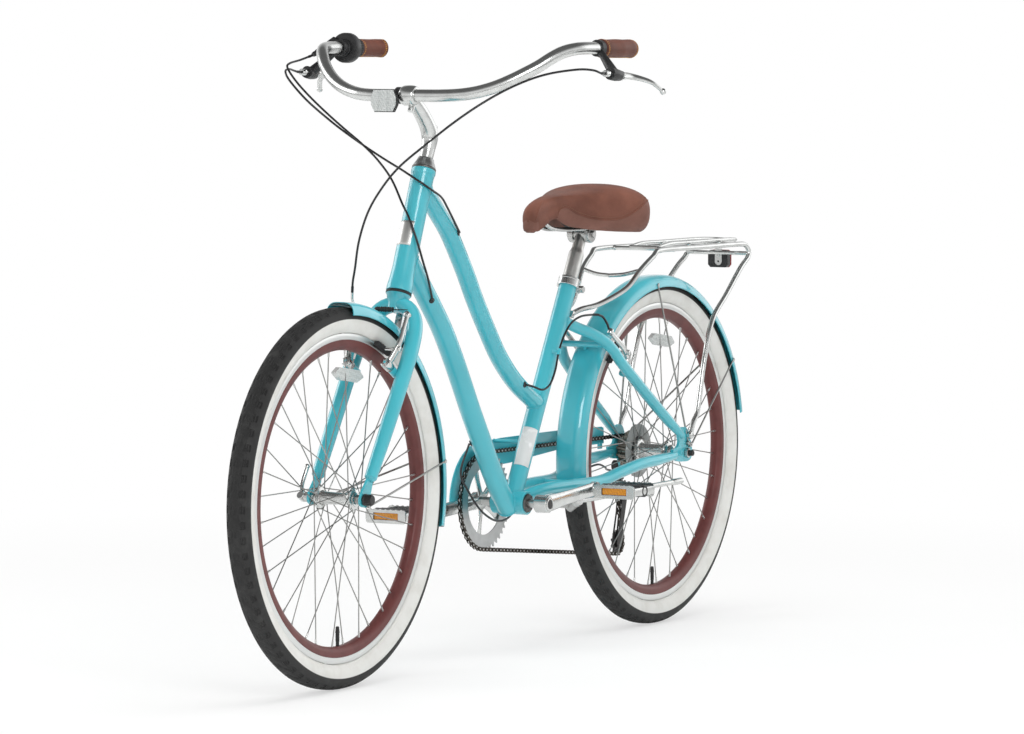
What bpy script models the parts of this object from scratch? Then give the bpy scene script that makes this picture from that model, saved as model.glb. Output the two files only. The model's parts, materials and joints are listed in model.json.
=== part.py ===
"""Step-through hybrid bicycle with rack, fenders, chain guard and kickstand.

Metres. X points forward, Y to the rider's left, Z up. The ground is at zero,
and the middle of the whole bicycle's box stands over the origin.
"""

import math

import bmesh
import bpy
from mathutils import Matrix, Vector

# Frame geometry
WHEELBASE = 1.151
HEAD_ANGLE = math.radians(68)
FORK_OFFSET = 0.0626
CHAINSTAY = 0.548
BOTTOM_BRACKET_DROP = 0.055
SEAT_ANGLE = math.radians(61.3)
SEAT_TUBE_LENGTH = 0.455
HEAD_TUBE_BASE = 0.400
HEAD_TUBE_LENGTH = 0.229
TOP_TUBE_BELOW_HEAD_TOP = 0.031
DOWN_TUBE_ABOVE_HEAD_BASE = 0.0615
TOP_TUBE_UP_SEAT_TUBE = 0.196
SEAT_STAY_UP_SEAT_TUBE = 0.370
REAR_HALF_WIDTH = 0.0675
FRONT_HALF_WIDTH = 0.050
DROPOUT_THICKNESS = 0.0055

# Tube radii
HEAD_TUBE_RADIUS = 0.0205
HEAD_BORE = 0.0165
TOP_TUBE_RADIUS = 0.0165
DOWN_TUBE_RADIUS = 0.0190
SEAT_TUBE_RADIUS = 0.0168
CHAIN_STAY_RADIUS = 0.0112
SEAT_STAY_RADIUS = 0.0105
SHELL_RADIUS = 0.0215
SHELL_HALF_WIDTH = 0.034
BRIDGE_RADIUS = 0.006

# Wheels
TYRE_RADIUS = 0.3316
TYRE_HALF_WIDTH = 0.0225
TREAD_HALF_WIDTH = 0.011
TYRE_WALL = 0.0035
RIM_OUTER = 0.2858
RIM_INNER = 0.2565
RIM_HALF_WIDTH = 0.0125
WHEEL_SIDES = 40
SPOKES = 36
SPOKE_RADIUS = 0.0013
AXLE_RADIUS = 0.005
HUB_BORE = 0.0055
LOCKNUT_RADIUS = 0.0085
VALVE_LENGTH = 0.038
REFLECTOR_DISTANCE = 0.216
REFLECTOR_TURN = math.radians(98)

# Fenders
FENDER_RADIUS = 0.3386
FENDER_LIP = 0.0216
FENDER_WALL = 0.0014
FRONT_FENDER_HALF_WIDTH = 0.0280
REAR_FENDER_HALF_WIDTH = 0.0300
FRONT_FENDER_ARC = (92, 193)
REAR_FENDER_ARC = (-7, 170)
STAY_RADIUS = 0.0018

# Steering group
STEERER_RADIUS = 0.0127
STEERER_BORE = 0.0115
QUILL_RADIUS = 0.0111
COVER_HEIGHT = 0.021
BLADE_SIDE = 0.0545
STEM_RISE = 0.1033
STEM_REACH = 0.097
BAR_RADIUS = 0.0111
STEM_HALF_WIDTH = 0.012
GRIP_RADIUS = 0.0168
LEFT_GRIP = 0.124
RIGHT_GRIP = 0.072
TWIST_LENGTH = 0.022
TWIST_GAP = 0.0012
SHIFTER_LENGTH = 0.028
SHIFTER_RADIUS = 0.0275
TWIST_RADIUS = 0.0188
BRACKET_LENGTH = 0.013

# Seat
POST_RADIUS = 0.0143
POST_REACH = 0.549
POST_INSERTION = 0.120
COLLAR_HEIGHT = 0.017
COLLAR_RADIUS = 0.0208
CAM_RADIUS = 0.0070
SADDLE_FRONT = 0.2139
SADDLE_REAR = -0.0841
SADDLE_PADDING = 0.030
SADDLE_RING = 14

# Drive
CRANK_LENGTH = 0.170
CRANK_RISE = math.radians(5.2)
CRANK_FACE = 0.080
BOSS_RADIUS = 0.0165
SPINDLE_RADIUS = 0.008
CHAIN_PITCH = 0.0127
CHAINRING_TEETH = 44
SPROCKETS = (14, 16, 18, 20, 22, 24, 28)
SPROCKET_STEP = 0.0047
CHAINRING_SIDE = -0.0565
CASSETTE_SIDE = -0.0615
PULLEY_TEETH = 11
PLATE_HALF_HEIGHT = 0.0042
PEDAL_INNER = 0.098
PEDAL_OUTER = 0.187
PEDAL_HALF_LENGTH = 0.040
PEDAL_AXLE = 0.0065
GUARD_RADIUS = 0.107
GUARD_SIDE = -0.0685

# Rack
RACK_TUBE = 0.005
RACK_SIDE = 0.068
RACK_HEIGHT = 0.7215
RACK_MOUNT_BELOW_SEAT = 0.062

# Brakes and cables
BRAKE_SIDE = 0.040
PIN_RADIUS = 0.004
PAD_RADIUS = 0.280
CABLE_RADIUS = 0.0025
CABLE_SPACING = 0.022

GAP = 0.0003
WELD = 2e-6

AXLE_HEIGHT = TYRE_RADIUS * math.cos(math.pi / WHEEL_SIDES)
FRONT_REACH = WHEELBASE / 2 + AXLE_HEIGHT
FENDER_END = math.radians(180 - REAR_FENDER_ARC[1])
REAR_REACH = WHEELBASE / 2 + (FENDER_RADIUS + FENDER_WALL / 2) * math.cos(FENDER_END)
ORIGIN_X = (REAR_REACH - FRONT_REACH) / 2

TURQUOISE = ("turquoise_paint", (0.055, 0.50, 0.56), 0.22, 0.0)
BROWN = ("brown_leather", (0.16, 0.06, 0.045), 0.6, 0.0)
SILVER = ("polished_aluminium", (0.78, 0.78, 0.77), 0.25, 1.0)
STEEL = ("steel", (0.55, 0.55, 0.54), 0.35, 1.0)
BLACK = ("black_plastic", (0.012, 0.012, 0.013), 0.45, 0.0)
TYRE_BLACK = ("tyre_rubber", (0.016, 0.016, 0.016), 0.8, 0.0)
RIM_BROWN = ("brown_rim", (0.13, 0.04, 0.035), 0.35, 0.3)
CLEAR = ("reflector_grey", (0.55, 0.58, 0.57), 0.2, 0.0)
RED = ("reflector_red", (0.5, 0.02, 0.02), 0.25, 0.0)
CHAIN_BROWN = ("oiled_chain", (0.07, 0.055, 0.045), 0.4, 0.9)


# Scene and materials
def clear_scene():
    for obj in list(bpy.data.objects):
        bpy.data.objects.remove(obj)


def collection(name):
    made = bpy.data.collections.new(name)
    bpy.context.scene.collection.children.link(made)
    return made


clear_scene()
BICYCLE = collection("step_through_bicycle")
HELPERS = collection("cutters")


def material(finish):
    name, colour, roughness, metallic = finish
    made = bpy.data.materials.new(name)
    made.use_nodes = True
    shader = made.node_tree.nodes["Principled BSDF"]
    shader.inputs["Base Color"].default_value = (*colour, 1)
    shader.inputs["Roughness"].default_value = roughness
    shader.inputs["Metallic"].default_value = metallic
    made.diffuse_color = (*colour, 1)
    return made


# Shapes. Each helper returns a mesh object in world coordinates.
def helper(mesh):
    obj = bpy.data.objects.new("piece", mesh)
    HELPERS.objects.link(obj)
    obj.hide_render = True
    obj.display_type = "WIRE"
    return obj


def baked(source):
    """The evaluated shape of an object as a clean mesh object; the source goes."""
    bpy.context.view_layer.update()
    graph = bpy.context.evaluated_depsgraph_get()
    mesh = bpy.data.meshes.new_from_object(source.evaluated_get(graph))
    mesh.transform(source.matrix_world)
    shape = bmesh.new()
    shape.from_mesh(mesh)
    bmesh.ops.remove_doubles(shape, verts=shape.verts, dist=WELD)
    bmesh.ops.recalc_face_normals(shape, faces=shape.faces)
    shape.to_mesh(mesh)
    shape.free()
    bpy.data.objects.remove(source)
    return helper(mesh)


def from_shape(shape, matrix):
    bmesh.ops.transform(shape, matrix=matrix, verts=shape.verts)
    bmesh.ops.recalc_face_normals(shape, faces=shape.faces)
    mesh = bpy.data.meshes.new("piece")
    shape.to_mesh(mesh)
    shape.free()
    return helper(mesh)


def axes(centre, z_axis, x_hint=(1, 0, 0)):
    """A matrix whose Z runs along z_axis and whose X leans towards x_hint."""
    z = Vector(z_axis).normalized()
    y = z.cross(Vector(x_hint)).normalized()
    x = y.cross(z)
    matrix = Matrix((x, y, z)).transposed().to_4x4()
    matrix.translation = Vector(centre)
    return matrix


def rod(start, end, radius, end_radius=None, sides=12):
    start, end = Vector(start), Vector(end)
    along = end - start
    hint = (1, 0, 0) if abs(along.normalized().x) < 0.9 else (0, 0, 1)
    shape = bmesh.new()
    bmesh.ops.create_cone(
        shape,
        cap_ends=True,
        segments=sides,
        radius1=radius,
        radius2=radius if end_radius is None else end_radius,
        depth=along.length,
    )
    return from_shape(shape, axes((start + end) / 2, along, hint))


def side_rod(x, z, y0, y1, radius, sides=12, end_radius=None):
    return rod((x, y0, z), (x, y1, z), radius, end_radius, sides)


def block(centre, size, matrix=None):
    shape = bmesh.new()
    bmesh.ops.create_cube(shape, size=1, matrix=Matrix.Diagonal((*size, 1)))
    place = matrix.copy() if matrix else Matrix.Identity(4)
    place.translation = Vector(centre)
    return from_shape(shape, place)


def ball(centre, radius):
    shape = bmesh.new()
    bmesh.ops.create_uvsphere(shape, u_segments=8, v_segments=5, radius=radius)
    return from_shape(shape, Matrix.Translation(centre))


def tube(points, radius, sides=12, radii=None):
    """A round tube along the points, from a poly curve with filled caps."""
    curve = bpy.data.curves.new("piece", "CURVE")
    curve.dimensions = "3D"
    curve.bevel_depth = radius
    curve.bevel_resolution = (sides - 4) // 2
    curve.use_fill_caps = True
    spline = curve.splines.new("POLY")
    spline.points.add(len(points) - 1)
    for i, point in enumerate(points):
        spline.points[i].co = (*point, 1)
        spline.points[i].radius = radii[i] / radius if radii else 1
    obj = bpy.data.objects.new("piece", curve)
    HELPERS.objects.link(obj)
    return baked(obj)


def plate(outlines, thickness, matrix):
    """A flat plate in the matrix's XY plane; outlines after the first are holes."""
    curve = bpy.data.curves.new("piece", "CURVE")
    curve.dimensions = "2D"
    curve.fill_mode = "BOTH"
    curve.extrude = thickness / 2
    for outline in outlines:
        spline = curve.splines.new("POLY")
        spline.points.add(len(outline) - 1)
        spline.use_cyclic_u = True
        for i, point in enumerate(outline):
            spline.points[i].co = (point[0], point[1], 0, 1)
    obj = bpy.data.objects.new("piece", curve)
    HELPERS.objects.link(obj)
    obj.matrix_world = matrix
    return baked(obj)


def side_plate(outlines, y, thickness):
    """A plate standing in the XZ plane, from (x, z) outlines in world places."""
    matrix = Matrix(((1, 0, 0, 0), (0, 0, -1, y), (0, 1, 0, 0), (0, 0, 0, 1)))
    return plate(outlines, thickness, matrix)


def turned(profile, matrix, sides=16, half_step=False):
    """A solid of revolution about the matrix's Z, from (radius, height) points.

    Points on the axis close the ends; a profile clear of the axis is a closed ring.
    """
    mesh = bpy.data.meshes.new("piece")
    ring = all(radius > 0 for radius, _ in profile)
    edges = [(i, i + 1) for i in range(len(profile) - 1)]
    if ring:
        edges.append((len(profile) - 1, 0))
    mesh.from_pydata([(radius, 0, height) for radius, height in profile], edges, [])
    obj = bpy.data.objects.new("piece", mesh)
    HELPERS.objects.link(obj)
    screw = obj.modifiers.new("turn", "SCREW")
    screw.axis = "Z"
    screw.angle = math.tau
    screw.steps = screw.render_steps = sides
    screw.use_merge_vertices = True
    screw.merge_threshold = 1e-5
    turn = Matrix.Rotation(math.pi / sides, 4, "Z") if half_step else Matrix.Identity(4)
    obj.matrix_world = matrix @ turn
    return baked(obj)


def spun_shell(profile, matrix, start, sweep, steps, wall):
    """A sheet of revolution over part of a turn, thickened inwards."""
    mesh = bpy.data.meshes.new("piece")
    edges = [(i, i + 1) for i in range(len(profile) - 1)]
    mesh.from_pydata([(radius, 0, height) for radius, height in profile], edges, [])
    obj = bpy.data.objects.new("piece", mesh)
    HELPERS.objects.link(obj)
    screw = obj.modifiers.new("turn", "SCREW")
    screw.axis = "Z"
    screw.angle = sweep
    screw.steps = screw.render_steps = steps
    screw.use_merge_vertices = False
    shell = obj.modifiers.new("wall", "SOLIDIFY")
    shell.thickness = wall
    shell.offset = 0
    shell.use_even_offset = True
    obj.matrix_world = matrix @ Matrix.Rotation(start, 4, "Z")
    return baked(obj)


def circle(x, z, radius, sides=12, start=0.0):
    turns = [start + math.tau * i / sides for i in range(sides)]
    return [(x + radius * math.cos(a), z + radius * math.sin(a)) for a in turns]


def gear(x, z, teeth, root, tip):
    """A toothed outline, one flank in and one flank out for each tooth."""
    points = []
    for tooth in range(teeth):
        for share, radius in ((0.0, tip), (0.5, root)):
            turn = math.tau * (tooth + share) / teeth
            points.append((x + radius * math.cos(turn), z + radius * math.sin(turn)))
    return points


def pitch_radius(teeth):
    return CHAIN_PITCH / (2 * math.sin(math.pi / teeth))


def smooth_route(points, spacing):
    """Evenly spaced points on a Catmull-Rom curve through the given points."""
    points = [Vector(p) for p in points]
    ends = [2 * points[0] - points[1], *points, 2 * points[-1] - points[-2]]
    fine = []
    for i in range(1, len(ends) - 2):
        a, b, c, d = ends[i - 1 : i + 3]
        for step in range(16):
            t = step / 16
            fine.append(
                (2 * b + (c - a) * t + (2 * a - 5 * b + 4 * c - d) * t * t
                 + (3 * b - a - 3 * c + d) * t ** 3) / 2
            )
    fine.append(points[-1])
    lengths = [0.0]
    for a, b in zip(fine, fine[1:]):
        lengths.append(lengths[-1] + (b - a).length)
    count = max(2, round(lengths[-1] / spacing))
    route = []
    reach = 0
    for i in range(count + 1):
        want = lengths[-1] * i / count
        while reach < len(fine) - 2 and lengths[reach + 1] < want:
            reach += 1
        share = (want - lengths[reach]) / max(lengths[reach + 1] - lengths[reach], 1e-9)
        route.append(fine[reach].lerp(fine[reach + 1], min(1.0, share)))
    return route


def combine(base, others, operation):
    group = bpy.data.collections.new("operands")
    for other in others:
        group.objects.link(other)
    modifier = base.modifiers.new(operation.lower(), "BOOLEAN")
    modifier.operation = operation
    modifier.operand_type = "COLLECTION"
    modifier.collection = group
    modifier.solver = "EXACT"
    return group


def node(name, finish, pieces, cuts=(), pivot=(0, 0, 0), parent=None):
    """Joins the pieces, takes the cuts away and names the result."""
    groups = []
    base = pieces[0]
    if len(pieces) > 1:
        groups.append(combine(base, pieces[1:], "UNION"))
    if cuts:
        groups.append(combine(base, cuts, "DIFFERENCE"))
    obj = baked(base)
    for used in (*pieces[1:], *cuts):
        bpy.data.objects.remove(used)
    for group in groups:
        bpy.data.collections.remove(group)
    HELPERS.objects.unlink(obj)
    BICYCLE.objects.link(obj)
    obj.name = name
    obj.data.name = name
    obj.hide_render = False
    obj.display_type = "TEXTURED"
    obj.data.transform(Matrix.Translation(-Vector(pivot)))
    obj.location = Vector(pivot)
    obj.data.materials.clear()
    obj.data.materials.append(material(finish))
    obj.data.shade_smooth()
    obj.data.set_sharp_from_angle(angle=math.radians(35))
    if parent:
        obj.parent = parent
        obj.matrix_parent_inverse = parent.matrix_world.inverted()
    return obj


def joint_empty(name, place, parent=None):
    empty = bpy.data.objects.new(name, None)
    empty.empty_display_size = 0.05
    empty.location = Vector(place)
    BICYCLE.objects.link(empty)
    bpy.context.view_layer.update()
    if parent:
        empty.parent = parent
        empty.matrix_parent_inverse = parent.matrix_world.inverted()
        bpy.context.view_layer.update()
    return empty


# Places that the pieces share
def at(x, y, z):
    """A point given from the middle of the wheelbase, on the ground."""
    return Vector((x + ORIGIN_X, y, z))


FRONT_AXLE = at(WHEELBASE / 2, 0, AXLE_HEIGHT)
REAR_AXLE = at(-WHEELBASE / 2, 0, AXLE_HEIGHT)
BRACKET_AHEAD = math.sqrt(CHAINSTAY ** 2 - BOTTOM_BRACKET_DROP ** 2)
BOTTOM_BRACKET = REAR_AXLE + Vector((BRACKET_AHEAD, 0, -BOTTOM_BRACKET_DROP))
HEAD_UP = Vector((-math.cos(HEAD_ANGLE), 0, math.sin(HEAD_ANGLE)))
HEAD_FORWARD = Vector((math.sin(HEAD_ANGLE), 0, math.cos(HEAD_ANGLE)))
STEER_FOOT = FRONT_AXLE - FORK_OFFSET * HEAD_FORWARD
SEAT_UP = Vector((-math.cos(SEAT_ANGLE), 0, math.sin(SEAT_ANGLE)))
SEAT_BACK = Vector((-math.sin(SEAT_ANGLE), 0, -math.cos(SEAT_ANGLE)))
SIDEWAYS = Vector((0, 1, 0))
HEAD_TOP = HEAD_TUBE_BASE + HEAD_TUBE_LENGTH
COVER_TOP = HEAD_TOP + GAP + COVER_HEIGHT
BAR_HEIGHT = HEAD_TOP + STEM_RISE
PEDAL_EYE = (
    BOTTOM_BRACKET.x - CRANK_LENGTH * math.cos(CRANK_RISE),
    BOTTOM_BRACKET.z + CRANK_LENGTH * math.sin(CRANK_RISE),
)
WHEEL_TURN = Matrix.Rotation(-math.pi / 2, 4, "X")


def steer(along, forward=0.0, side=0.0):
    """A point in the fork's frame: up the steering axis, ahead of it, to the left."""
    return STEER_FOOT + HEAD_UP * along + HEAD_FORWARD * forward + SIDEWAYS * side


def seat(along, back=0.0, side=0.0):
    """A point in the seat tube's frame, measured from the bottom bracket."""
    return BOTTOM_BRACKET + SEAT_UP * along + SEAT_BACK * back + SIDEWAYS * side


def bowed(start, end, course):
    """Points from start to end, each (share of the way, bow upwards, side)."""
    start, end = Vector(start), Vector(end)
    along = end - start
    upward = Vector((along.z, 0, -along.x)).normalized()
    return [start + along * s + upward * b + SIDEWAYS * y for s, b, y in course]


def from_axle(axle, radius, degrees, side=0.0):
    turn = math.radians(degrees)
    return axle + Vector((radius * math.cos(turn), side, radius * math.sin(turn)))


def wheel_frame(axle):
    """Z along the axle, X forward, so that turned shapes spin about the axle."""
    return Matrix.Translation(axle) @ WHEEL_TURN


def mirrored(point):
    return Vector((point[0], -point[1], point[2]))


SIDES = (("left", 1), ("right", -1))


def sided(point, side):
    return Vector((point[0], side * point[1], point[2]))


# Joint empties, one for each body that holds several nodes
STEERING = joint_empty("steering_axis", steer(HEAD_TUBE_BASE))
SEAT = joint_empty("seat_post_slide", seat(SEAT_TUBE_LENGTH))
SADDLE = joint_empty("saddle_tilt", seat(POST_REACH), SEAT)
FRONT_WHEEL = joint_empty("front_axle", FRONT_AXLE, STEERING)
REAR_WHEEL = joint_empty("rear_axle_centre", REAR_AXLE)
CRANKS = joint_empty("crank_axis", BOTTOM_BRACKET)

# Frame
TOP_TUBE_COURSE = (
    (0.0, 0.000, 0), (0.073, 0.0057, 0), (0.128, 0.0072, 0), (0.190, 0.0090, 0),
    (0.250, 0.0075, 0), (0.371, -0.0019, 0), (0.483, -0.0145, 0), (0.604, -0.0240, 0),
    (0.700, -0.0295, 0), (0.790, -0.0275, 0), (0.870, -0.0200, 0), (0.940, -0.0080, 0),
    (1.0, 0.003, 0),
)
DOWN_TUBE_COURSE = (
    (0.0, 0.004, 0), (0.100, 0.0085, 0), (0.200, 0.0130, 0), (0.300, 0.0155, 0),
    (0.400, 0.0120, 0), (0.500, 0.0055, 0), (0.608, -0.0025, 0), (0.720, -0.0090, 0),
    (0.820, -0.0150, 0), (0.900, -0.0180, 0), (0.965, -0.0160, 0),
)
SEAT_STAY_COURSE = (
    (0.0, 0.0, 0.004), (0.045, 0.004, 0.012), (0.092, 0.0076, 0.021), (0.150, 0.0125, 0.035),
    (0.215, 0.0140, 0.048), (0.282, 0.0110, 0.0555), (0.350, 0.0040, 0.060),
    (0.500, 0.0014, 0.063), (0.655, 0.0, 0.066), (0.823, 0.0, 0.0685), (0.890, 0.0, 0.0710),
    (0.960, 0.0, 0.0725),
)
SEAT_STAY_TAPER = (1, 1, 1, 1, 1, 1, 1, 1, 1, 0.98, 0.84, 0.66)
CHAIN_STAY_COURSE = (
    (0.015, 0.004, 0.014), (0.070, 0.0120, 0.024), (0.150, 0.0135, 0.034),
    (0.300, 0.0060, 0.043), (0.480, -0.0030, 0.050), (0.605, 0.0025, 0.058),
    (0.738, 0.0060, 0.064), (0.860, 0.0030, 0.067), (0.985, 0.0, 0.0695),
)
HEAD_JOINT = steer(HEAD_TOP - TOP_TUBE_BELOW_HEAD_TOP)
DOWN_JOINT = steer(HEAD_TUBE_BASE + DOWN_TUBE_ABOVE_HEAD_BASE)
SEAT_JOINT = seat(TOP_TUBE_UP_SEAT_TUBE)
STAY_END = REAR_AXLE + Vector((0.002, 0, 0.024))
CHAIN_STAY_END = REAR_AXLE + Vector((0.0325, 0, -0.002))
REAR_PIVOT = Vector((-0.4064, BRAKE_SIDE, 0.5272))
REAR_BRAKE_OUT = Vector((-0.557, 0, 0.8305)).normalized()
REAR_POST_FOOT = at(*REAR_PIVOT) - REAR_BRAKE_OUT * 0.045
EYELET_UPPER = REAR_AXLE + Vector((-0.006, 0, 0.033))
EYELET_LOWER = REAR_AXLE + Vector((-0.0125, 0, 0.0145))


def dropout_outline():
    """Rear dropout seen from the side, with its curved throat towards the tyre."""
    offsets = (
        (0.026, 0.043), (0.010, 0.050), (-0.004, 0.046), (-0.014, 0.031), (-0.0245, 0.010),
        (-0.0235, -0.008), (-0.012, -0.0155), (0.010, -0.0160), (0.040, -0.0120),
        (0.052, 0.0075), (0.042, 0.0105), (0.031, 0.0150), (0.0265, 0.0240), (0.0300, 0.034),
    )
    return [(REAR_AXLE.x + x, REAR_AXLE.z + z) for x, z in offsets]


def main_frame():
    head_bottom, head_top = steer(HEAD_TUBE_BASE), steer(HEAD_TOP)
    head_profile = [
        (0, 0), (0.0235, 0), (0.0235, 0.010), (HEAD_TUBE_RADIUS, 0.017),
        (HEAD_TUBE_RADIUS, HEAD_TUBE_LENGTH - 0.013), (0.0220, HEAD_TUBE_LENGTH - 0.007),
        (0.0220, HEAD_TUBE_LENGTH), (0, HEAD_TUBE_LENGTH),
    ]
    pieces = [turned(head_profile, axes(head_bottom, HEAD_UP), sides=16)]
    top = bowed(HEAD_JOINT, SEAT_JOINT, TOP_TUBE_COURSE)
    pieces.append(tube(top, TOP_TUBE_RADIUS, sides=10))
    down = bowed(DOWN_JOINT, BOTTOM_BRACKET, DOWN_TUBE_COURSE)
    pieces.append(tube(down, DOWN_TUBE_RADIUS, sides=10))
    pieces.append(rod(seat(0), seat(SEAT_TUBE_LENGTH), SEAT_TUBE_RADIUS, sides=14))
    shell = (BOTTOM_BRACKET.x, BOTTOM_BRACKET.z, -SHELL_HALF_WIDTH, SHELL_HALF_WIDTH)
    pieces.append(side_rod(*shell, SHELL_RADIUS, sides=16))
    for _, side in SIDES:
        stay = bowed(seat(SEAT_STAY_UP_SEAT_TUBE), STAY_END, SEAT_STAY_COURSE)
        radii = [SEAT_STAY_RADIUS * share for share in SEAT_STAY_TAPER]
        pieces.append(tube([sided(p, side) for p in stay], SEAT_STAY_RADIUS, sides=8, radii=radii))
        stay = bowed(BOTTOM_BRACKET, CHAIN_STAY_END, CHAIN_STAY_COURSE)
        pieces.append(tube([sided(p, side) for p in stay], CHAIN_STAY_RADIUS, sides=8))
        middle = side * (REAR_HALF_WIDTH + DROPOUT_THICKNESS / 2)
        pieces.append(side_plate([dropout_outline()], middle, DROPOUT_THICKNESS))
        foot = sided(REAR_POST_FOOT, side)
        pieces.append(rod(foot, foot + REAR_BRAKE_OUT * 0.0245, 0.0075, sides=8))
        pieces.append(rod(foot, foot + REAR_BRAKE_OUT * 0.0465, PIN_RADIUS, sides=8))
        cap = foot + REAR_BRAKE_OUT * 0.0455
        pieces.append(rod(cap, cap + REAR_BRAKE_OUT * 0.004, 0.0062, sides=8))
        link = foot + REAR_BRAKE_OUT * 0.006
        pieces.append(rod(link, link + Vector((0, side * 0.018, 0.002)), 0.007, sides=8))
    pieces += frame_bridges()
    pieces += hanger()
    cuts = [
        rod(head_bottom - HEAD_UP * 0.01, head_top + HEAD_UP * 0.01, HEAD_BORE, sides=16),
        rod(seat(POST_REACH - 0.36), seat(SEAT_TUBE_LENGTH + 0.01), POST_RADIUS + 0.0005, sides=14),
        side_rod(BOTTOM_BRACKET.x, BOTTOM_BRACKET.z, -0.05, 0.05, 0.0172, sides=16),
        side_rod(REAR_AXLE.x, REAR_AXLE.z, -0.1, 0.1, AXLE_RADIUS + GAP, sides=12),
    ]
    node("main_frame", TURQUOISE, pieces, cuts)


def frame_bridges():
    """Bridges of the seat stays and chain stays, each with its boss to the fender."""
    pieces = []
    for degrees, lean in ((38.5, 0.051), (-5.5, 0.044)):
        bar = from_axle(REAR_AXLE, FENDER_RADIUS + 0.0165, degrees)
        pieces.append(side_rod(bar.x, bar.z, -lean, lean, BRIDGE_RADIUS, sides=8))
        seat_on = from_axle(REAR_AXLE, FENDER_RADIUS + FENDER_WALL / 2 + GAP + 0.0005, degrees)
        pieces.append(rod(bar, seat_on, 0.0045, sides=8))
    return pieces


def hanger():
    """The derailleur hanger: a tab below the right dropout with its bolt."""
    low = REAR_AXLE + Vector((-0.008, 0, -0.032))
    middle = -(REAR_HALF_WIDTH + DROPOUT_THICKNESS / 2)
    outline = [
        (REAR_AXLE.x - 0.018, REAR_AXLE.z), (low.x - 0.009, low.z), (low.x, low.z - 0.009),
        (low.x + 0.009, low.z), (REAR_AXLE.x + 0.010, REAR_AXLE.z - 0.006),
    ]
    return [side_plate([outline], middle, DROPOUT_THICKNESS)]


def head_badge():
    matrix = axes(steer(HEAD_TUBE_BASE + 0.082), HEAD_UP, HEAD_FORWARD)
    radius = HEAD_TUBE_RADIUS + 0.0009
    shell = spun_shell(
        [(radius, 0), (radius, 0.045)], matrix, -math.radians(75), math.radians(150), 10, 0.0009
    )
    node("head_badge", SILVER, [shell])


def bottom_bracket():
    """Cups in the shell, with a lock ring on the left."""
    matrix = Matrix.Translation(BOTTOM_BRACKET) @ WHEEL_TURN
    face = SHELL_HALF_WIDTH + GAP
    profile = [
        (0.0086, -face - 0.003), (0.0165, -face - 0.003), (0.0165, face + 0.0035),
        (0.0120, face + 0.0035), (0.0120, face), (0.0086, face),
    ]
    node("bottom_bracket", BLACK, [turned(profile, matrix, sides=16)])


def seat_clamp():
    """Split collar with ears, bolt and nut, and its quick-release lever."""
    low = SEAT_TUBE_LENGTH - COLLAR_HEIGHT
    matrix = axes(seat(low), SEAT_UP)
    inner = SEAT_TUBE_RADIUS + 0.0007
    ring = turned(
        [(inner, 0), (COLLAR_RADIUS, 0), (COLLAR_RADIUS, COLLAR_HEIGHT), (inner, COLLAR_HEIGHT)],
        matrix, sides=16,
    )
    turn = axes(seat(0), SEAT_UP, SEAT_BACK)
    middle = seat(low + COLLAR_HEIGHT / 2, 0.0250)
    ears = block(middle, (0.014, 0.020, 0.012), turn)
    split = block(seat(low + COLLAR_HEIGHT / 2, 0.0290), (0.020, 0.003, 0.013), turn)
    bolt = rod(middle + SIDEWAYS * 0.017, middle - SIDEWAYS * 0.0105, 0.0030, sides=8)
    nut = rod(middle + SIDEWAYS * 0.0095, middle + SIDEWAYS * 0.020, 0.0065, sides=10)
    cut = combine(ears, [split], "DIFFERENCE")
    ears = baked(ears)
    bpy.data.objects.remove(split)
    bpy.data.collections.remove(cut)
    node("seat_clamp", SILVER, [ring, ears, bolt, nut])
    cam = middle - SIDEWAYS * (0.0105 + CAM_RADIUS + GAP)
    reach = (SEAT_BACK * 0.18 - SEAT_UP * 0.98).normalized()
    tip = cam + reach * 0.046 - SIDEWAYS * 0.0170
    hinge = reach.cross(SIDEWAYS)
    pieces = [
        rod(cam - hinge * 0.0070, cam + hinge * 0.0070, CAM_RADIUS, sides=12),
        tube([cam, cam + reach * 0.020 - SIDEWAYS * 0.0120, tip], 0.0042, sides=8),
        ball(tip, 0.0052),
    ]
    node("seat_clamp_lever", SILVER, pieces, pivot=cam)


# Wheels
def tyre(name, axle, parent):
    bead_y, bead_r = 0.0150, RIM_OUTER + GAP
    wall = TYRE_WALL
    outer = [
        (bead_r, bead_y), (0.3085, TYRE_HALF_WIDTH), (TYRE_RADIUS, TREAD_HALF_WIDTH),
    ]
    inner = [(TYRE_RADIUS - 0.0070, TREAD_HALF_WIDTH - 0.001), (bead_r, bead_y - wall)]
    profile = outer + [(r, -y) for r, y in reversed(outer)]
    profile += [(r, -y) for r, y in reversed(inner)] + inner
    ring = turned(profile, wheel_frame(axle), sides=WHEEL_SIDES, half_step=True)
    node(name, TYRE_BLACK, [ring], pivot=axle, parent=parent)


def rim(name, axle, parent):
    side = [(RIM_OUTER, RIM_HALF_WIDTH), (0.2620, RIM_HALF_WIDTH - 0.0005), (RIM_INNER, 0.0055)]
    profile = side + [(r, -y) for r, y in reversed(side)]
    ring = turned(profile, wheel_frame(axle), sides=WHEEL_SIDES, half_step=True)
    top = axle - Vector((0, 0, RIM_INNER + 0.003))
    bottom = axle - Vector((0, 0, RIM_INNER - VALVE_LENGTH))
    valve = rod(top, bottom, 0.0036, sides=8)
    node(name, RIM_BROWN, [ring, valve], pivot=axle, parent=parent)


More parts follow.
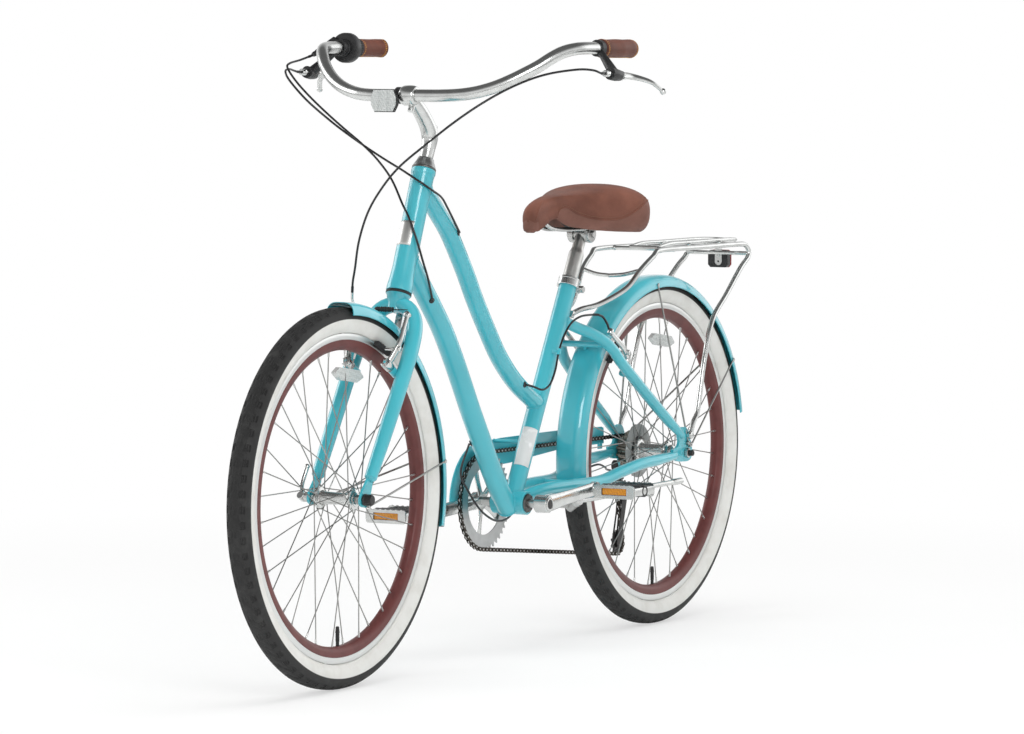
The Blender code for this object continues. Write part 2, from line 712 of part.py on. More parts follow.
def spoke_set(axle, flanges, hole_radius):
    """Spokes crossed three times, half of them outside their flange."""
    pieces = []
    for i in range(SPOKES):
        side = 1 if i % 2 == 0 else -1
        lead = 1 if (i // 2) % 2 == 0 else -1
        rim_turn = math.degrees(math.tau * (i + 0.5) / SPOKES) - 90
        hub_turn = rim_turn + lead * 66
        flange = flanges[0] if side == 1 else flanges[1]
        side_place = flange + side * lead * 0.0016
        start = from_axle(axle, hole_radius, hub_turn, side_place)
        end = from_axle(axle, RIM_INNER * math.cos(math.pi / WHEEL_SIDES) - 0.0005, rim_turn, side * 0.0025)
        pieces.append(rod(start, end, SPOKE_RADIUS, sides=3))
    return pieces


def wheel_reflector(axle):
    """A flat reflector clipped between spokes near the rim."""
    centre = from_axle(axle, REFLECTOR_DISTANCE, math.degrees(REFLECTOR_TURN), 0.0030)
    turn = Matrix.Rotation(-(REFLECTOR_TURN - math.pi / 2), 4, "Y")
    return block(centre, (0.076, 0.0110, 0.024), turn)


def front_hub():
    profile = [
        (HUB_BORE, -0.040), (0.0122, -0.040), (0.0122, -0.0368), (0.0205, -0.0355),
        (0.0205, -0.0325), (0.0122, -0.0300), (0.0122, 0.0300), (0.0205, 0.0325),
        (0.0205, 0.0355), (0.0122, 0.0368), (0.0122, 0.040), (HUB_BORE, 0.040),
    ]
    pieces = [turned(profile, wheel_frame(FRONT_AXLE), sides=12)]
    pieces += spoke_set(FRONT_AXLE, (0.034, -0.034), 0.0182)
    pieces.append(wheel_reflector(FRONT_AXLE))
    node("front_hub", SILVER, pieces, pivot=FRONT_AXLE, parent=FRONT_WHEEL)


FREEWHEEL_BORE = 0.0163
# The twelve-sided bore turns on the hub's seat, so the seat clears the middle of its sides.
FREEWHEEL_SEAT = FREEWHEEL_BORE * math.cos(math.pi / 12) - 1.5 * GAP


def rear_hub():
    """Hub shell, spokes, spoke protector disc and the threaded seat of the freewheel."""
    profile = [
        (HUB_BORE, 0.047), (0.0130, 0.047), (0.0135, 0.0385), (0.0230, 0.0370),
        (0.0230, 0.0340), (0.0150, 0.0310), (0.0145, -0.0200), (0.0230, -0.0250),
        (0.0230, -0.0280), (0.0165, -0.0298), (0.0500, -0.0300), (0.0500, -0.0312),
        (FREEWHEEL_SEAT, -0.0316), (FREEWHEEL_SEAT, -0.0600), (HUB_BORE, -0.0600),
    ]
    pieces = [turned(profile, wheel_frame(REAR_AXLE), sides=12)]
    pieces += spoke_set(REAR_AXLE, (0.0355, -0.0265), 0.0205)
    pieces.append(wheel_reflector(REAR_AXLE))
    node("rear_hub", SILVER, pieces, pivot=REAR_AXLE, parent=REAR_WHEEL)


def front_skewer():
    """Axle with its locknuts, the black end nut and the quick-release lever."""
    x, z = FRONT_AXLE.x, FRONT_AXLE.z
    outer = FRONT_HALF_WIDTH + 0.0045 + GAP
    pieces = [
        side_rod(x, z, -0.0630, 0.0600, AXLE_RADIUS),
        side_rod(x, z, outer, 0.0720, 0.0105, end_radius=0.0090),
        side_rod(x, z, -outer, -0.0640, 0.0090, sides=10),
    ]
    for _, side in SIDES:
        face = side * (FRONT_HALF_WIDTH - GAP)
        pieces.append(side_rod(x, z, side * 0.0405, face, LOCKNUT_RADIUS, sides=8))
    node("front_skewer", BLACK, pieces, parent=STEERING)
    cam = Vector((x, -0.0640 - CAM_RADIUS - GAP, z))
    reach = Vector((-0.4683, 0, 0.8836))
    tip = cam + reach * 0.0566 - SIDEWAYS * 0.0060
    hinge = reach.cross(SIDEWAYS)
    lever = [
        rod(cam - hinge * 0.0080, cam + hinge * 0.0080, CAM_RADIUS, sides=12),
        tube([cam, cam + reach * 0.0230 - SIDEWAYS * 0.0070, tip], 0.0042, sides=8),
        ball(tip, 0.0050),
    ]
    node("front_skewer_lever", SILVER, lever, pivot=cam, parent=STEERING)


def rear_axle():
    x, z = REAR_AXLE.x, REAR_AXLE.z
    inner = REAR_HALF_WIDTH - GAP
    outer = REAR_HALF_WIDTH + DROPOUT_THICKNESS + GAP
    pieces = [
        side_rod(x, z, -0.0900, 0.0880, AXLE_RADIUS),
        side_rod(x, z, 0.0475, inner, LOCKNUT_RADIUS, sides=8),
        side_rod(x, z, -0.0605, -inner, LOCKNUT_RADIUS, sides=8),
        side_rod(x, z, outer, 0.0910, 0.0115, end_radius=0.0100),
        side_rod(x, z, -outer, -0.0830, 0.0095, sides=6),
    ]
    node("rear_axle", BLACK, pieces)


def freewheel():
    """Seven sprockets on one body, the largest next to the spokes."""
    profile = [(FREEWHEEL_BORE, -0.0325)]
    half = 0.0009
    for index, teeth in enumerate(reversed(SPROCKETS)):
        y = CASSETTE_SIDE + SPROCKET_STEP * (len(SPROCKETS) - 1 - index)
        tip = pitch_radius(teeth) + 0.0027
        profile += [(0.0230, y + half), (tip, y + half), (tip, y - half), (0.0230, y - half)]
    profile += [(0.0200, -0.0632), (FREEWHEEL_BORE, -0.0632)]
    ring = turned(list(reversed(profile)), wheel_frame(REAR_AXLE), sides=12)
    node("freewheel", STEEL, [ring], pivot=REAR_AXLE, parent=REAR_WHEEL)


# Fenders
def fender_profile(half_width):
    """Across the fender, as (radius, side) from one lip over the crown to the other."""
    shares = (-1.0, -0.86, -0.42, 0.42, 0.86, 1.0)
    drops = (1.0, 0.34, 0.0, 0.0, 0.34, 1.0)
    return [(FENDER_RADIUS - FENDER_LIP * d, half_width * s) for s, d in zip(shares, drops)]


def fender_shell(axle, arc, half_width):
    start, end = (math.radians(a) for a in arc)
    steps = round((end - start) / math.radians(8.8))
    profile = fender_profile(half_width)
    # The wheel frame's turn runs clockwise seen from the left, so the arc is entered negated.
    return spun_shell(profile, wheel_frame(axle), -end, end - start, steps, FENDER_WALL)


def front_fender():
    pieces = [fender_shell(FRONT_AXLE, FRONT_FENDER_ARC, FRONT_FENDER_HALF_WIDTH)]
    lip = FENDER_RADIUS - FENDER_LIP + 0.006
    eyelet = FRONT_AXLE + Vector((-0.0117, 0, -0.0107))
    for _, side in SIDES:
        y = side * (FRONT_HALF_WIDTH + 0.0045 + GAP + STAY_RADIUS)
        start = Vector((eyelet.x, y, eyelet.z))
        end = from_axle(FRONT_AXLE, lip, 172.5, side * (FRONT_FENDER_HALF_WIDTH - 0.0003))
        bend = start + Vector((-0.012, side * 0.0015, 0.0015))
        pieces.append(tube([start, bend, end], STAY_RADIUS, sides=6))
        pieces.append(side_rod(start.x, start.z, y - side * STAY_RADIUS, y + side * 0.0022, 0.0042, sides=10))
    back = -0.0178
    base = math.sqrt(FENDER_RADIUS ** 2 - (FORK_OFFSET - back) ** 2)
    middle = (base + 0.372) / 2
    turn = axes(steer(middle), HEAD_UP, HEAD_FORWARD)
    pieces.append(block(steer(middle, back), (0.0018, 0.014, 0.372 - base + 0.002), turn))
    node("front_fender", TURQUOISE, pieces, parent=STEERING)


def rear_fender():
    pieces = [fender_shell(REAR_AXLE, REAR_FENDER_ARC, REAR_FENDER_HALF_WIDTH)]
    lip = FENDER_RADIUS - FENDER_LIP + 0.006
    for _, side in SIDES:
        y = side * (REAR_HALF_WIDTH + DROPOUT_THICKNESS + GAP + STAY_RADIUS)
        start = Vector((EYELET_LOWER.x, y, EYELET_LOWER.z))
        end = from_axle(REAR_AXLE, lip, 150, side * (REAR_FENDER_HALF_WIDTH - 0.0003))
        bend = start + Vector((-0.013, 0, 0.006))
        pieces.append(tube([start, bend, end], STAY_RADIUS, sides=6))
        pieces.append(side_rod(start.x, start.z, y - side * STAY_RADIUS, y + side * 0.0030, 0.0045, sides=10))
    node("rear_fender", TURQUOISE, pieces)


# Fork
BLADE_COURSE = (
    (0.3765, 0.0000, 0.000), (0.3751, 0.0000, 0.012), (0.3676, 0.0000, 0.028),
    (0.3503, 0.0003, 0.042), (0.3272, 0.0039, 0.050), (0.2900, 0.0105, BLADE_SIDE),
    (0.2552, 0.0166, BLADE_SIDE + 0.0010), (0.1390, 0.0372, BLADE_SIDE + 0.0005),
    (0.0420, 0.0545, BLADE_SIDE - 0.0010),
)
BLADE_RADII = (0.0143, 0.0143, 0.0143, 0.0143, 0.0143, 0.0143, 0.0140, 0.0130, 0.0112)
FRONT_PIVOT = (0.2512, 0.0665)
FRONT_POST_FOOT = (0.2421, 0.0181)


def fork():
    pieces = []
    seal = HEAD_TUBE_BASE - 0.0004
    crown = BLADE_COURSE[0][0]
    steerer = [
        (0, crown - 0.012), (0.0150, crown - 0.012), (0.0165, crown), (0.0225, seal - 0.0045),
        (0.0228, seal), (STEERER_RADIUS, seal), (STEERER_RADIUS, COVER_TOP - 0.001),
        (0, COVER_TOP - 0.001),
    ]
    pieces.append(turned(steerer, axes(STEER_FOOT, HEAD_UP), sides=14))
    for _, side in SIDES:
        course = [steer(a, f, side * y) for a, f, y in BLADE_COURSE]
        pieces.append(tube(course, BLADE_RADII[0], sides=10, radii=BLADE_RADII))
        pieces.append(fork_dropout(side))
        pin = front_pin(side)
        out = FRONT_BRAKE_OUT
        pieces.append(rod(pin, pin + out * 0.0245, 0.0075, sides=8))
        pieces.append(rod(pin, pin + out * 0.0465, PIN_RADIUS, sides=8))
        pieces.append(rod(pin + out * 0.0455, pin + out * 0.0495, 0.0062, sides=8))
    bore = rod(steer(COVER_TOP - 0.145), steer(COVER_TOP + 0.01), STEERER_BORE, sides=14)
    axle_hole = side_rod(FRONT_AXLE.x, FRONT_AXLE.z, -0.09, 0.09, AXLE_RADIUS + GAP, sides=12)
    node("fork", TURQUOISE, pieces, [bore, axle_hole], parent=STEERING)


def fork_dropout(side):
    end = BLADE_COURSE[-1]
    outline = []
    for a, f in (
        (end[0] + 0.020, end[1] - 0.008), (end[0] - 0.012, end[1] - 0.0105),
        (0.006, FORK_OFFSET - 0.0185), (-0.0095, FORK_OFFSET - 0.0185),
        (-0.0135, FORK_OFFSET), (-0.0080, FORK_OFFSET + 0.0115), (0.008, FORK_OFFSET + 0.0120),
        (end[0] - 0.004, end[1] + 0.0095), (end[0] + 0.020, end[1] + 0.005),
    ):
        point = steer(a, f)
        outline.append((point.x, point.z))
    return side_plate([outline], side * (FRONT_HALF_WIDTH + 0.00225), 0.0045)


def headset_cover():
    base = HEAD_TOP + GAP
    profile = [
        (STEERER_RADIUS + GAP, 0), (0.0215, 0), (0.0215, 0.004), (0.0150, COVER_HEIGHT - 0.003),
        (0.0145, COVER_HEIGHT), (STEERER_RADIUS + GAP, COVER_HEIGHT),
    ]
    ring = turned(profile, axes(steer(base), HEAD_UP), sides=14)
    node("headset_cover", SILVER, [ring], parent=STEERING)


# Stem and bar
def bar_course():
    """The left half of the handlebar: up, ahead of the clamp and out to the side."""
    course = (
        (0, 0, 0), (0, 0, 0.033), (0.0002, 0, 0.066), (0.0040, -0.0050, 0.100),
        (0.0124, -0.0134, 0.129), (0.0250, -0.0215, 0.157), (0.0407, -0.0300, 0.181),
        (0.0585, -0.0400, 0.202), (0.0767, -0.0510, 0.220), (0.0960, -0.0620, 0.235),
        (0.1130, -0.0760, 0.248), (0.1290, -0.1000, 0.260), (0.1457, -0.1385, 0.2665),
        (0.1620, -0.1810, 0.2690), (0.1792, -0.2242, 0.2680), (0.1960, -0.2660, 0.2630),
        (0.2008, -0.2799, 0.2594),
    )
    return [steer(BAR_HEIGHT + up, STEM_REACH + ahead, side) for up, ahead, side in course]


BAR_LEFT = smooth_route(bar_course(), 0.0310)


def bar_at(distance, side):
    """Place and outward direction on the handlebar, measured from its end."""
    points = list(reversed(BAR_LEFT))
    for a, b in zip(points, points[1:]):
        step = (b - a).length
        if distance <= step:
            break
        distance -= step
    place = a.lerp(b, distance / step)
    return sided(place, side), sided((a - b).normalized(), side)


def bar_heading(distance, side):
    """The bar's mean direction over a short stretch about a distance from its end."""
    if distance < 0.010:
        return bar_at(distance, side)[1]
    return (bar_at(distance - 0.010, side)[0] - bar_at(distance + 0.010, side)[0]).normalized()


def bar_stretch(near, far, side, beyond=0.0):
    """Points along the bar between two distances from its end.

    A short first and last step along the bar's mean direction keep neighbours' ends parallel.
    """
    start, end = bar_at(near, side)[0], bar_at(far, side)[0]
    places = [start, start - bar_heading(near, side) * 0.0010]
    length = 0.0
    for a, b in zip(reversed(BAR_LEFT), list(reversed(BAR_LEFT))[1:]):
        length += (b - a).length
        if near + 0.003 < length < far - 0.003:
            places.append(sided(b, side))
    places += [end + bar_heading(far, side) * 0.0010, end]
    if beyond:
        places[0] = start + bar_heading(near, side) * beyond
    return places


def handlebar():
    left = BAR_LEFT
    right = [mirrored(p) for p in reversed(left)]
    node("handlebar", SILVER, [tube(right[:-1] + left, BAR_RADIUS, sides=10)], parent=STEERING)


def stem():
    course = [
        steer(COVER_TOP + 0.002), steer(COVER_TOP + 0.020), steer(COVER_TOP + 0.041, 0.002),
        steer(HEAD_TOP + 0.0770, 0.0170), steer(HEAD_TOP + 0.0915, STEM_REACH * 0.5),
        steer(BAR_HEIGHT - 0.001, STEM_REACH * 0.86),
    ]
    radii = (0.0120, 0.0128, 0.0148, 0.0145, 0.0135, 0.0118)
    clamp = steer(BAR_HEIGHT, STEM_REACH)
    bolt = steer(BAR_HEIGHT - 0.0180, STEM_REACH - 0.0170)
    pieces = [
        rod(steer(COVER_TOP - 0.130), steer(COVER_TOP + 0.012), QUILL_RADIUS, sides=14),
        tube(course, radii[0], sides=12, radii=radii),
        rod(steer(HEAD_TOP + 0.055, 0.002), steer(HEAD_TOP + 0.0830, 0.004), 0.0110, sides=12),
        rod(clamp - SIDEWAYS * STEM_HALF_WIDTH, clamp + SIDEWAYS * STEM_HALF_WIDTH, 0.0163, sides=16),
        rod(bolt - HEAD_UP * 0.006, bolt + HEAD_UP * 0.010, 0.0060, sides=8),
    ]
    bore = rod(clamp - SIDEWAYS * 0.03, clamp + SIDEWAYS * 0.03, BAR_RADIUS + 0.0004, sides=24)
    node("stem", SILVER, pieces, [bore], parent=STEERING)


def sleeve(name, finish, near, far, side, radius, beyond=0.0, extra=(), sides=12, pivot=(0, 0, 0)):
    """A sleeve on the bar between two distances from its end."""
    outer = bar_stretch(near, far, side, beyond)
    bore = bar_stretch(0 if beyond else near - 0.006, far + 0.006, side)
    if beyond:
        bore[0] = bore[0] + bar_at(0, side)[1] * 0.0005
    pieces = [tube(outer, radius, sides=sides), *extra]
    node(name, finish, pieces, [tube(bore, 0.0118, sides=12)], pivot=pivot, parent=STEERING)


def grips():
    sleeve("grip_left", BROWN, 0, LEFT_GRIP, 1, GRIP_RADIUS, beyond=0.004)
    sleeve("grip_right", BROWN, 0, RIGHT_GRIP, -1, GRIP_RADIUS, beyond=0.004)


BOOT_END = Vector((0.0585, -0.0335, -0.0125))


def shifter_mouth():
    """Where the shift cable leaves the boot."""
    start = RIGHT_GRIP + GAP + TWIST_LENGTH + TWIST_GAP
    return bar_at(start + SHIFTER_LENGTH / 2, -1)[0] + BOOT_END + Vector((0.0026, -0.0008, -0.0012))


def shifter():
    near = RIGHT_GRIP + GAP
    far = near + TWIST_LENGTH
    place, _ = bar_at((near + far) / 2, -1)
    sleeve("shifter_twist", BLACK, near, far, -1, TWIST_RADIUS, sides=16, pivot=place)
    start = far + TWIST_GAP
    end = start + SHIFTER_LENGTH
    middle, _ = bar_at((start + end) / 2, -1)
    boot = rod(middle + Vector((0.008, -0.0180, 0.0140)), middle + BOOT_END, 0.0070, 0.0046, sides=8)
    wall = bar_stretch(start, end - 0.007, -1)
    collar = tube(bar_stretch(end - 0.009, end, -1), 0.0165, sides=12)
    outer = tube(wall, SHIFTER_RADIUS, sides=16)
    bore = bar_stretch(start - 0.006, end + 0.006, -1)
    node("shifter_housing", BLACK, [outer, collar, boot], [tube(bore, 0.0118, sides=12)],
         parent=STEERING)


LEVER_BARREL = Vector((0.055, 0.046, -0.044))
LEVER_PIVOT = Vector((0.004, 0.049, -0.048))
LEVER_ELBOW = Vector((-0.028, 0.053, -0.050))
LEVER_TIP = Vector((-0.074, 0.090, -0.0765))
LEVER_AXIS = Vector((0.107, 0.649, 0.753)).normalized()
LEVER_ROOT = 0.0062


def lever_mount(side):
    """Where the bracket's clamp is centred on the bar."""
    inner = LEFT_GRIP + GAP + BRACKET_LENGTH / 2
    if side == -1:
        inner = RIGHT_GRIP + TWIST_LENGTH + TWIST_GAP + SHIFTER_LENGTH + 2 * GAP + BRACKET_LENGTH / 2
    return inner, bar_at(inner, side)[0]


def lever_point(side, offset):
    return lever_mount(side)[1] + sided(offset, side)


def brake_lever(name, side):
    middle, centre = lever_mount(side)
    half = BRACKET_LENGTH / 2
    ring = tube(bar_stretch(middle - half, middle + half, side), 0.0150, sides=10)
    pivot = lever_point(side, LEVER_PIVOT)
    barrel = lever_point(side, LEVER_BARREL)
    housing_end = barrel - Vector((0.014, 0, 0))
    neck = centre.lerp(pivot.lerp(barrel, 0.45), 0.17)
    pieces = [
        ring,
        rod(neck, pivot.lerp(barrel, 0.45), 0.0060, 0.0100, sides=8),
        rod(pivot + Vector((LEVER_ROOT + 0.0011, 0, 0)), housing_end, 0.0100, 0.0115, sides=12),
        rod(housing_end - Vector((0.002, 0, 0)), barrel + Vector((0.006, 0, 0)), 0.0062, sides=10),
    ]
    bore = bar_stretch(middle - half - 0.006, middle + half + 0.006, side)
    node("lever_bracket_" + name, BLACK, pieces, [tube(bore, 0.0118, sides=12)], parent=STEERING)
    elbow = lever_point(side, LEVER_ELBOW)
    tip = lever_point(side, LEVER_TIP)
    axis = sided(LEVER_AXIS, side)
    curve = [pivot, elbow, elbow.lerp(tip, 0.55) + Vector((0, side * 0.0030, 0.0050)), tip]
    pieces = [
        rod(pivot - axis * 0.0062, pivot + axis * 0.0062, LEVER_ROOT, sides=10),
        tube(smooth_route(curve, 0.016), 0.0058, sides=8),
        ball(tip, 0.0062),
    ]
    node("brake_lever_" + name, SILVER, pieces, pivot=pivot, parent=STEERING)


def front_reflector():
    centre = steer(BAR_HEIGHT, STEM_REACH)
    face = centre + Vector((0.0230, -0.0367, -0.0086))
    ring_at = centre - SIDEWAYS * (STEM_HALF_WIDTH + 0.0062)
    pieces = [
        rod(ring_at - SIDEWAYS * 0.005, ring_at + SIDEWAYS * 0.005, 0.0150, sides=12),
        block(face + Vector((-0.0060, 0.014, 0.006)), (0.012, 0.012, 0.012)),
        block(face, (0.0120, 0.0534, 0.0420)),
    ]
    bore = rod(centre - SIDEWAYS * 0.10, centre + SIDEWAYS * 0.10, BAR_RADIUS + 0.0006, sides=24)
    node("front_reflector", CLEAR, pieces, [bore], parent=STEERING)


# Brakes
FRONT_BRAKE_OUT = Vector((0.848, 0, 0.53)).normalized()
FRONT_ARM_UP = Vector((-FRONT_BRAKE_OUT.z, 0, FRONT_BRAKE_OUT.x))
REAR_ARM_UP = Vector((REAR_BRAKE_OUT.z, 0, -REAR_BRAKE_OUT.x))
ARM_LENGTH = 0.100


def front_pin(side):
    return steer(*FRONT_POST_FOOT, side * BRAKE_SIDE)


def arm_top(pin, out, up, side):
    middle = sided(pin, side * math.copysign(1, pin.y)) + out * 0.03485
    return middle + up * ARM_LENGTH + SIDEWAYS * side * 0.009


def brake_arm(name, pin, out, up, side, axle, parent):
    """One V-brake arm: pivot sleeve, arm, pad on its post and the cable anchor."""
    across = SIDEWAYS * side
    start, end = pin + out * (0.0245 + GAP), pin + out * 0.0452
    middle = (start + end) / 2
    top = middle + up * ARM_LENGTH + across * 0.009
    elbow = middle + up * 0.045 + across * 0.0105
    pad_place = closest_pad(axle, middle, up)
    pad = Vector((pad_place.x, side * 0.0205, pad_place.z))
    radial = (pad - Vector((axle.x, pad.y, axle.z))).normalized()
    tangent = Vector((-radial.z, 0, radial.x))
    turn = Matrix((tangent, SIDEWAYS, tangent.cross(SIDEWAYS))).transposed().to_4x4()
    post_end = Vector((pad.x, elbow.y + side * 0.004, pad.z))
    pieces = [
        rod(start, end, 0.0088, sides=8),
        tube([middle, elbow, top], 0.0066, sides=6, radii=(0.0070, 0.0066, 0.0052)),
        block(pad, (0.050, 0.0100, 0.0095), turn),
        rod(pad, post_end, 0.0035, sides=6),
        rod(elbow.lerp(middle, 0.35), Vector((pad.x, elbow.y, pad.z)), 0.0055, sides=6),
    ]
    hole = [rod(pin, pin + out * 0.06, PIN_RADIUS + GAP, sides=8)]
    node(name, SILVER, pieces, hole, pivot=middle, parent=parent)


def closest_pad(axle, middle, up):
    """Where the arm passes the rim's brake track."""
    best = None
    for step in range(61):
        point = middle + up * (step * 0.001)
        miss = abs(math.hypot(point.x - axle.x, point.z - axle.z) - PAD_RADIUS)
        if best is None or miss < best[0]:
            best = (miss, point)
    return best[1]


def front_brake():
    for name, side in SIDES:
        pin = front_pin(side)
        brake_arm("front_brake_arm_" + name, pin, FRONT_BRAKE_OUT, FRONT_ARM_UP, side, FRONT_AXLE,
                  STEERING)


def rear_brake():
    for name, side in SIDES:
        foot = sided(REAR_POST_FOOT, side)
        brake_arm("rear_brake_arm_" + name, foot, REAR_BRAKE_OUT, REAR_ARM_UP, side, REAR_AXLE, None)


# Seat
def seat_post():
    head = seat(POST_REACH)
    low = SEAT_TUBE_LENGTH - POST_INSERTION
    profile = [
        (0, 0), (POST_RADIUS, 0), (POST_RADIUS, POST_REACH - 0.040 - low),
        (0.0112, POST_REACH - 0.030 - low), (0.0112, POST_REACH - low), (0, POST_REACH - low),
    ]
    pieces = [
        turned(profile, axes(seat(low), SEAT_UP), sides=16),
        rod(head - SIDEWAYS * 0.0115, head + SIDEWAYS * 0.0115, 0.0120, sides=14),
    ]
    node("seat_post", SILVER, pieces, pivot=seat(SEAT_TUBE_LENGTH), parent=SEAT)


# Each ring of the saddle: share of its length, half width, top and bottom over the post's head
SADDLE_SECTIONS = (
    (0.000, 0.0150, 0.04887, 0.02087), (0.030, 0.0215, 0.06387, 0.01487), (0.150, 0.0250, 0.07187, 0.01387),
    (0.330, 0.0290, 0.07387, 0.01287), (0.450, 0.0410, 0.07637, 0.01087), (0.560, 0.0650, 0.07987, 0.00787),
    (0.680, 0.0980, 0.08587, 0.00487), (0.790, 0.1200, 0.09137, 0.00387), (0.890, 0.1240, 0.09437, 0.00687),
    (0.960, 0.1080, 0.09087, 0.01687), (1.000, 0.0780, 0.07887, 0.03487),
)


def saddle_ceiling(x):
    """Height of the hollow's flat crown inside the saddle at a place along it."""
    share = (x - seat(POST_REACH).x - SADDLE_FRONT) / (SADDLE_REAR - SADDLE_FRONT)
    for a, b in zip(SADDLE_SECTIONS, SADDLE_SECTIONS[1:]):
        if share <= b[0]:
            break
    blend = (share - a[0]) / (b[0] - a[0])
    top = a[2] + (b[2] - a[2]) * blend - SADDLE_PADDING
    low = a[3] + (b[3] - a[3]) * blend - SADDLE_PADDING
    crown = math.sin(math.tau * 3 / SADDLE_RING) ** 0.75
    return seat(POST_REACH).z + (top + low) / 2 + (top - low) / 2 * crown


def loft(sections, count):
    """Rings joined along X, from (x, half width, top, bottom) sections."""
    shape = bmesh.new()
    rings = []
    for x, half, top, bottom in sections:
        ring = []
        for i in range(count):
            turn = math.tau * i / count
            across = math.copysign(abs(math.cos(turn)) ** 0.62, math.cos(turn))
            rise = math.copysign(abs(math.sin(turn)) ** 0.75, math.sin(turn))
            z = (top + bottom) / 2 + (top - bottom) / 2 * rise
            ring.append(shape.verts.new((x, half * across, z)))
        rings.append(ring)
    for a, b in zip(rings, rings[1:]):
        for i in range(count):
            j = (i + 1) % count
            shape.faces.new((a[i], a[j], b[j], b[i]))
    shape.faces.new(rings[0])
    shape.faces.new(list(reversed(rings[-1])))
    return from_shape(shape, Matrix.Identity(4))


def saddle_clamp():
    """Clamp discs beside the post's head, a bridge over it and the two rails."""
    head = seat(POST_REACH)
    pieces = [block(head + Vector((0, 0, 0.0170)), (0.026, 0.046, 0.0060))]
    for _, side in SIDES:
        inner = side * (0.0115 + GAP)
        pieces.append(side_rod(head.x, head.z, inner, side * 0.0235, 0.0155, sides=14))
        y = side * 0.0180
        front, rear = SADDLE_FRONT + head.x - 0.062, SADDLE_REAR + head.x + 0.040
        rail = [
            (front, side * 0.0055, saddle_ceiling(front) - 3 * GAP),
            (front, side * 0.0055, head.z + 0.032), (front - 0.012, side * 0.0080, head.z + 0.019),
            (front - 0.040, side * 0.0130, head.z + 0.0125),
            (head.x + 0.050, y, head.z + 0.0105), (head.x - 0.030, y, head.z + 0.0105),
            (rear + 0.014, side * 0.0240, head.z + 0.0180), (rear, side * 0.0260, head.z + 0.0300),
            (rear, side * 0.0260, saddle_ceiling(rear) - 3 * GAP),
        ]
        pieces.append(tube(rail, 0.0035, sides=6))
    node("saddle_clamp", STEEL, pieces, pivot=head, parent=SADDLE)


def saddle():
    length = SADDLE_REAR - SADDLE_FRONT
    head = seat(POST_REACH)
    outer = []
    for share, half, top, low in SADDLE_SECTIONS:
        outer.append((head.x + SADDLE_FRONT + length * share, half, head.z + top, head.z + low))
    inner = []
    for x, half, top, low in outer[1:-1]:
        inner.append((x, half - 0.0075, top - SADDLE_PADDING, low - SADDLE_PADDING))
    body = loft(outer, SADDLE_RING)
    hollow = loft(inner, SADDLE_RING)
    node("saddle", BROWN, [body], [hollow], pivot=seat(POST_REACH), parent=SADDLE)


# Rack
RACK_COURSE = (
    (-0.5822, 0.0785, 0.3640), (-0.5954, 0.0785, 0.3896), (-0.6117, 0.0785, 0.4097),
    (-0.6420, 0.0770, 0.5040), (-0.6786, 0.0750, 0.5790), (-0.7420, 0.0725, 0.6265),
    (-0.8055, 0.0700, 0.6740), (-0.8400, 0.0685, 0.6945), (-0.8450, 0.0680, 0.7090),
    (-0.8300, 0.0680, 0.7190), (-0.8000, RACK_SIDE, RACK_HEIGHT), (-0.6500, RACK_SIDE, RACK_HEIGHT),
    (-0.4800, RACK_SIDE, RACK_HEIGHT), (-0.4550, 0.0670, 0.7120), (-0.4102, 0.0620, 0.6861),
    (-0.3733, 0.0520, 0.6535), (-0.3123, 0.0300, 0.6270), (-0.2640, 0.0160, 0.6185),
)


def rack():
    pieces = []
    mount = seat(SEAT_TUBE_LENGTH - RACK_MOUNT_BELOW_SEAT, SEAT_TUBE_RADIUS + 0.0046)
    for _, side in SIDES:
        course = [at(*sided(p, side)) for p in RACK_COURSE]
        course.append(mount + SIDEWAYS * side * 0.0090)
        pieces.append(tube(course, RACK_TUBE, sides=6))
        foot = at(-0.5822, 0, 0.3640)
        inner = side * (REAR_HALF_WIDTH + DROPOUT_THICKNESS + GAP)
        pieces.append(side_rod(foot.x, foot.z, inner, side * 0.0830, 0.0070, sides=8))
    for x, z, radius in ((-0.5400, RACK_HEIGHT, 0.004), (-0.6700, RACK_HEIGHT, 0.004),
                         (-0.7950, RACK_HEIGHT, 0.004), (-0.8440, 0.7020, 0.004)):
        place = at(x, 0, z)
        pieces.append(side_rod(place.x, place.z, -RACK_SIDE, RACK_SIDE, radius, sides=6))
    brace = [at(-0.4102, 0.062, 0.6861), at(-0.405, 0.030, 0.6780), at(-0.403, 0, 0.6755),
             at(-0.405, -0.030, 0.6780), at(-0.4102, -0.062, 0.6861)]
    pieces.append(tube(brace, 0.0038, sides=6))
    hoop = [
        (-0.5400, 0.030, RACK_HEIGHT + 0.002), (-0.5900, 0.030, RACK_HEIGHT + 0.0075),
        (-0.6700, 0.030, RACK_HEIGHT + 0.0075), (-0.8100, 0.030, RACK_HEIGHT + 0.0075),
        (-0.8650, 0.026, RACK_HEIGHT + 0.006), (-0.8880, 0.014, RACK_HEIGHT + 0.0045),
    ]
    loop = [at(*p) for p in hoop] + [at(-0.8920, 0, RACK_HEIGHT + 0.004)]
    loop += [mirrored(at(*p)) for p in reversed(hoop)]
    pieces.append(tube(loop, 0.004, sides=6))
    pieces.append(side_rod(at(-0.54, 0, 0).x, RACK_HEIGHT + 0.002, -0.030, 0.030, 0.0038, sides=8))
    turn = axes(seat(0), SEAT_UP, SEAT_BACK)
    pieces.append(block(mount, (0.0080, 0.0300, 0.0130), turn))
    node("rack", SILVER, pieces)


def rear_reflector():
    centre = at(-0.8535, 0, 0.6900)
    cut = at(-0.8440, 0, 0.7020)
    pieces = [block(centre, (0.0090, 0.0880, 0.0340)), block(centre + Vector((0.0050, 0, 0.009)),
                                                            (0.0120, 0.030, 0.012))]
    hole = [side_rod(cut.x, cut.z, -0.1, 0.1, 0.004 + GAP, sides=12)]
    node("rear_reflector", RED, pieces, hole)


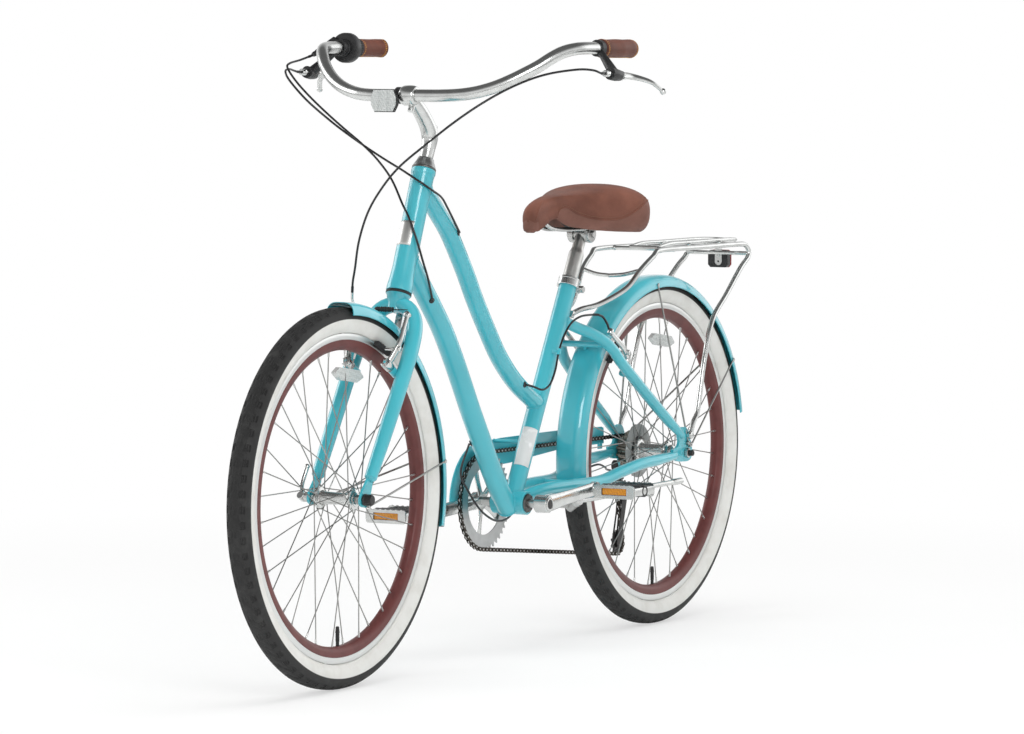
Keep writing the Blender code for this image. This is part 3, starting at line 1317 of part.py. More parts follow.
# Drive
def crank_arm(side):
    """Boss, tapered arm and pedal axle on one side."""
    eye_x, eye_z = PEDAL_EYE
    if side == -1:
        eye_x = 2 * BOTTOM_BRACKET.x - eye_x
        eye_z = 2 * BOTTOM_BRACKET.z - eye_z
    x, z = BOTTOM_BRACKET.x, BOTTOM_BRACKET.z
    inner = 0.0545 if side == 1 else 0.0600
    start = Vector((x, side * 0.0728, z))
    end = Vector((eye_x, side * 0.0808, eye_z))
    along = end - start
    matrix = axes((start + end) / 2, along, SIDEWAYS)
    shape = bmesh.new()
    bmesh.ops.create_cone(shape, cap_ends=True, segments=8, radius1=0.0165, radius2=0.0130,
                          depth=along.length, matrix=Matrix.Rotation(math.pi / 8, 4, "Z"))
    bmesh.ops.scale(shape, vec=(0.38, 1.0, 1.0), verts=shape.verts)
    return [
        side_rod(x, z, side * inner, side * CRANK_FACE, BOSS_RADIUS, sides=16),
        from_shape(shape, matrix),
        side_rod(eye_x, eye_z, side * 0.0745, side * 0.0875, 0.0130, sides=14),
        side_rod(eye_x, eye_z, side * 0.0850, side * (PEDAL_OUTER - 0.003), PEDAL_AXLE, sides=10),
    ]


def spindle_hole():
    x, z = BOTTOM_BRACKET.x, BOTTOM_BRACKET.z
    return side_rod(x, z, -0.2, 0.2, SPINDLE_RADIUS + GAP, sides=16)


def cranks():
    x, z = BOTTOM_BRACKET.x, BOTTOM_BRACKET.z
    spindle = side_rod(x, z, -0.0740, 0.0740, SPINDLE_RADIUS, sides=16)
    node("crank_spindle", STEEL, [spindle], pivot=BOTTOM_BRACKET, parent=CRANKS)
    node("crank_left", SILVER, crank_arm(1), [spindle_hole()], pivot=BOTTOM_BRACKET, parent=CRANKS)
    pieces = crank_arm(-1)
    spider = -0.0615
    for arm in range(5):
        turn = math.radians(-5.2 + 72 * arm)
        reach = Vector((math.cos(turn), 0, math.sin(turn)))
        end = BOTTOM_BRACKET + reach * 0.0690
        matrix = axes((0, 0, 0), reach, SIDEWAYS)
        pieces.append(block(BOTTOM_BRACKET.lerp(end, 0.5) + SIDEWAYS * spider, (0.0050, 0.0120, 0.0700), matrix))
        pieces.append(side_rod(end.x, end.z, CHAINRING_SIDE - 0.0009 - GAP, spider - 0.004, 0.0055, sides=6))
    node("crank_right", SILVER, pieces, [spindle_hole()], pivot=BOTTOM_BRACKET, parent=CRANKS)
    radius = pitch_radius(CHAINRING_TEETH)
    outlines = [gear(x, z, CHAINRING_TEETH, radius - 0.0040, radius + 0.0030),
                circle(x, z, 0.0620, sides=28)]
    ring = side_plate(outlines, CHAINRING_SIDE, 0.0018)
    node("chainring", SILVER, [ring], pivot=BOTTOM_BRACKET, parent=CRANKS)


def pedal(name, side):
    eye_x, eye_z = PEDAL_EYE
    if side == -1:
        eye_x = 2 * BOTTOM_BRACKET.x - eye_x
        eye_z = 2 * BOTTOM_BRACKET.z - eye_z
    inner, outer = side * PEDAL_INNER, side * PEDAL_OUTER
    middle = (inner + outer) / 2
    width = PEDAL_OUTER - PEDAL_INNER
    pieces = [side_rod(eye_x, eye_z, inner, outer, 0.0110, sides=12)]
    for end in (-1, 1):
        x = eye_x + end * (PEDAL_HALF_LENGTH - 0.003)
        pieces.append(block((x, middle, eye_z), (0.006, width - 0.006, 0.0260)))
        y = middle + end * (width / 2 - 0.0035)
        pieces.append(block((eye_x, y, eye_z), (2 * PEDAL_HALF_LENGTH - 0.010, 0.005, 0.0150)))
    hole = [side_rod(eye_x, eye_z, side * 0.05, side * (PEDAL_OUTER - 0.002), PEDAL_AXLE + GAP, sides=12)]
    pivot = Vector((eye_x, middle, eye_z))
    node("pedal_" + name, SILVER, pieces, hole, pivot=pivot, parent=CRANKS)


GUIDE_PULLEY = Vector((-0.5690, CASSETTE_SIDE, 0.2500))
TENSION_PULLEY = Vector((-0.5470, CASSETTE_SIDE, 0.1550))


def chain_circles():
    """The round pieces that the chain runs over, with the way it turns on each."""
    guide, tension = at(*GUIDE_PULLEY), at(*TENSION_PULLEY)
    return (
        (BOTTOM_BRACKET, pitch_radius(CHAINRING_TEETH), 1),
        (REAR_AXLE, pitch_radius(SPROCKETS[0]), 1),
        (guide, pitch_radius(PULLEY_TEETH), -1),
        (tension, pitch_radius(PULLEY_TEETH), 1),
    )


def belt_outline(offset):
    """The chain's closed path in the XZ plane, moved outwards by the offset."""
    rounds = [(Vector((c.x, c.z)), r + turn * offset, turn) for c, r, turn in chain_circles()]
    leaves, meets = [], []
    count = len(rounds)
    for i in range(count):
        (a, ra, ta), (b, rb, tb) = rounds[i], rounds[(i + 1) % count]
        between = b - a
        swing = math.acos((tb * rb - ta * ra) / between.length)
        turn = math.atan2(between.y, between.x) + swing
        normal = Vector((math.cos(turn), math.sin(turn)))
        leaves.append(a - normal * ta * ra)
        meets.append(b - normal * tb * rb)
    outline = []
    for i in range(count):
        centre, radius, turn = rounds[i]
        first = meets[i - 1] - centre
        last = leaves[i] - centre
        a0 = math.atan2(first.y, first.x)
        sweep = (turn * (math.atan2(last.y, last.x) - a0)) % math.tau
        steps = max(3, round(sweep / math.radians(13 if radius > 0.05 else 26)))
        for step in range(steps + 1):
            angle = a0 + turn * sweep * step / steps
            outline.append((centre.x + radius * math.cos(angle), centre.y + radius * math.sin(angle)))
    return outline, leaves, meets


def chain():
    """Two plate loops joined by webs on the straight runs, clear of every tooth."""
    outer, leaves, meets = belt_outline(PLATE_HALF_HEIGHT)
    inner, _, _ = belt_outline(-PLATE_HALF_HEIGHT)
    _, leaves, meets = belt_outline(0)
    pieces = [side_plate([outer, inner], y, 0.0012) for y in (0.0025, -0.0025)]
    for i, near, far in ((0, 0.036, 0.022), (3, 0.024, 0.036)):
        start, end = leaves[i], meets[i]
        along = (end - start).normalized()
        a, b = start + along * near, end - along * far
        middle = (a + b) / 2
        turn = Matrix.Rotation(-math.atan2(along.y, along.x), 4, "Y")
        pieces.append(block((middle.x, 0, middle.y), ((b - a).length, 0.0040, 0.0032), turn))
    obj = node("chain", CHAIN_BROWN, pieces)
    front, rear = BOTTOM_BRACKET.x - 0.06, REAR_AXLE.x + 0.06
    for vertex in obj.data.vertices:
        share = min(1.0, max(0.0, (front - vertex.co.x) / (front - rear)))
        vertex.co.y += CHAINRING_SIDE + (CASSETTE_SIDE - CHAINRING_SIDE) * share


def chain_guard():
    """Flat guard outside the chain: round the chainring's front, then back above the chain."""
    x, z = BOTTOM_BRACKET.x, BOTTOM_BRACKET.z
    outer = [(x + GUARD_RADIUS * math.cos(math.radians(a)), z + GUARD_RADIUS * math.sin(math.radians(a)))
             for a in range(3, 97, 9)]
    inner_radius = GUARD_RADIUS - 0.034
    inner = [(x + inner_radius * math.cos(math.radians(a)), z + inner_radius * math.sin(math.radians(a)))
             for a in range(100, 2, -12)]
    rear = ORIGIN_X
    back = [(-0.1079 + rear, 0.3850), (-0.3349 + rear, 0.3842), (-0.4950 + rear, 0.3800),
            (-0.5050 + rear, 0.3740), (-0.5050 + rear, 0.3480), (-0.3349 + rear, 0.3490),
            (-0.1400 + rear, 0.3370), (-0.0800 + rear, 0.3360)]
    pieces = [side_plate([outer + back + inner], GUARD_SIDE, 0.0016)]
    tab = seat(0.1200)
    reach = -SEAT_TUBE_RADIUS - GAP
    pieces.append(side_rod(tab.x, tab.z + 0.001, reach, GUARD_SIDE, 0.0035, sides=8))
    lower = at(-0.4880, 0, 0.3450)
    pieces.append(block((lower.x, GUARD_SIDE + 0.0015, lower.z - 0.0003), (0.014, 0.0036, 0.0120)))
    node("chain_guard", TURQUOISE, pieces)


def toothed_pulley(name, centre):
    radius = pitch_radius(PULLEY_TEETH)
    outline = gear(centre.x, centre.z, PULLEY_TEETH, radius - 0.0035, radius + 0.0012)
    hole = circle(centre.x, centre.z, 0.0030, sides=10)
    node(name, BLACK, [side_plate([outline, hole], centre.y, 0.0026)], pivot=centre)


def derailleur():
    guide, tension = at(*GUIDE_PULLEY), at(*TENSION_PULLEY)
    toothed_pulley("guide_pulley", guide)
    toothed_pulley("tension_pulley", tension)
    pieces = []
    down = (tension - guide).normalized()
    across = Vector((-down.z, 0, down.x))
    reach, wide = 0.0110, 0.0105
    corners = (
        guide - down * reach - across * wide * 0.7, guide - down * reach + across * wide * 0.7,
        guide + across * wide, tension + across * wide, tension + down * reach + across * wide * 0.6,
        tension + down * reach - across * wide * 0.6, tension - across * wide, guide - across * wide,
    )
    outline = [(c.x, c.z) for c in corners]
    for offset in (0.00555, -0.00555):
        pieces.append(side_plate([outline], CASSETTE_SIDE + offset, 0.0015))
    for pulley in (guide, tension):
        pieces.append(side_rod(pulley.x, pulley.z, CASSETTE_SIDE - 0.0062, CASSETTE_SIDE + 0.0062, 0.0025, sides=8))
    node("derailleur_cage", BLACK, pieces)
    bolt = REAR_AXLE + Vector((-0.008, 0, -0.032))
    outer = -(REAR_HALF_WIDTH + DROPOUT_THICKNESS + GAP)
    knuckle = CASSETTE_SIDE - 0.0063 - GAP
    arm = (guide.z + bolt.z) / 2
    pieces = [
        side_rod(bolt.x, bolt.z, outer, -0.0900, 0.0110, sides=12),
        side_rod(guide.x, guide.z, knuckle, -0.0860, 0.0120, sides=12),
        rod((bolt.x, -0.0835, bolt.z), (guide.x, -0.0790, guide.z), 0.0085, 0.0100, sides=8),
        rod((guide.x + 0.004, -0.0790, arm), (guide.x + 0.026, -0.0860, arm - 0.010), 0.0045, sides=8),
    ]
    node("derailleur_body", BLACK, pieces)


# Kickstand
STAND_PLATE = 0.005
STAND_PIVOT = Vector((-0.2100, 0.034, 0.2620))
STAND_ELBOW = Vector((-0.1560, 0.053, 0.0175))
STAND_TIP = Vector((-0.2920, 0.066, 0.0215))
STAND_AXIS = Vector((0.22308, 0.81052, 0.54157)).normalized()
STAND_PIN = 0.0042


def stay_centre(share, side=1):
    """A point on the chain stay's centre line."""
    shares = [step[0] for step in CHAIN_STAY_COURSE]
    index = max(i for i in range(len(shares) - 1) if shares[i] <= share)
    points = bowed(BOTTOM_BRACKET, CHAIN_STAY_END, CHAIN_STAY_COURSE)
    span = shares[index + 1] - shares[index]
    return sided(points[index].lerp(points[index + 1], (share - shares[index]) / span), side)


def under_stay(share):
    """The shift cable's place below the right chain stay."""
    return stay_centre(share, -1) - Vector((0, 0, CHAIN_STAY_RADIUS + CABLE_RADIUS + 0.0024))


def stand_plate_place():
    """Middle of the kickstand's plate, which lies against the undersides of both stays."""
    x = at(*STAND_PIVOT).x + 0.005
    share = (BOTTOM_BRACKET.x - x) / (BOTTOM_BRACKET.x - CHAIN_STAY_END.x)
    low = stay_centre(share - 0.024).z - CHAIN_STAY_RADIUS
    return Vector((x, 0, low - GAP - STAND_PLATE / 2))


def kickstand():
    place = at(*STAND_PIVOT)
    top = stand_plate_place()
    pieces = [
        block(top, (0.026, 0.112, STAND_PLATE)),
        block((place.x, place.y - 0.0190, (top.z + place.z) / 2 - 0.005), (0.020, 0.016, top.z - place.z + 0.010)),
        rod(place - STAND_AXIS * 0.0190, place - STAND_AXIS * (0.0004 + GAP), 0.0095, sides=12),
        rod(place - STAND_AXIS * 0.0100, place + STAND_AXIS * 0.0100, STAND_PIN, sides=8),
    ]
    node("kickstand_bracket", SILVER, pieces)
    start = place + STAND_AXIS * 0.0056
    course = smooth_route([start, place + STAND_ELBOW * 0.4, place + STAND_ELBOW, place + STAND_TIP], 0.042)
    leg = [
        rod(place - STAND_AXIS * 0.0004, place + STAND_AXIS * 0.0110, 0.0100, sides=12),
        tube(course, 0.0048, sides=6),
        ball(place + STAND_TIP, 0.0062),
    ]
    bore = (STAND_PIN + GAP) / math.cos(math.pi / 8)
    hole = [rod(place - STAND_AXIS * 0.03, place + STAND_AXIS * 0.03, bore, sides=8)]
    node("kickstand_leg", SILVER, leg, hole, pivot=place)


# Cables
FRONT_BRAKE_ROUTE = (
    (0.2224, 0.3090, 1.0672), (0.2476, 0.2900, 1.0684), (0.2976, 0.2550, 1.0598),
    (0.3497, 0.2250, 1.0414), (0.3932, 0.1900, 1.0141), (0.4276, 0.1500, 0.9795),
    (0.4537, 0.1050, 0.9387), (0.4629, 0.0600, 0.9021), (0.4621, 0.0250, 0.8665),
    (0.4600, -0.0060, 0.8230), (0.4522, -0.0300, 0.7713), (0.4400, -0.0460, 0.7216),
    (0.4310, -0.0560, 0.6980),
)
SHIFT_FRONT_ROUTE = (
    (0.2134, -0.3000, 1.0833), (0.2600, -0.2930, 1.0775), (0.2790, -0.2855, 1.0690),
    (0.2775, -0.2665, 1.0435), (0.2770, -0.2350, 1.0140), (0.2762, -0.1975, 0.9835),
    (0.2790, -0.1650, 0.9606), (0.2846, -0.1260, 0.9350), (0.2981, -0.0851, 0.9071),
    (0.3195, -0.0432, 0.8733), (0.3330, -0.0130, 0.8307), (0.3430, 0.0040, 0.8119),
    (0.3465, 0.0175, 0.7859), (0.3412, 0.0248, 0.7578), (0.3280, 0.0262, 0.7292),
    (0.3110, 0.0262, 0.6990),
)
REAR_BRAKE_FRONT_ROUTE = (
    (0.2200, -0.3120, 1.0650), (0.2439, -0.3040, 1.0669), (0.2720, -0.2945, 1.0635),
    (0.2905, -0.2745, 1.0475), (0.2893, -0.2400, 1.0131), (0.2712, -0.2067, 0.9797),
    (0.2700, -0.1700, 0.9550), (0.2770, -0.1230, 0.9298), (0.2915, -0.0742, 0.9082),
    (0.3060, -0.0330, 0.8920), (0.3145, -0.0080, 0.8813), (0.3150, 0.0140, 0.8694),
    (0.2950, 0.0255, 0.8550), (0.2660, 0.0270, 0.8420), (0.2400, 0.0245, 0.8220),
)
REAR_BRAKE_REAR_ROUTE = (
    (-0.0640, 0.0290, 0.4860), (-0.0830, 0.0360, 0.4800), (-0.1100, 0.0360, 0.4880),
    (-0.1370, 0.0320, 0.5120), (-0.1550, 0.0290, 0.5440), (-0.1740, 0.0290, 0.5720),
    (-0.2010, 0.0300, 0.5960), (-0.2320, 0.0330, 0.6070), (-0.2680, 0.0360, 0.6085),
)
SHIFT_LOOP_ROUTE = (
    (0.1120, -0.0240, 0.3400), (0.0950, -0.0180, 0.3050), (0.0700, -0.0100, 0.2720),
    (0.0400, -0.0060, 0.2530), (0.0050, -0.0080, 0.2440), (-0.0400, -0.0150, 0.2440),
    (-0.0900, -0.0260, 0.2560), (-0.1300, -0.0350, 0.2670),
)
DERAILLEUR_LOOP = (
    (-0.5350, -0.0810, 0.2990), (-0.5680, -0.0960, 0.2920), (-0.6020, -0.0985, 0.2850),
    (-0.6230, -0.0945, 0.2700), (-0.6220, -0.0880, 0.2540), (-0.6050, -0.0820, 0.2480),
)


def beside_tube(start, end, course, radius, share, turn):
    """A cable's place against a bowed tube; turn is counted from the left side upwards."""
    shares = [step[0] for step in course]
    index = max(i for i in range(len(shares) - 1) if shares[i] <= share)
    points = bowed(start, end, [(s, b, 0) for s, b, _ in course])
    a, b = points[index], points[index + 1]
    centre = a.lerp(b, (share - shares[index]) / (shares[index + 1] - shares[index]))
    along = (b - a).normalized()
    upward = Vector((along.z, 0, -along.x))
    reach = radius + CABLE_RADIUS + GAP
    return centre + (SIDEWAYS * math.cos(turn) + upward * math.sin(turn)) * reach


def cable(name, points, parent=None, tail=()):
    route = smooth_route(points, CABLE_SPACING) + [Vector(p) for p in tail]
    node(name, BLACK, [tube(route, CABLE_RADIUS, sides=8)], parent=parent)


def lever_mouth(side):
    """The open end of a lever's barrel adjuster."""
    return lever_point(side, LEVER_BARREL) + Vector((0.006 + 2 * GAP, 0, 0))


def cables():
    ahead = Vector((0.014, 0, 0.001))
    start = lever_mouth(1)
    arm = arm_top(front_pin(1), FRONT_BRAKE_OUT, FRONT_ARM_UP, -1)
    seat_on = arm + Vector((0, 0, 0.0062 + CABLE_RADIUS))
    noodle = [seat_on + Vector(p) for p in (
        (0.0030, -0.0130, 0.0280), (0.0010, -0.0140, 0.0140), (0, -0.0090, 0.0035),
        (0, 0.0000, 0.0005), (0, 0.0090, 0),
    )]
    cable("front_brake_cable", [start, start + ahead] + [at(*p) for p in FRONT_BRAKE_ROUTE],
          STEERING, noodle)
    start = shifter_mouth()
    port = beside_tube(DOWN_JOINT, BOTTOM_BRACKET, DOWN_TUBE_COURSE, DOWN_TUBE_RADIUS, 0.165,
                       math.radians(-32))
    cable("shift_cable_front", [start] + [at(*p) for p in SHIFT_FRONT_ROUTE] + [port])
    start = lever_mouth(-1)
    port = beside_tube(HEAD_JOINT, SEAT_JOINT, TOP_TUBE_COURSE, TOP_TUBE_RADIUS, 0.229,
                       math.radians(20))
    cable("rear_brake_cable_front",
          [start, start + ahead] + [at(*p) for p in REAR_BRAKE_FRONT_ROUTE] + [port])
    port = beside_tube(HEAD_JOINT, SEAT_JOINT, TOP_TUBE_COURSE, TOP_TUBE_RADIUS, 0.860,
                       math.radians(0))
    arm = arm_top(sided(REAR_POST_FOOT, 1), REAR_BRAKE_OUT, REAR_ARM_UP, 1)
    seat_on = arm + REAR_ARM_UP * (0.0005 + CABLE_RADIUS) + REAR_BRAKE_OUT * 0.002
    noodle = [seat_on + Vector(p) for p in (
        (0.0320, -0.0080, 0.0300), (0.0170, -0.0060, 0.0250), (0.0060, -0.0030, 0.0120),
        (0.0010, -0.0020, 0.0020),
    )]
    cable("rear_brake_cable_rear", [port] + [at(*p) for p in REAR_BRAKE_REAR_ROUTE],
          tail=noodle)
    port = beside_tube(DOWN_JOINT, BOTTOM_BRACKET, DOWN_TUBE_COURSE, DOWN_TUBE_RADIUS, 0.720,
                       math.radians(218))
    plate_low = stand_plate_place() - Vector((0, 0.0450, STAND_PLATE / 2 + CABLE_RADIUS + 0.0007))
    under = [plate_low + Vector((0.032, 0.004, -0.0015)), plate_low,
             plate_low + Vector((-0.030, -0.003, 0.0005))]
    under += [under_stay(share) for share in (0.52, 0.62, 0.72, 0.82, 0.90)]
    entry = at(GUIDE_PULLEY.x, 0, GUIDE_PULLEY.z)
    last = Vector((entry.x - 0.0120 - GAP, -0.0800, entry.z - 0.001))
    loop = [at(*p) for p in DERAILLEUR_LOOP] + [last]
    cable("shift_cable_loop", [port] + [at(*p) for p in SHIFT_LOOP_ROUTE] + under + loop)


main_frame()
head_badge()
bottom_bracket()
seat_clamp()
rear_fender()
rack()
rear_reflector()
chain_guard()
kickstand()
derailleur()
rear_axle()
seat_post()
saddle_clamp()
saddle()
fork()
headset_cover()
stem()
handlebar()
grips()
shifter()
for side_name, side_sign in SIDES:
    brake_lever(side_name, side_sign)
    pedal(side_name, side_sign)
front_reflector()
front_fender()
front_brake()
front_skewer()
tyre("front_tyre", FRONT_AXLE, FRONT_WHEEL)
rim("front_rim", FRONT_AXLE, FRONT_WHEEL)
front_hub()
tyre("rear_tyre", REAR_AXLE, REAR_WHEEL)
rim("rear_rim", REAR_AXLE, REAR_WHEEL)
rear_hub()
freewheel()
cranks()
chain()
rear_brake()
cables()
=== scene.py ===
# %% [markdown]
# # A step-through bicycle, dressed piece by piece
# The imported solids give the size, the place and the motion of every piece. This lesson gives them
# their looks: round tubes, spoked wheels, a leather saddle and polished metal. Every new piece rides
# on the body that carries it, so the bicycle still steers, rolls and brakes.

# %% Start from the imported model
import json
from math import acos, asin, atan2, copysign, cos, exp, hypot, pi, radians, sin, sqrt, tau

import bmesh
import bpy
from mathutils import Matrix, Vector


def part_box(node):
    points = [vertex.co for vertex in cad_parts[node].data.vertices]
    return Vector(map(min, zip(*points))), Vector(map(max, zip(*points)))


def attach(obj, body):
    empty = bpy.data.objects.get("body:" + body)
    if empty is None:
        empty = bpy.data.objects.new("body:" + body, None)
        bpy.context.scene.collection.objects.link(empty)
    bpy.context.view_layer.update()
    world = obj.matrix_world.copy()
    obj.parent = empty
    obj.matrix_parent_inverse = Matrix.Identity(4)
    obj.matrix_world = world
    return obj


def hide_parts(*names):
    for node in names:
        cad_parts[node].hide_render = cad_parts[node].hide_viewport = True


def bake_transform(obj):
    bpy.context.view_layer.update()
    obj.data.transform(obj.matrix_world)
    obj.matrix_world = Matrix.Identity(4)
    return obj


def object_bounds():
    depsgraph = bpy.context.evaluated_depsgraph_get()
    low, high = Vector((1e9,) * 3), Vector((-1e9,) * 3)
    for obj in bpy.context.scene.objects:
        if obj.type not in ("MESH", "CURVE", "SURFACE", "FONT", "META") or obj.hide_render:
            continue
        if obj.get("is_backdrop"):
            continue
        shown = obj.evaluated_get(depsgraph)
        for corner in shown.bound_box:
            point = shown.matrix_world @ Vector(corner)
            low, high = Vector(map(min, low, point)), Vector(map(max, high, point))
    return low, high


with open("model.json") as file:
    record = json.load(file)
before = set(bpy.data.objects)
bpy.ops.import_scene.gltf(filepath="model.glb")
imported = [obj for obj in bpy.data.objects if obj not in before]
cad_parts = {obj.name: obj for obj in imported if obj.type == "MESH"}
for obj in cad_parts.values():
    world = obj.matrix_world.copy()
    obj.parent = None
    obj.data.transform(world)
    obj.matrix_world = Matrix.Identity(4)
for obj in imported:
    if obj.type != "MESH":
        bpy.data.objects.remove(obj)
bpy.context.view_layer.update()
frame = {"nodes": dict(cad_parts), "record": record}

# %% [markdown]
# ## The plan of the bicycle
# A frame builder draws a bicycle from a few lines: the wheelbase, the two axles, the steering axis
# and the seat tube. The same lines are set down here once, in metres, with X forward, Y to the
# rider's left and Z up, and every piece is placed from them.

# %% Axles and centre lines
def vec(*parts):
    return Vector(parts)


MIDDLE = 0.00178
AXLE_HEIGHT = 0.33058
FRONT_AXLE = vec(0.5755 + MIDDLE, 0, AXLE_HEIGHT)
REAR_AXLE = vec(-0.5755 + MIDDLE, 0, AXLE_HEIGHT)
CRANK_AXLE = vec(-0.02848, 0, 0.27558)
HEAD_ANGLE = radians(68)
HEAD_UP = Vector((-cos(HEAD_ANGLE), 0, sin(HEAD_ANGLE)))
HEAD_FORWARD = Vector((sin(HEAD_ANGLE), 0, cos(HEAD_ANGLE)))
STEER_FOOT = FRONT_AXLE - 0.0626 * HEAD_FORWARD
SEAT_ANGLE = radians(61.3)
SEAT_UP = Vector((-cos(SEAT_ANGLE), 0, sin(SEAT_ANGLE)))
SEAT_BACK = Vector((-sin(SEAT_ANGLE), 0, -cos(SEAT_ANGLE)))
LEFT = vec(0, 1, 0)
SIDES = (("left", 1), ("right", -1))
HEAD_LOW, HEAD_HIGH = 0.4, 0.629


def at(x, y, z):
    """A point measured from the middle of the wheelbase."""
    return vec(x + MIDDLE, y, z)


def steer(along, forward=0.0, side=0.0):
    """Up the steering axis from its foot, ahead of it, to the left."""
    return STEER_FOOT + HEAD_UP * along + HEAD_FORWARD * forward + LEFT * side


def seat(along, back=0.0):
    """Up the seat tube from the crank axle, and behind it."""
    return CRANK_AXLE + SEAT_UP * along + SEAT_BACK * back


def round_axle(axle, radius, degrees, side=0.0):
    turn = radians(degrees)
    return axle + Vector((radius * cos(turn), side, radius * sin(turn)))


def bowed(start, end, course):
    """Points from start to end, each given as (share of the way, bow upwards, side)."""
    start, end = Vector(start), Vector(end)
    along = end - start
    upward = vec(along.z, 0, -along.x).normalized()
    return [start + along * s + upward * b + LEFT * y for s, b, y in course]


def sided(point, side):
    return vec(point[0], side * point[1], point[2])


def marks_along(points):
    """The distance of each point from the first, measured along the points."""
    marks = [0.0]
    for a, b in zip(points, points[1:]):
        marks.append(marks[-1] + (Vector(b) - Vector(a)).length)
    return marks


def even_points(line, count):
    """Evenly spaced points along a line of points."""
    marks, route, reach = marks_along(line), [], 0
    for i in range(count + 1):
        want = marks[-1] * i / count
        while reach < len(line) - 2 and marks[reach + 1] < want:
            reach += 1
        share = (want - marks[reach]) / max(marks[reach + 1] - marks[reach], 1e-9)
        route.append(line[reach].lerp(line[reach + 1], min(1.0, share)))
    return route


def soft_point(a, b, c, d, t):
    """A point between b and c on the soft curve through four points."""
    square = (2 * a - 5 * b + 4 * c - d) * t * t
    return (2 * b + (c - a) * t + square + (3 * b - a - 3 * c + d) * t ** 3) / 2


def smooth(points, spacing):
    """Evenly spaced points on a smooth curve through the given ones."""
    points = [Vector(p) for p in points]
    ends = [2 * points[0] - points[1], *points, 2 * points[-1] - points[-2]]
    fine = [soft_point(*ends[i - 1:i + 3], step / 12) for i in range(1, len(ends) - 2) for step in range(12)]
    fine.append(points[-1])
    return even_points(fine, max(2, round(marks_along(fine)[-1] / spacing)))


print("wheelbase", round((FRONT_AXLE - REAR_AXLE).length, 4), "m")

# %% [markdown]
# ## Four ways to shape metal
# Nearly all of a bicycle is drawn tube, turned rod, stamped plate or forged bar. So a circle is
# extruded along a route, a profile is spun about an axis, an outline is filled and raised, and a
# cube is bevelled. Each tool adds to a bmesh, so several can share one piece.

# %% Places and directions
def axes(centre, z_axis, x_hint=(1, 0, 0)):
    """A matrix whose Z runs along z_axis and whose X leans towards x_hint."""
    z = Vector(z_axis).normalized()
    hint = Vector(x_hint)
    if abs(z.dot(hint.normalized())) > 0.98:
        hint = vec(0, 0, 1)
    y = z.cross(hint).normalized()
    matrix = Matrix((y.cross(z), y, z)).transposed().to_4x4()
    matrix.translation = Vector(centre)
    return matrix


def turn_about(axis, degrees):
    return Matrix.Rotation(radians(degrees), 4, axis)


def across(centre):
    """Z along the axle, towards the rider's left."""
    return Matrix.Translation(centre) @ turn_about("X", -90)


def on_circle(radius, turn):
    return radius * cos(turn), radius * sin(turn)

# %% Extrude a circle along a route
def stations(points, radii):
    """A matrix for each point of a route, with Z along it, that turns as little as it can."""
    count = len(points)
    headings = []
    for i in range(count):
        headings.append((points[min(i + 1, count - 1)] - points[max(i - 1, 0)]).normalized())
    turn = headings[0].to_track_quat("Z", "Y")
    made = []
    for i, point in enumerate(points):
        if i:
            turn = headings[i - 1].rotation_difference(headings[i]) @ turn
        wide = radii[i] if isinstance(radii[i], tuple) else (radii[i], radii[i])
        size = Matrix.Diagonal((wide[0], wide[1], min(wide), 1))
        made.append(Matrix.Translation(point) @ turn.to_matrix().to_4x4() @ size)
    return made


def sweep(bm, places, segments=16, caps=True):
    """Draws a circle at the first place and extrudes it through the others."""
    circle = bmesh.ops.create_circle(bm, cap_ends=False, segments=segments, radius=1, matrix=places[0])
    ring = list({e for v in circle["verts"] for e in v.link_edges})
    ends = [ring]
    for before, after in zip(places, places[1:]):
        made = bmesh.ops.extrude_edge_only(bm, edges=ring)["geom"]
        verts = [g for g in made if isinstance(g, bmesh.types.BMVert)]
        fresh = set(verts)
        ring = [g for g in made if isinstance(g, bmesh.types.BMEdge) and set(g.verts) <= fresh]
        bmesh.ops.transform(bm, matrix=after @ before.inverted(), verts=verts)
    ends.append(ring)
    if caps:
        for edges in ends:
            bmesh.ops.contextual_create(bm, geom=edges)


def tube(bm, points, radius, segments=16, radii=None, caps=True):
    points = [Vector(p) for p in points]
    sweep(bm, stations(points, radii or [radius] * len(points)), segments, caps)


def rod(bm, start, end, radius, end_radius=None, segments=20, edge=0.0):
    """A straight round bar with its ends broken by a small chamfer."""
    start, end = Vector(start), Vector(end)
    last = radius if end_radius is None else end_radius
    if edge <= 0:
        tube(bm, [start, end], radius, segments, [radius, last])
        return
    step = (end - start).normalized() * edge
    tube(bm, [start, start + step, end - step, end], radius, segments,
         [radius - edge, radius, last, last - edge])


def side_rod(bm, centre, y0, y1, radius, end_radius=None, segments=20, edge=0.0):
    """A round bar from side to side through a centre."""
    rod(bm, (centre.x, y0, centre.z), (centre.x, y1, centre.z), radius, end_radius, segments, edge)


def flat_bar(bm, route, sizes, hint, segments):
    """A forged bar along a route, of (thickness, width) sizes, its thin side turned to the hint."""
    places = []
    for i, (spot, (thick, wide)) in enumerate(zip(route, sizes)):
        heading = route[min(i + 1, len(route) - 1)] - route[max(i - 1, 0)]
        places.append(axes(spot, heading, hint) @ Matrix.Diagonal((thick, wide, 1, 1)))
    sweep(bm, places, segments)

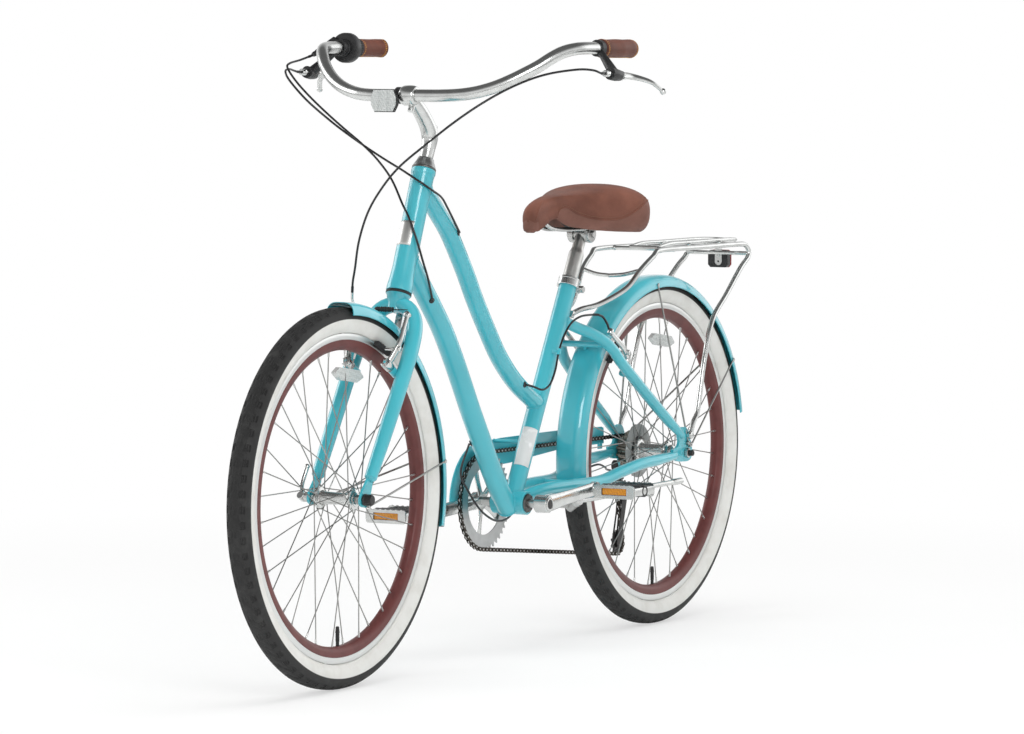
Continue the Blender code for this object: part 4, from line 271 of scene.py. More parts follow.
# %% Spin a profile, fill an outline, bevel a cube
def turned(bm, profile, matrix, steps=48, angle=tau, closed=None):
    """Spins (radius, height) points about the matrix's Z. A profile off the axis is a closed ring."""
    verts = [bm.verts.new(matrix @ vec(r, 0, h)) for r, h in profile]
    ring = all(r > 0 for r, _ in profile) if closed is None else closed
    pairs = list(zip(verts, verts[1:])) + ([(verts[-1], verts[0])] if ring else [])
    edges = [bm.edges.new(pair) for pair in pairs]
    axis = matrix.to_3x3() @ vec(0, 0, 1)
    full = abs(angle - tau) < 1e-6
    bmesh.ops.spin(bm, geom=verts + edges, cent=matrix.translation, axis=axis, angle=angle,
                   steps=steps, use_merge=full, use_duplicate=False)


def raised(bm, outline, thickness, matrix, holes=()):
    """Fills an outline with its holes in the matrix's XY plane and raises it both ways."""
    edges = []
    for loop in (outline, *holes):
        verts = [bm.verts.new(matrix @ vec(x, y, -thickness / 2)) for x, y in loop]
        edges += [bm.edges.new((verts[i], verts[(i + 1) % len(verts)])) for i in range(len(verts))]
    filled = bmesh.ops.triangle_fill(bm, edges=edges, use_beauty=True, use_dissolve=False)
    faces = [g for g in filled["geom"] if isinstance(g, bmesh.types.BMFace)]
    lifted = bmesh.ops.extrude_face_region(bm, geom=faces, use_keep_orig=True)["geom"]
    verts = [g for g in lifted if isinstance(g, bmesh.types.BMVert)]
    rise = matrix.to_3x3() @ vec(0, 0, thickness)
    bmesh.ops.translate(bm, vec=rise, verts=verts)


def standing(y):
    """The upright plane across the bicycle at a side place: outlines are given in X and Z."""
    return Matrix(((1, 0, 0, 0), (0, 0, -1, y), (0, 1, 0, 0), (0, 0, 0, 1)))


def block(bm, centre, size, turn=None, edge=0.001, segments=2):
    """A cube of that size with its edges rounded."""
    place = turn.copy() if turn else Matrix.Identity(4)
    place.translation = Vector(centre)
    cube = bmesh.ops.create_cube(bm, size=1, matrix=place @ Matrix.Diagonal((*size, 1)))
    if edge > 0:
        edges = list({e for v in cube["verts"] for e in v.link_edges})
        bmesh.ops.bevel(bm, geom=edges, offset=edge, offset_type="OFFSET", segments=segments,
                        profile=0.5, affect="EDGES", material=-1)


def dome(bm, centre, radius, segments=16, squash=(1, 1, 1)):
    matrix = Matrix.Translation(Vector(centre)) @ Matrix.Diagonal((*squash, 1))
    bmesh.ops.create_uvsphere(bm, u_segments=segments, v_segments=segments // 2, radius=radius,
                              matrix=matrix)


def bolt(bm, place, out, radius=0.004, height=0.003):
    """A cap screw's head with its socket, standing along out."""
    matrix = axes(place, out)
    profile = [(radius, 0), (radius, height * 0.8), (radius * 0.85, height), (radius * 0.5, height),
               (radius * 0.5, height * 0.35), (0, height * 0.3)]
    turned(bm, profile, matrix, steps=18, closed=False)


def hex_nut(bm, place, out, radius=0.006, height=0.005):
    rod(bm, place, Vector(place) + Vector(out).normalized() * height, radius, segments=6,
        edge=radius * 0.08)

# %% [markdown]
# ## Finishing a piece
# A bmesh becomes an object here. Its doubles are merged and its faces turned outwards, its round
# faces are shaded smooth with the sharp edges kept, and then it is set on the body that carries it.

# %% Turn a bmesh into a riding piece
made_names = []


def piece(bm, name, finish, body, replaces=None, angle=38, bevel=0.0, slot=None, merge=1e-5, clean=True):
    """Makes a bmesh an object on its body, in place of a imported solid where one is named."""
    bmesh.ops.remove_doubles(bm, verts=bm.verts, dist=merge)
    if clean:
        bmesh.ops.recalc_face_normals(bm, faces=bm.faces)
    mesh = bpy.data.meshes.new(name)
    bm.to_mesh(mesh)
    bm.free()
    obj = bpy.data.objects.new(name, mesh)
    bpy.context.scene.collection.objects.link(obj)
    finishes = finish if isinstance(finish, list) else [finish]
    for one in finishes:
        mesh.materials.append(one.material)
    if bevel:
        rounded = obj.modifiers.new("rounded edges", "BEVEL")
        rounded.width = bevel
        rounded.segments = 2
        rounded.limit_method = "ANGLE"
        rounded.angle_limit = radians(32)
        rounded.use_clamp_overlap = True
    mesh.shade_smooth()
    mesh.set_sharp_from_angle(angle=radians(angle))
    if body:
        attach(obj, body)
    if replaces:
        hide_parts(replaces)
    made_names.append(name)
    return obj


def body_of(node):
    for body, members in frame["record"]["behaviour"]["bodies"].items():
        if node in members:
            return body
    return None


def look(bm, node, finish, angle=38, bevel=0.0, **more):
    """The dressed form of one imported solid, on that solid's own body."""
    return piece(bm, node + "_look", finish, body_of(node), node, angle, bevel, **more)


def from_solid(node):
    """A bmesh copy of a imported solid, with its loose triangles merged into clean faces."""
    bm = bmesh.new()
    bm.from_mesh(frame["nodes"][node].data)
    bmesh.ops.remove_doubles(bm, verts=bm.verts, dist=1e-6)
    bmesh.ops.dissolve_limit(bm, angle_limit=radians(1), verts=bm.verts, edges=bm.edges)
    return bm


print("tools ready for", len(frame["nodes"]), "solids")

# %% [markdown]
# ## Shader maths as sentences
# A finish such as leather is a few patterns added and multiplied. Wiring each sum by hand is slow to
# read, so a small class wraps a socket and lets Python's own signs add the Math nodes. Colours are
# mixed with a Mix node, and every other node comes from one method.

# %% A socket that can be added and multiplied
class Signal:
    """A socket or number in a finish; arithmetic on it adds Math nodes."""

    def __init__(self, finish, socket):
        self.finish, self.socket = finish, socket

    def math(self, operation, *others):
        return self.finish.node("ShaderNodeMath", {"operation": operation}, [self, *others])

    def __add__(self, other):
        return self.math("ADD", other)

    __radd__ = __add__

    def __mul__(self, other):
        return self.math("MULTIPLY", other)

    __rmul__ = __mul__

    def __sub__(self, other):
        return self.math("SUBTRACT", other)

    def __rsub__(self, other):
        return self.finish.node("ShaderNodeMath", {"operation": "SUBTRACT"}, [other, self])

    def __pow__(self, other):
        return self.math("POWER", other)

    def over(self, edge):
        return self.math("GREATER_THAN", edge)

    def between(self, low, high):
        """1 from low to high, with a short soft step inside each end."""
        step = (high - low) * 0.04
        return self.rise(low, low + step) * (1 - self.rise(high - step, high))

    def rise(self, low, high):
        """0 below low, 1 above high, smooth between."""
        return self.finish.node("ShaderNodeMapRange", {"interpolation_type": "SMOOTHSTEP"},
                                [self, low, high, 0.0, 1.0])


class Finish:
    """One material on a Principled shader, with the slot that its pieces are listed under."""

    def __init__(self, name, slot, colour, roughness, metallic=0.0, **plain):
        self.slot = slot
        self.material = bpy.data.materials.new(name)
        self.material.use_nodes = True
        self.tree = self.material.node_tree
        self.shader = self.tree.nodes["Principled BSDF"]
        self.material.diffuse_color = (*colour, 1)
        self.set("Base Color", colour)
        self.set("Roughness", roughness)
        self.set("Metallic", metallic)
        for socket, value in plain.items():
            self.set(socket.replace("_", " "), value)
        self.where = None

    def set(self, name, value):
        socket = self.shader.inputs[name]
        if isinstance(value, Signal):
            self.tree.links.new(value.socket, socket)
        elif isinstance(value, tuple):
            socket.default_value = (*value, 1) if len(value) == 3 else value
        else:
            socket.default_value = value

    def node(self, kind, settings=None, values=(), out=0):
        """Adds a node: settings first, then each input socket's value or link, by place or name."""
        made = self.tree.nodes.new(kind)
        for key, value in (settings or {}).items():
            setattr(made, key, value)
        pairs = values.items() if isinstance(values, dict) else enumerate(values)
        for key, value in pairs:
            socket = made.inputs[key]
            if isinstance(value, Signal):
                self.tree.links.new(value.socket, socket)
            elif isinstance(value, tuple) and len(value) == 3 and socket.type == "RGBA":
                socket.default_value = (*value, 1)
            else:
                socket.default_value = value
        return Signal(self, made.outputs[out])

    def place(self):
        """Object coordinates, which are metres in the bicycle's own frame."""
        if self.where is None:
            self.where = self.node("ShaderNodeTexCoord", out="Object")
        return self.where

    def moved(self, centre=(0, 0, 0), turn=(0, 0, 0), scale=(1, 1, 1)):
        """Object coordinates from another centre, turned and scaled."""
        return self.node("ShaderNodeMapping", {"vector_type": "TEXTURE"},
                         {"Vector": self.place(), "Location": tuple(centre), "Rotation": tuple(turn),
                          "Scale": tuple(scale)})

    def parts(self, vector):
        split = self.tree.nodes.new("ShaderNodeSeparateXYZ")
        self.tree.links.new(vector.socket, split.inputs[0])
        return [Signal(self, split.outputs[i]) for i in range(3)]

    def noise(self, scale, detail=2.0, rough=0.5, vector=None):
        values = {"Vector": vector or self.place(), "Scale": scale, "Detail": detail, "Roughness": rough}
        return self.node("ShaderNodeTexNoise", None, values)

    def cells(self, scale, vector=None, feature="F1"):
        values = {"Vector": vector or self.place(), "Scale": scale}
        return self.node("ShaderNodeTexVoronoi", {"feature": feature}, values, "Distance")

    def mix(self, share, first, second):
        """A colour between two, by a share from 0 to 1."""
        made = self.tree.nodes.new("ShaderNodeMix")
        made.data_type = "RGBA"
        for key, value in (("Factor_Float", share), ("A_Color", first), ("B_Color", second)):
            socket = next(s for s in made.inputs if s.identifier == key)
            if isinstance(value, Signal):
                self.tree.links.new(value.socket, socket)
            else:
                socket.default_value = (*value, 1) if isinstance(value, tuple) else value
        result = next(s for s in made.outputs if s.identifier == "Result_Color")
        return Signal(self, result)

    def bump(self, height, strength=0.3, distance=0.001):
        values = {"Strength": strength, "Distance": distance, "Height": height}
        self.set("Normal", self.node("ShaderNodeBump", None, values))

# %% [markdown]
# ## The finishes
# The frame is wet-look turquoise, so its paint has a clear coat, a faint waviness and a slightly
# deeper tone where the coat pools. The bright parts are polished aluminium with fine drawing lines
# and a soft haze of handling. All patterns are set in metres, at the size they have on a bicycle.

# %% Paint, bright metal and black parts
paint = Finish("turquoise_paint", "paint", (0.05, 0.47, 0.555), 0.34, Coat_Weight=1.0, Coat_Roughness=0.035)
pooling = paint.noise(9, 2)
paint.set("Base Color", paint.mix(pooling.rise(0.3, 0.75), (0.047, 0.455, 0.54), (0.055, 0.488, 0.575)))
paint.set("Roughness", 0.3 + paint.noise(60, 2) * 0.08)
paint.bump(paint.noise(30, 2), 0.008, 0.0006)


def metal(name, slot, colour, roughness, lines, depth, haze=0.1):
    """Metal with fine drawing lines and cloudy handling marks."""
    made = Finish(name, slot, colour, roughness, 1.0)
    cloud = made.noise(38, 4, 0.6)
    dull = tuple(c * 0.86 for c in colour)
    made.set("Base Color", made.mix(cloud.rise(0.35, 0.72), colour, dull))
    drawn = made.noise(lines, 2, 0.5, made.moved(scale=(1, 3.5, 0.8)))
    made.set("Roughness", roughness + cloud * haze + drawn * 0.06)
    if depth:
        made.bump(drawn, depth, 0.0002)
    return made


polished = metal("polished_aluminium", "polished", (0.69, 0.7, 0.69), 0.17, 420, 0, 0.06)
ring_metal = metal("chainring_aluminium", "polished", (0.5, 0.51, 0.51), 0.26, 380, 0)
satin_metal = metal("satin_aluminium", "polished", (0.66, 0.66, 0.64), 0.32, 380, 0.05)
bell_metal = metal("headset_aluminium", "polished", (0.42, 0.43, 0.43), 0.3, 380, 0.02)
steel = metal("plated_steel", "steel", (0.58, 0.58, 0.57), 0.2, 420, 0.03)
spoke_steel = metal("spoke_steel", "steel", (0.34, 0.34, 0.33), 0.24, 500, 0.02)
dark_steel = metal("dark_steel", "black", (0.16, 0.155, 0.15), 0.34, 400, 0.05)
chain_steel = metal("oiled_chain_steel", "chain", (0.06, 0.05, 0.042), 0.34, 400, 0.05)
sprocket_steel = metal("sprocket_steel", "steel", (0.36, 0.33, 0.29), 0.3, 400, 0.06)


def moulded(name, slot, colour, roughness, grain=1400, strength=0.12):
    """Plastic or rubber with a fine spark-eroded grain and worn, lighter patches."""
    made = Finish(name, slot, colour, roughness)
    lighter = tuple(min(1, c * 1.7 + 0.006) for c in colour)
    worn = made.noise(60, 3).rise(0.52, 0.8)
    made.set("Base Color", made.mix(worn, colour, lighter))
    made.set("Roughness", roughness + worn * 0.12)
    made.bump(made.noise(grain, 2), strength, 0.0004)
    return made


black_plastic = moulded("black_plastic", "black", (0.014, 0.014, 0.015), 0.38)
black_rubber = moulded("black_rubber", "black", (0.017, 0.017, 0.017), 0.62, 900, 0.25)
cable_black = moulded("cable_housing", "cable", (0.01, 0.01, 0.011), 0.32, 2200, 0.05)
pad_rubber = moulded("brake_pad_rubber", "black", (0.02, 0.02, 0.021), 0.7, 1200, 0.3)
print("first finishes", len(bpy.data.materials))

# %% [markdown]
# ## Leather, rubber and reflectors
# The saddle and grips are covered in brown imitation leather: small pressed cells, a broad tone
# change where it is rubbed, and a soft sheen. The tyre's white wall, the rim's bare braking track
# and its brown paint lie at known distances from the axle, so their masks are made from the radius.

# %% Leather
def leather_finish(name, colour, dark, grain=520):
    made = Finish(name, "leather", colour, 0.48, Specular_IOR_Level=0.32)
    cell = made.cells(grain, feature="SMOOTH_F1")
    cloud = made.noise(30, 4, 0.6)
    rubbed = made.noise(9, 2).rise(0.45, 0.75)
    tone = made.mix(cloud.rise(0.25, 0.8), dark, colour)
    pale = tuple(min(1, c * 1.35 + 0.012) for c in colour)
    tone = made.mix(rubbed * 0.45, tone, pale)
    made.set("Base Color", made.mix((1 - cell.rise(0.05, 0.4)) * 0.35, tone, dark))
    made.set("Roughness", 0.4 + cell * 0.18 + cloud * 0.14)
    made.bump(cell + made.noise(2400, 2) * 0.35, 0.35, 0.0007)
    return made


leather = leather_finish("saddle_leather", (0.196, 0.074, 0.048), (0.124, 0.044, 0.028))
grip_leather = leather_finish("grip_leather", (0.15, 0.048, 0.03), (0.09, 0.028, 0.018), 640)
thread = moulded("ochre_thread", "leather", (0.62, 0.3, 0.055), 0.62, 3000, 0.3)

# %% Masks that follow the wheel's radius
def wheel_signals(made, axle):
    """Distance from the axle, side place and turn about the axle."""
    x, y, z = made.parts(made.moved(axle))
    radius = (x * x + z * z) ** 0.5
    turn = z.math("ARCTAN2", x)
    return radius, y.math("ABSOLUTE"), turn


def tyre_finish(name, axle):
    made = Finish(name, "tyre", (0.018, 0.018, 0.018), 0.6)
    radius, side, turn = wheel_signals(made, axle)
    white = radius.between(0.2852, 0.3106) * side.over(0.009)
    dust = made.noise(28, 4, 0.6)
    cream = made.mix(dust.rise(0.35, 0.85), (0.8, 0.8, 0.77), (0.7, 0.69, 0.65))
    black = made.mix(dust.rise(0.5, 0.8), (0.016, 0.016, 0.016), (0.042, 0.042, 0.041))
    made.set("Base Color", made.mix(white, black, cream))
    made.set("Roughness", 0.62 - white * 0.14 + dust * 0.12)
    chevron = (turn * 132 + side * 420).math("SINE")
    tread = radius.over(0.3262)
    ribs = radius.between(0.288, 0.2896) + radius.between(0.3084, 0.31)
    height = tread * chevron.rise(-0.45, -0.15) + ribs * 0.12 + made.noise(900, 2) * 0.15
    made.bump(height, 0.8, 0.0012)
    return made


def rim_finish(name, axle):
    made = Finish(name, "rim", (0.13, 0.042, 0.038), 0.34, 0.05, Specular_IOR_Level=0.35)
    radius, side, turn = wheel_signals(made, axle)
    track = radius.over(0.2748) * side.over(0.01)
    turned_lines = made.noise(1, 2, 0.5, made.node(
        "ShaderNodeCombineXYZ", None, [radius * 2600, side * 900, turn * 3]))
    brown = made.mix(made.noise(45, 3).rise(0.35, 0.75), (0.15, 0.043, 0.04), (0.118, 0.034, 0.032))
    bright = made.mix(turned_lines, (0.8, 0.81, 0.8), (0.62, 0.63, 0.62))
    made.set("Base Color", made.mix(track, brown, bright))
    made.set("Metallic", 0.05 + track * 0.9)
    made.set("Roughness", 0.34 - track * 0.04 + turned_lines * 0.1)
    made.bump(turned_lines * track, 0.1, 0.0003)
    return made

# %% Reflector plastics
PRISM_SCALE = 330
PRISM_ROUGHNESS = 0.14


def prism_finish(name, slot, colour, dark):
    """Moulded reflector plastic: small cube corners behind a smooth face."""
    made = Finish(name, slot, colour, PRISM_ROUGHNESS, Coat_Weight=0.6, Coat_Roughness=0.05)
    corner = made.cells(PRISM_SCALE, made.moved(turn=(0.3, 0.6, 0.78)))
    checks = {"Vector": made.moved(turn=(0.62, 0.48, 0.35)), "Scale": float(PRISM_SCALE)}
    facet = made.node("ShaderNodeTexChecker", None, checks, 1)
    made.set("Base Color", made.mix(facet * 0.5 + corner * 0.5, colour, dark))
    made.set("Roughness", PRISM_ROUGHNESS + facet * 0.12)
    made.bump(facet + corner, 0.35, 0.0006)
    return made


clear_prism = prism_finish("clear_reflector", "reflector_clear", (0.74, 0.76, 0.75), (0.5, 0.53, 0.52))
red_prism = prism_finish("red_reflector", "reflector_red", (0.46, 0.018, 0.016), (0.2, 0.006, 0.006))
amber_prism = prism_finish("amber_reflector", "reflector_clear", (0.88, 0.36, 0.01), (0.62, 0.2, 0.004))
smoked = Finish("clear_guard_disc", "reflector_clear", (0.36, 0.38, 0.375), 0.18, Alpha=0.86, Coat_Weight=0.4)
smoked.set("Roughness", 0.14 + smoked.noise(60, 3) * 0.14)
print("finishes", len(bpy.data.materials))

# %% [markdown]
# ## Camera, light and floor
# The bicycle is seen from its front left, from far away with a long lens, so its two wheels look
# nearly the same size. A white room lights it softly: lamps above, ahead on the left, behind and on
# the right, and a pale floor that keeps the shadow. The camera sees the room's white. Polished metal
# sees it too near the horizon, with a dim ceiling above, which gives bright tubes their dark upper band.

# %% The camera at the photograph's place
VIEW_YAW, VIEW_PITCH, LENS = -150.25, -3.75, 181.4
VIEW_PLACE = at(8.12843, 4.66449, 1.13947)
camera_data = bpy.data.cameras.new("camera")
camera_data.sensor_width = 36
camera_data.lens = LENS
camera_data.clip_end = 200
camera = bpy.data.objects.new("camera", camera_data)
camera.location = VIEW_PLACE
camera.rotation_euler = (radians(90 + VIEW_PITCH), 0, radians(VIEW_YAW - 90))
bpy.context.scene.collection.objects.link(camera)
bpy.context.scene.camera = camera
bpy.context.scene.view_settings.view_transform = "Standard"

# %% Lamps and the white room
def lamp(name, place, aim, size, power):
    data = bpy.data.lights.new(name, "AREA")
    data.shape = "RECTANGLE"
    data.size, data.size_y = size
    data.energy = power
    obj = bpy.data.objects.new(name, data)
    obj.location = place
    obj.rotation_euler = (Vector(aim) - Vector(place)).to_track_quat("-Z", "Y").to_euler()
    bpy.context.scene.collection.objects.link(obj)
    return obj


lamp("overhead", (0.2, 0.3, 4.2), (0, 0, 0.4), (3.6, 2.4), 95).visible_glossy = False
lamp("key", (3.6, 3.4, 2.6), (0.1, 0, 0.5), (2.0, 1.6), 70)
lamp("fill_rear", (-4.2, 2.4, 2.2), (-0.1, 0, 0.5), (4.6, 3.4), 38)
lamp("fill_right", (0.6, -4.4, 2.2), (0, 0, 0.5), (2.6, 2.0), 46)

world = bpy.data.worlds.new("white_room")
bpy.context.scene.world = world
world.use_nodes = True


class Sky(Finish):
    """The same shader sentences, written in the world's nodes."""

    def __init__(self, made):
        self.tree = made.node_tree


sky = Sky(world)
_, _, up = sky.parts(sky.node("ShaderNodeTexCoord", out="Generated"))
glossy, seen, through = (sky.node("ShaderNodeLightPath", out=f"Is {kind} Ray")
                         for kind in ("Glossy", "Camera", "Transmission"))
ceiling = sky.node("ShaderNodeMapRange", None, [up, 0.2, 0.68, 0.95, 0.14])
lit = sky.node("ShaderNodeMapRange", None, [up, -0.2, 0.9, 0.34, 0.52])
level = (glossy * ceiling + (1 - glossy) * lit).math("MAXIMUM", seen.math("MAXIMUM", through))
background = world.node_tree.nodes["Background"]
background.inputs["Color"].default_value = (1, 1, 1, 1)
world.node_tree.links.new(level.socket, background.inputs["Strength"])

# %% The floor
bm = bmesh.new()
bmesh.ops.create_grid(bm, x_segments=1, y_segments=1, size=30)
floor_mesh = bpy.data.meshes.new("floor")
bm.to_mesh(floor_mesh)
bm.free()
floor = bpy.data.objects.new("floor", floor_mesh)
floor.location = (0, 0, -0.0006)
bpy.context.scene.collection.objects.link(floor)
floor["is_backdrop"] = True
floor_finish = Finish("pale_floor", "paint", (0.94, 0.945, 0.94), 0.7, Specular_IOR_Level=0.2)
fx, fy, _ = floor_finish.parts(floor_finish.place())
distance = (fx * fx + fy * fy) ** 0.5
ray = floor_finish.node("ShaderNodeLightPath", out="Is Camera Ray")
glow = floor_finish.node("ShaderNodeEmission", None, {"Color": (1.0, 1.0, 1.0), "Strength": 1.0})
surface = Signal(floor_finish, floor_finish.shader.outputs[0])
share = ray * (0.55 + distance.rise(1.0, 3.0) * 0.45)
blend = floor_finish.node("ShaderNodeMixShader", None, [share, surface, glow])
out = floor_finish.tree.nodes["Material Output"]
floor_finish.tree.links.new(blend.socket, out.inputs["Surface"])
floor_mesh.materials.append(floor_finish.material)
print("camera", [round(c, 3) for c in camera.location])

# %% [markdown]
# ## Wheels
# A wheel is four things: the tyre, the rim, 36 spokes and a hub. Tyre and rim are profiles spun
# about the axle. Each spoke leaves a hub flange nearly sideways, crosses three others and ends in a
# nipple at the rim, so the wheel is made from one short loop.

# %% Tyre and rim profiles
TYRE_RADIUS = 0.33055
TYRE_OUTSIDE = (
    (0.2866, 0.0126), (0.2885, 0.0152), (0.293, 0.0186), (0.2985, 0.021), (0.3045, 0.0223),
    (0.31, 0.0225), (0.315, 0.0219), (0.3195, 0.0204), (0.3225, 0.0186), (0.324, 0.0172),
    (0.3268, 0.0146), (0.329, 0.0112), (0.3302, 0.0062),
)
TYRE_STEPS = 156


def mirrored(half):
    """The same profile on the other side, read back."""
    return [(r, -y) for r, y in reversed(half)]


def make_tyre(end, axle):
    bm = bmesh.new()
    inside = [(0.2864, -0.01), (0.305, -0.018), (0.3225, -0.012), (0.3225, 0.012),
              (0.305, 0.018), (0.2864, 0.01)]
    profile = [*TYRE_OUTSIDE, (TYRE_RADIUS, 0.0), *mirrored(TYRE_OUTSIDE), *inside]
    turned(bm, profile, across(axle), TYRE_STEPS)
    bmesh.ops.remove_doubles(bm, verts=bm.verts, dist=1e-6)
    bmesh.ops.recalc_face_normals(bm, faces=bm.faces)
    shoulder, crown = [], []
    for face in bm.faces:
        middle = face.calc_center_median() - axle
        turn = atan2(middle.z, middle.x) / tau * TYRE_STEPS
        radius = hypot(middle.x, middle.z)
        if 0.3228 < radius < 0.3282 and int(turn // 1) % 2 == 0 and abs(middle.y) > 0.0125:
            shoulder.append(face)
        if radius > 0.3284 and int((turn + abs(middle.y) * 90) // 1) % 3 == 0:
            crown.append(face)
    for faces, depth in ((shoulder, 0.0011), (crown, 0.0007)):
        bmesh.ops.inset_individual(bm, faces=faces, thickness=0.0016, depth=-depth)
    look(bm, end + "_tyre", tyre_finish(end + "_tyre_finish", axle), 40)


RIM_OUTSIDE = (
    (0.2566, 0.0054), (0.2574, 0.007), (0.26, 0.0092), (0.2628, 0.0112), (0.266, 0.0121),
    (0.274, 0.0123), (0.2746, 0.0118), (0.2752, 0.0118), (0.2758, 0.0123), (0.28, 0.0124),
    (0.2846, 0.0123), (0.2856, 0.0118), (0.2857, 0.01), (0.2815, 0.0092),
)


def make_rim(end, axle):
    bm = bmesh.new()
    profile = [*RIM_OUTSIDE, (0.2765, 0.0), *mirrored(RIM_OUTSIDE), (0.256, 0.0)]
    turned(bm, profile, across(axle), 168)
    look(bm, end + "_rim", rim_finish(end + "_rim_finish", axle), 30)

# %% Valve
def make_valve(end, axle, body):
    bm = bmesh.new()
    down = vec(0, 0, 1)
    foot = axle - down * 0.2566
    rod(bm, foot - down * 0.004, foot + down * 0.0085, 0.0031, segments=20, edge=0.0004)
    for step in range(5):
        ring = foot + down * (0.0095 + step * 0.0028)
        rod(bm, ring - down * 0.0009, ring + down * 0.0019, 0.0037, 0.0033, 20, 0.0002)
    rod(bm, foot + down * 0.0225, foot + down * 0.0345, 0.004, 0.003, 20, 0.0008)
    piece(bm, end + "_valve", black_rubber, body)

# %% Spokes with their bent heads and nipples
def make_spokes(end, axle, body, flanges, hole):
    spokes, nipples = bmesh.new(), bmesh.new()
    for i in range(36):
        side = 1 if i % 2 == 0 else -1
        lead = 1 if (i // 2) % 2 == 0 else -1
        rim_turn = 360 * (i + 0.5) / 36 - 90
        flange = flanges[0] if side == 1 else flanges[1]
        elbow = round_axle(axle, hole, rim_turn + lead * 66, flange + side * lead * 0.0016)
        head = round_axle(axle, hole, rim_turn + lead * 66, flange - side * lead * 0.0018)
        foot = round_axle(axle, 0.2572, rim_turn, side * 0.0025)
        along = (foot - elbow).normalized()
        tube(spokes, [head, head.lerp(elbow, 0.7), elbow + along * 0.0012, elbow + along * 0.006, foot],
             0.00105, 7)
        dome(spokes, head, 0.0017, 8, (1, 0.5, 1))
        rod(nipples, foot - along * 0.0115, foot - along * 0.0005, 0.0017, 0.0021, 10, 0.0003)
    piece(nipples, end + "_nipples", steel, body)
    return spokes

# %% Reflector between the spokes
def make_wheel_reflector(end, axle, body):
    centre = round_axle(axle, 0.214, 98, 0.003)
    place = Matrix.Translation(centre) @ turn_about("Y", -8) @ standing(0)
    outline = [(-0.046, 0.0012), (-0.033, 0.0108), (0.033, 0.0108), (0.046, 0.0012), (0.046, -0.0012),
               (0.027, -0.0108), (-0.027, -0.0108), (-0.046, -0.0012)]
    bm = bmesh.new()
    raised(bm, outline, 0.009, place)
    for side in (1, -1):
        for i in range(5):
            for j in range(2):
                spot = Matrix.Translation(((i - 2) * 0.0122, (j - 0.5) * 0.0092, side * 0.0045))
                block(bm, (place @ spot).translation, (0.0108, 0.001, 0.008),
                      turn_about("Y", -8), 0.0003, 1)
    rod(bm, centre - LEFT * 0.0056, centre + LEFT * 0.0056, 0.0026, segments=16, edge=0.0004)
    piece(bm, end + "_wheel_reflector", clear_prism, body, bevel=0.0007)


HUB_HALF = (
    (0.0056, -0.04), (0.01, -0.04), (0.0122, -0.0388), (0.0124, -0.0372), (0.019, -0.0358),
    (0.0204, -0.035), (0.0204, -0.0328), (0.0195, -0.0322), (0.0135, -0.03), (0.0112, -0.025),
)
HUB_FRONT = (*HUB_HALF, (0.0106, 0.0), *mirrored(HUB_HALF))
HUB_REAR = (
    (0.0056, 0.0468), (0.0115, 0.0468), (0.013, 0.0455), (0.0134, 0.0388), (0.015, 0.0374),
    (0.0224, 0.0366), (0.023, 0.0358), (0.023, 0.0346), (0.0222, 0.0338), (0.0165, 0.0316),
    (0.015, 0.028), (0.0143, 0.0), (0.0145, -0.019), (0.0165, -0.0232), (0.0222, -0.0248),
    (0.023, -0.0256), (0.023, -0.0276), (0.022, -0.0284), (0.016, -0.0298), (0.015, -0.0312),
    (0.015, -0.059), (0.0056, -0.059),
)

# %% Both wheels
for end, axle, hub_shape, flanges, hole in (
        ("front", FRONT_AXLE, HUB_FRONT, (0.034, -0.034), 0.0182),
        ("rear", REAR_AXLE, HUB_REAR, (0.0355, -0.0265), 0.0205)):
    body = end + "_wheel"
    make_tyre(end, axle)
    make_rim(end, axle)
    make_valve(end, axle, body)
    make_wheel_reflector(end, axle, body)
    spokes = make_spokes(end, axle, body, flanges, hole)
    piece(spokes, end + "_spokes", spoke_steel, body, end + "_hub")
    bm = bmesh.new()
    turned(bm, hub_shape, across(axle), 56)
    piece(bm, end + "_hub_shell", polished, body, angle=45, slot="steel")
bm = bmesh.new()
turned(bm, [(0.017, -0.03), (0.0515, -0.0302), (0.0515, -0.0311), (0.017, -0.0311)],
       across(REAR_AXLE), 72)
piece(bm, "spoke_protector", smoked, "rear_wheel")
bm = bmesh.new()
turned(bm, [(0.0232, -0.0296), (0.0285, -0.0294), (0.0285, -0.0318), (0.0232, -0.0318)],
       across(REAR_AXLE), 48)
piece(bm, "protector_ring", black_plastic, "rear_wheel")
print("wheels made", len(made_names))

# %% [markdown]
# ## The welded frame
# A step-through frame bends its top tube low so that a rider can step over it. The tubes meet at the
# head tube, the seat tube and the bracket shell, and each joint is a ring of weld under the paint.
# Each tube's end is slid along until it lies on its neighbour, and the bead follows that same line.

# %% Slide a point along a line onto a round tube
def onto(point, along, tube_place, tube_axis, radius):
    a = along - tube_axis * along.dot(tube_axis)
    b = point - tube_place
    b = b - tube_axis * b.dot(tube_axis)
    room = a.dot(b) ** 2 - a.dot(a) * (b.dot(b) - radius * radius)
    return point + along * ((sqrt(max(0.0, room)) - a.dot(b)) / a.dot(a))


def join(bm, other):
    """Adds another bmesh's faces to this one."""
    mesh = bpy.data.meshes.new("joined")
    other.to_mesh(mesh)
    other.free()
    bm.from_mesh(mesh)
    bpy.data.meshes.remove(mesh)


def fading(points, radii, route):
    """The radius at each step of a smoothed route, from the radii at its first points."""
    marks, made = marks_along(points), []
    for i in range(len(route)):
        where = marks[-1] * i / (len(route) - 1)
        k = max(j for j in range(len(marks) - 1) if marks[j] <= where + 1e-9)
        share = min(1.0, (where - marks[k]) / (marks[k + 1] - marks[k]))
        made.append(radii[k] + (radii[k + 1] - radii[k]) * share)
    return made

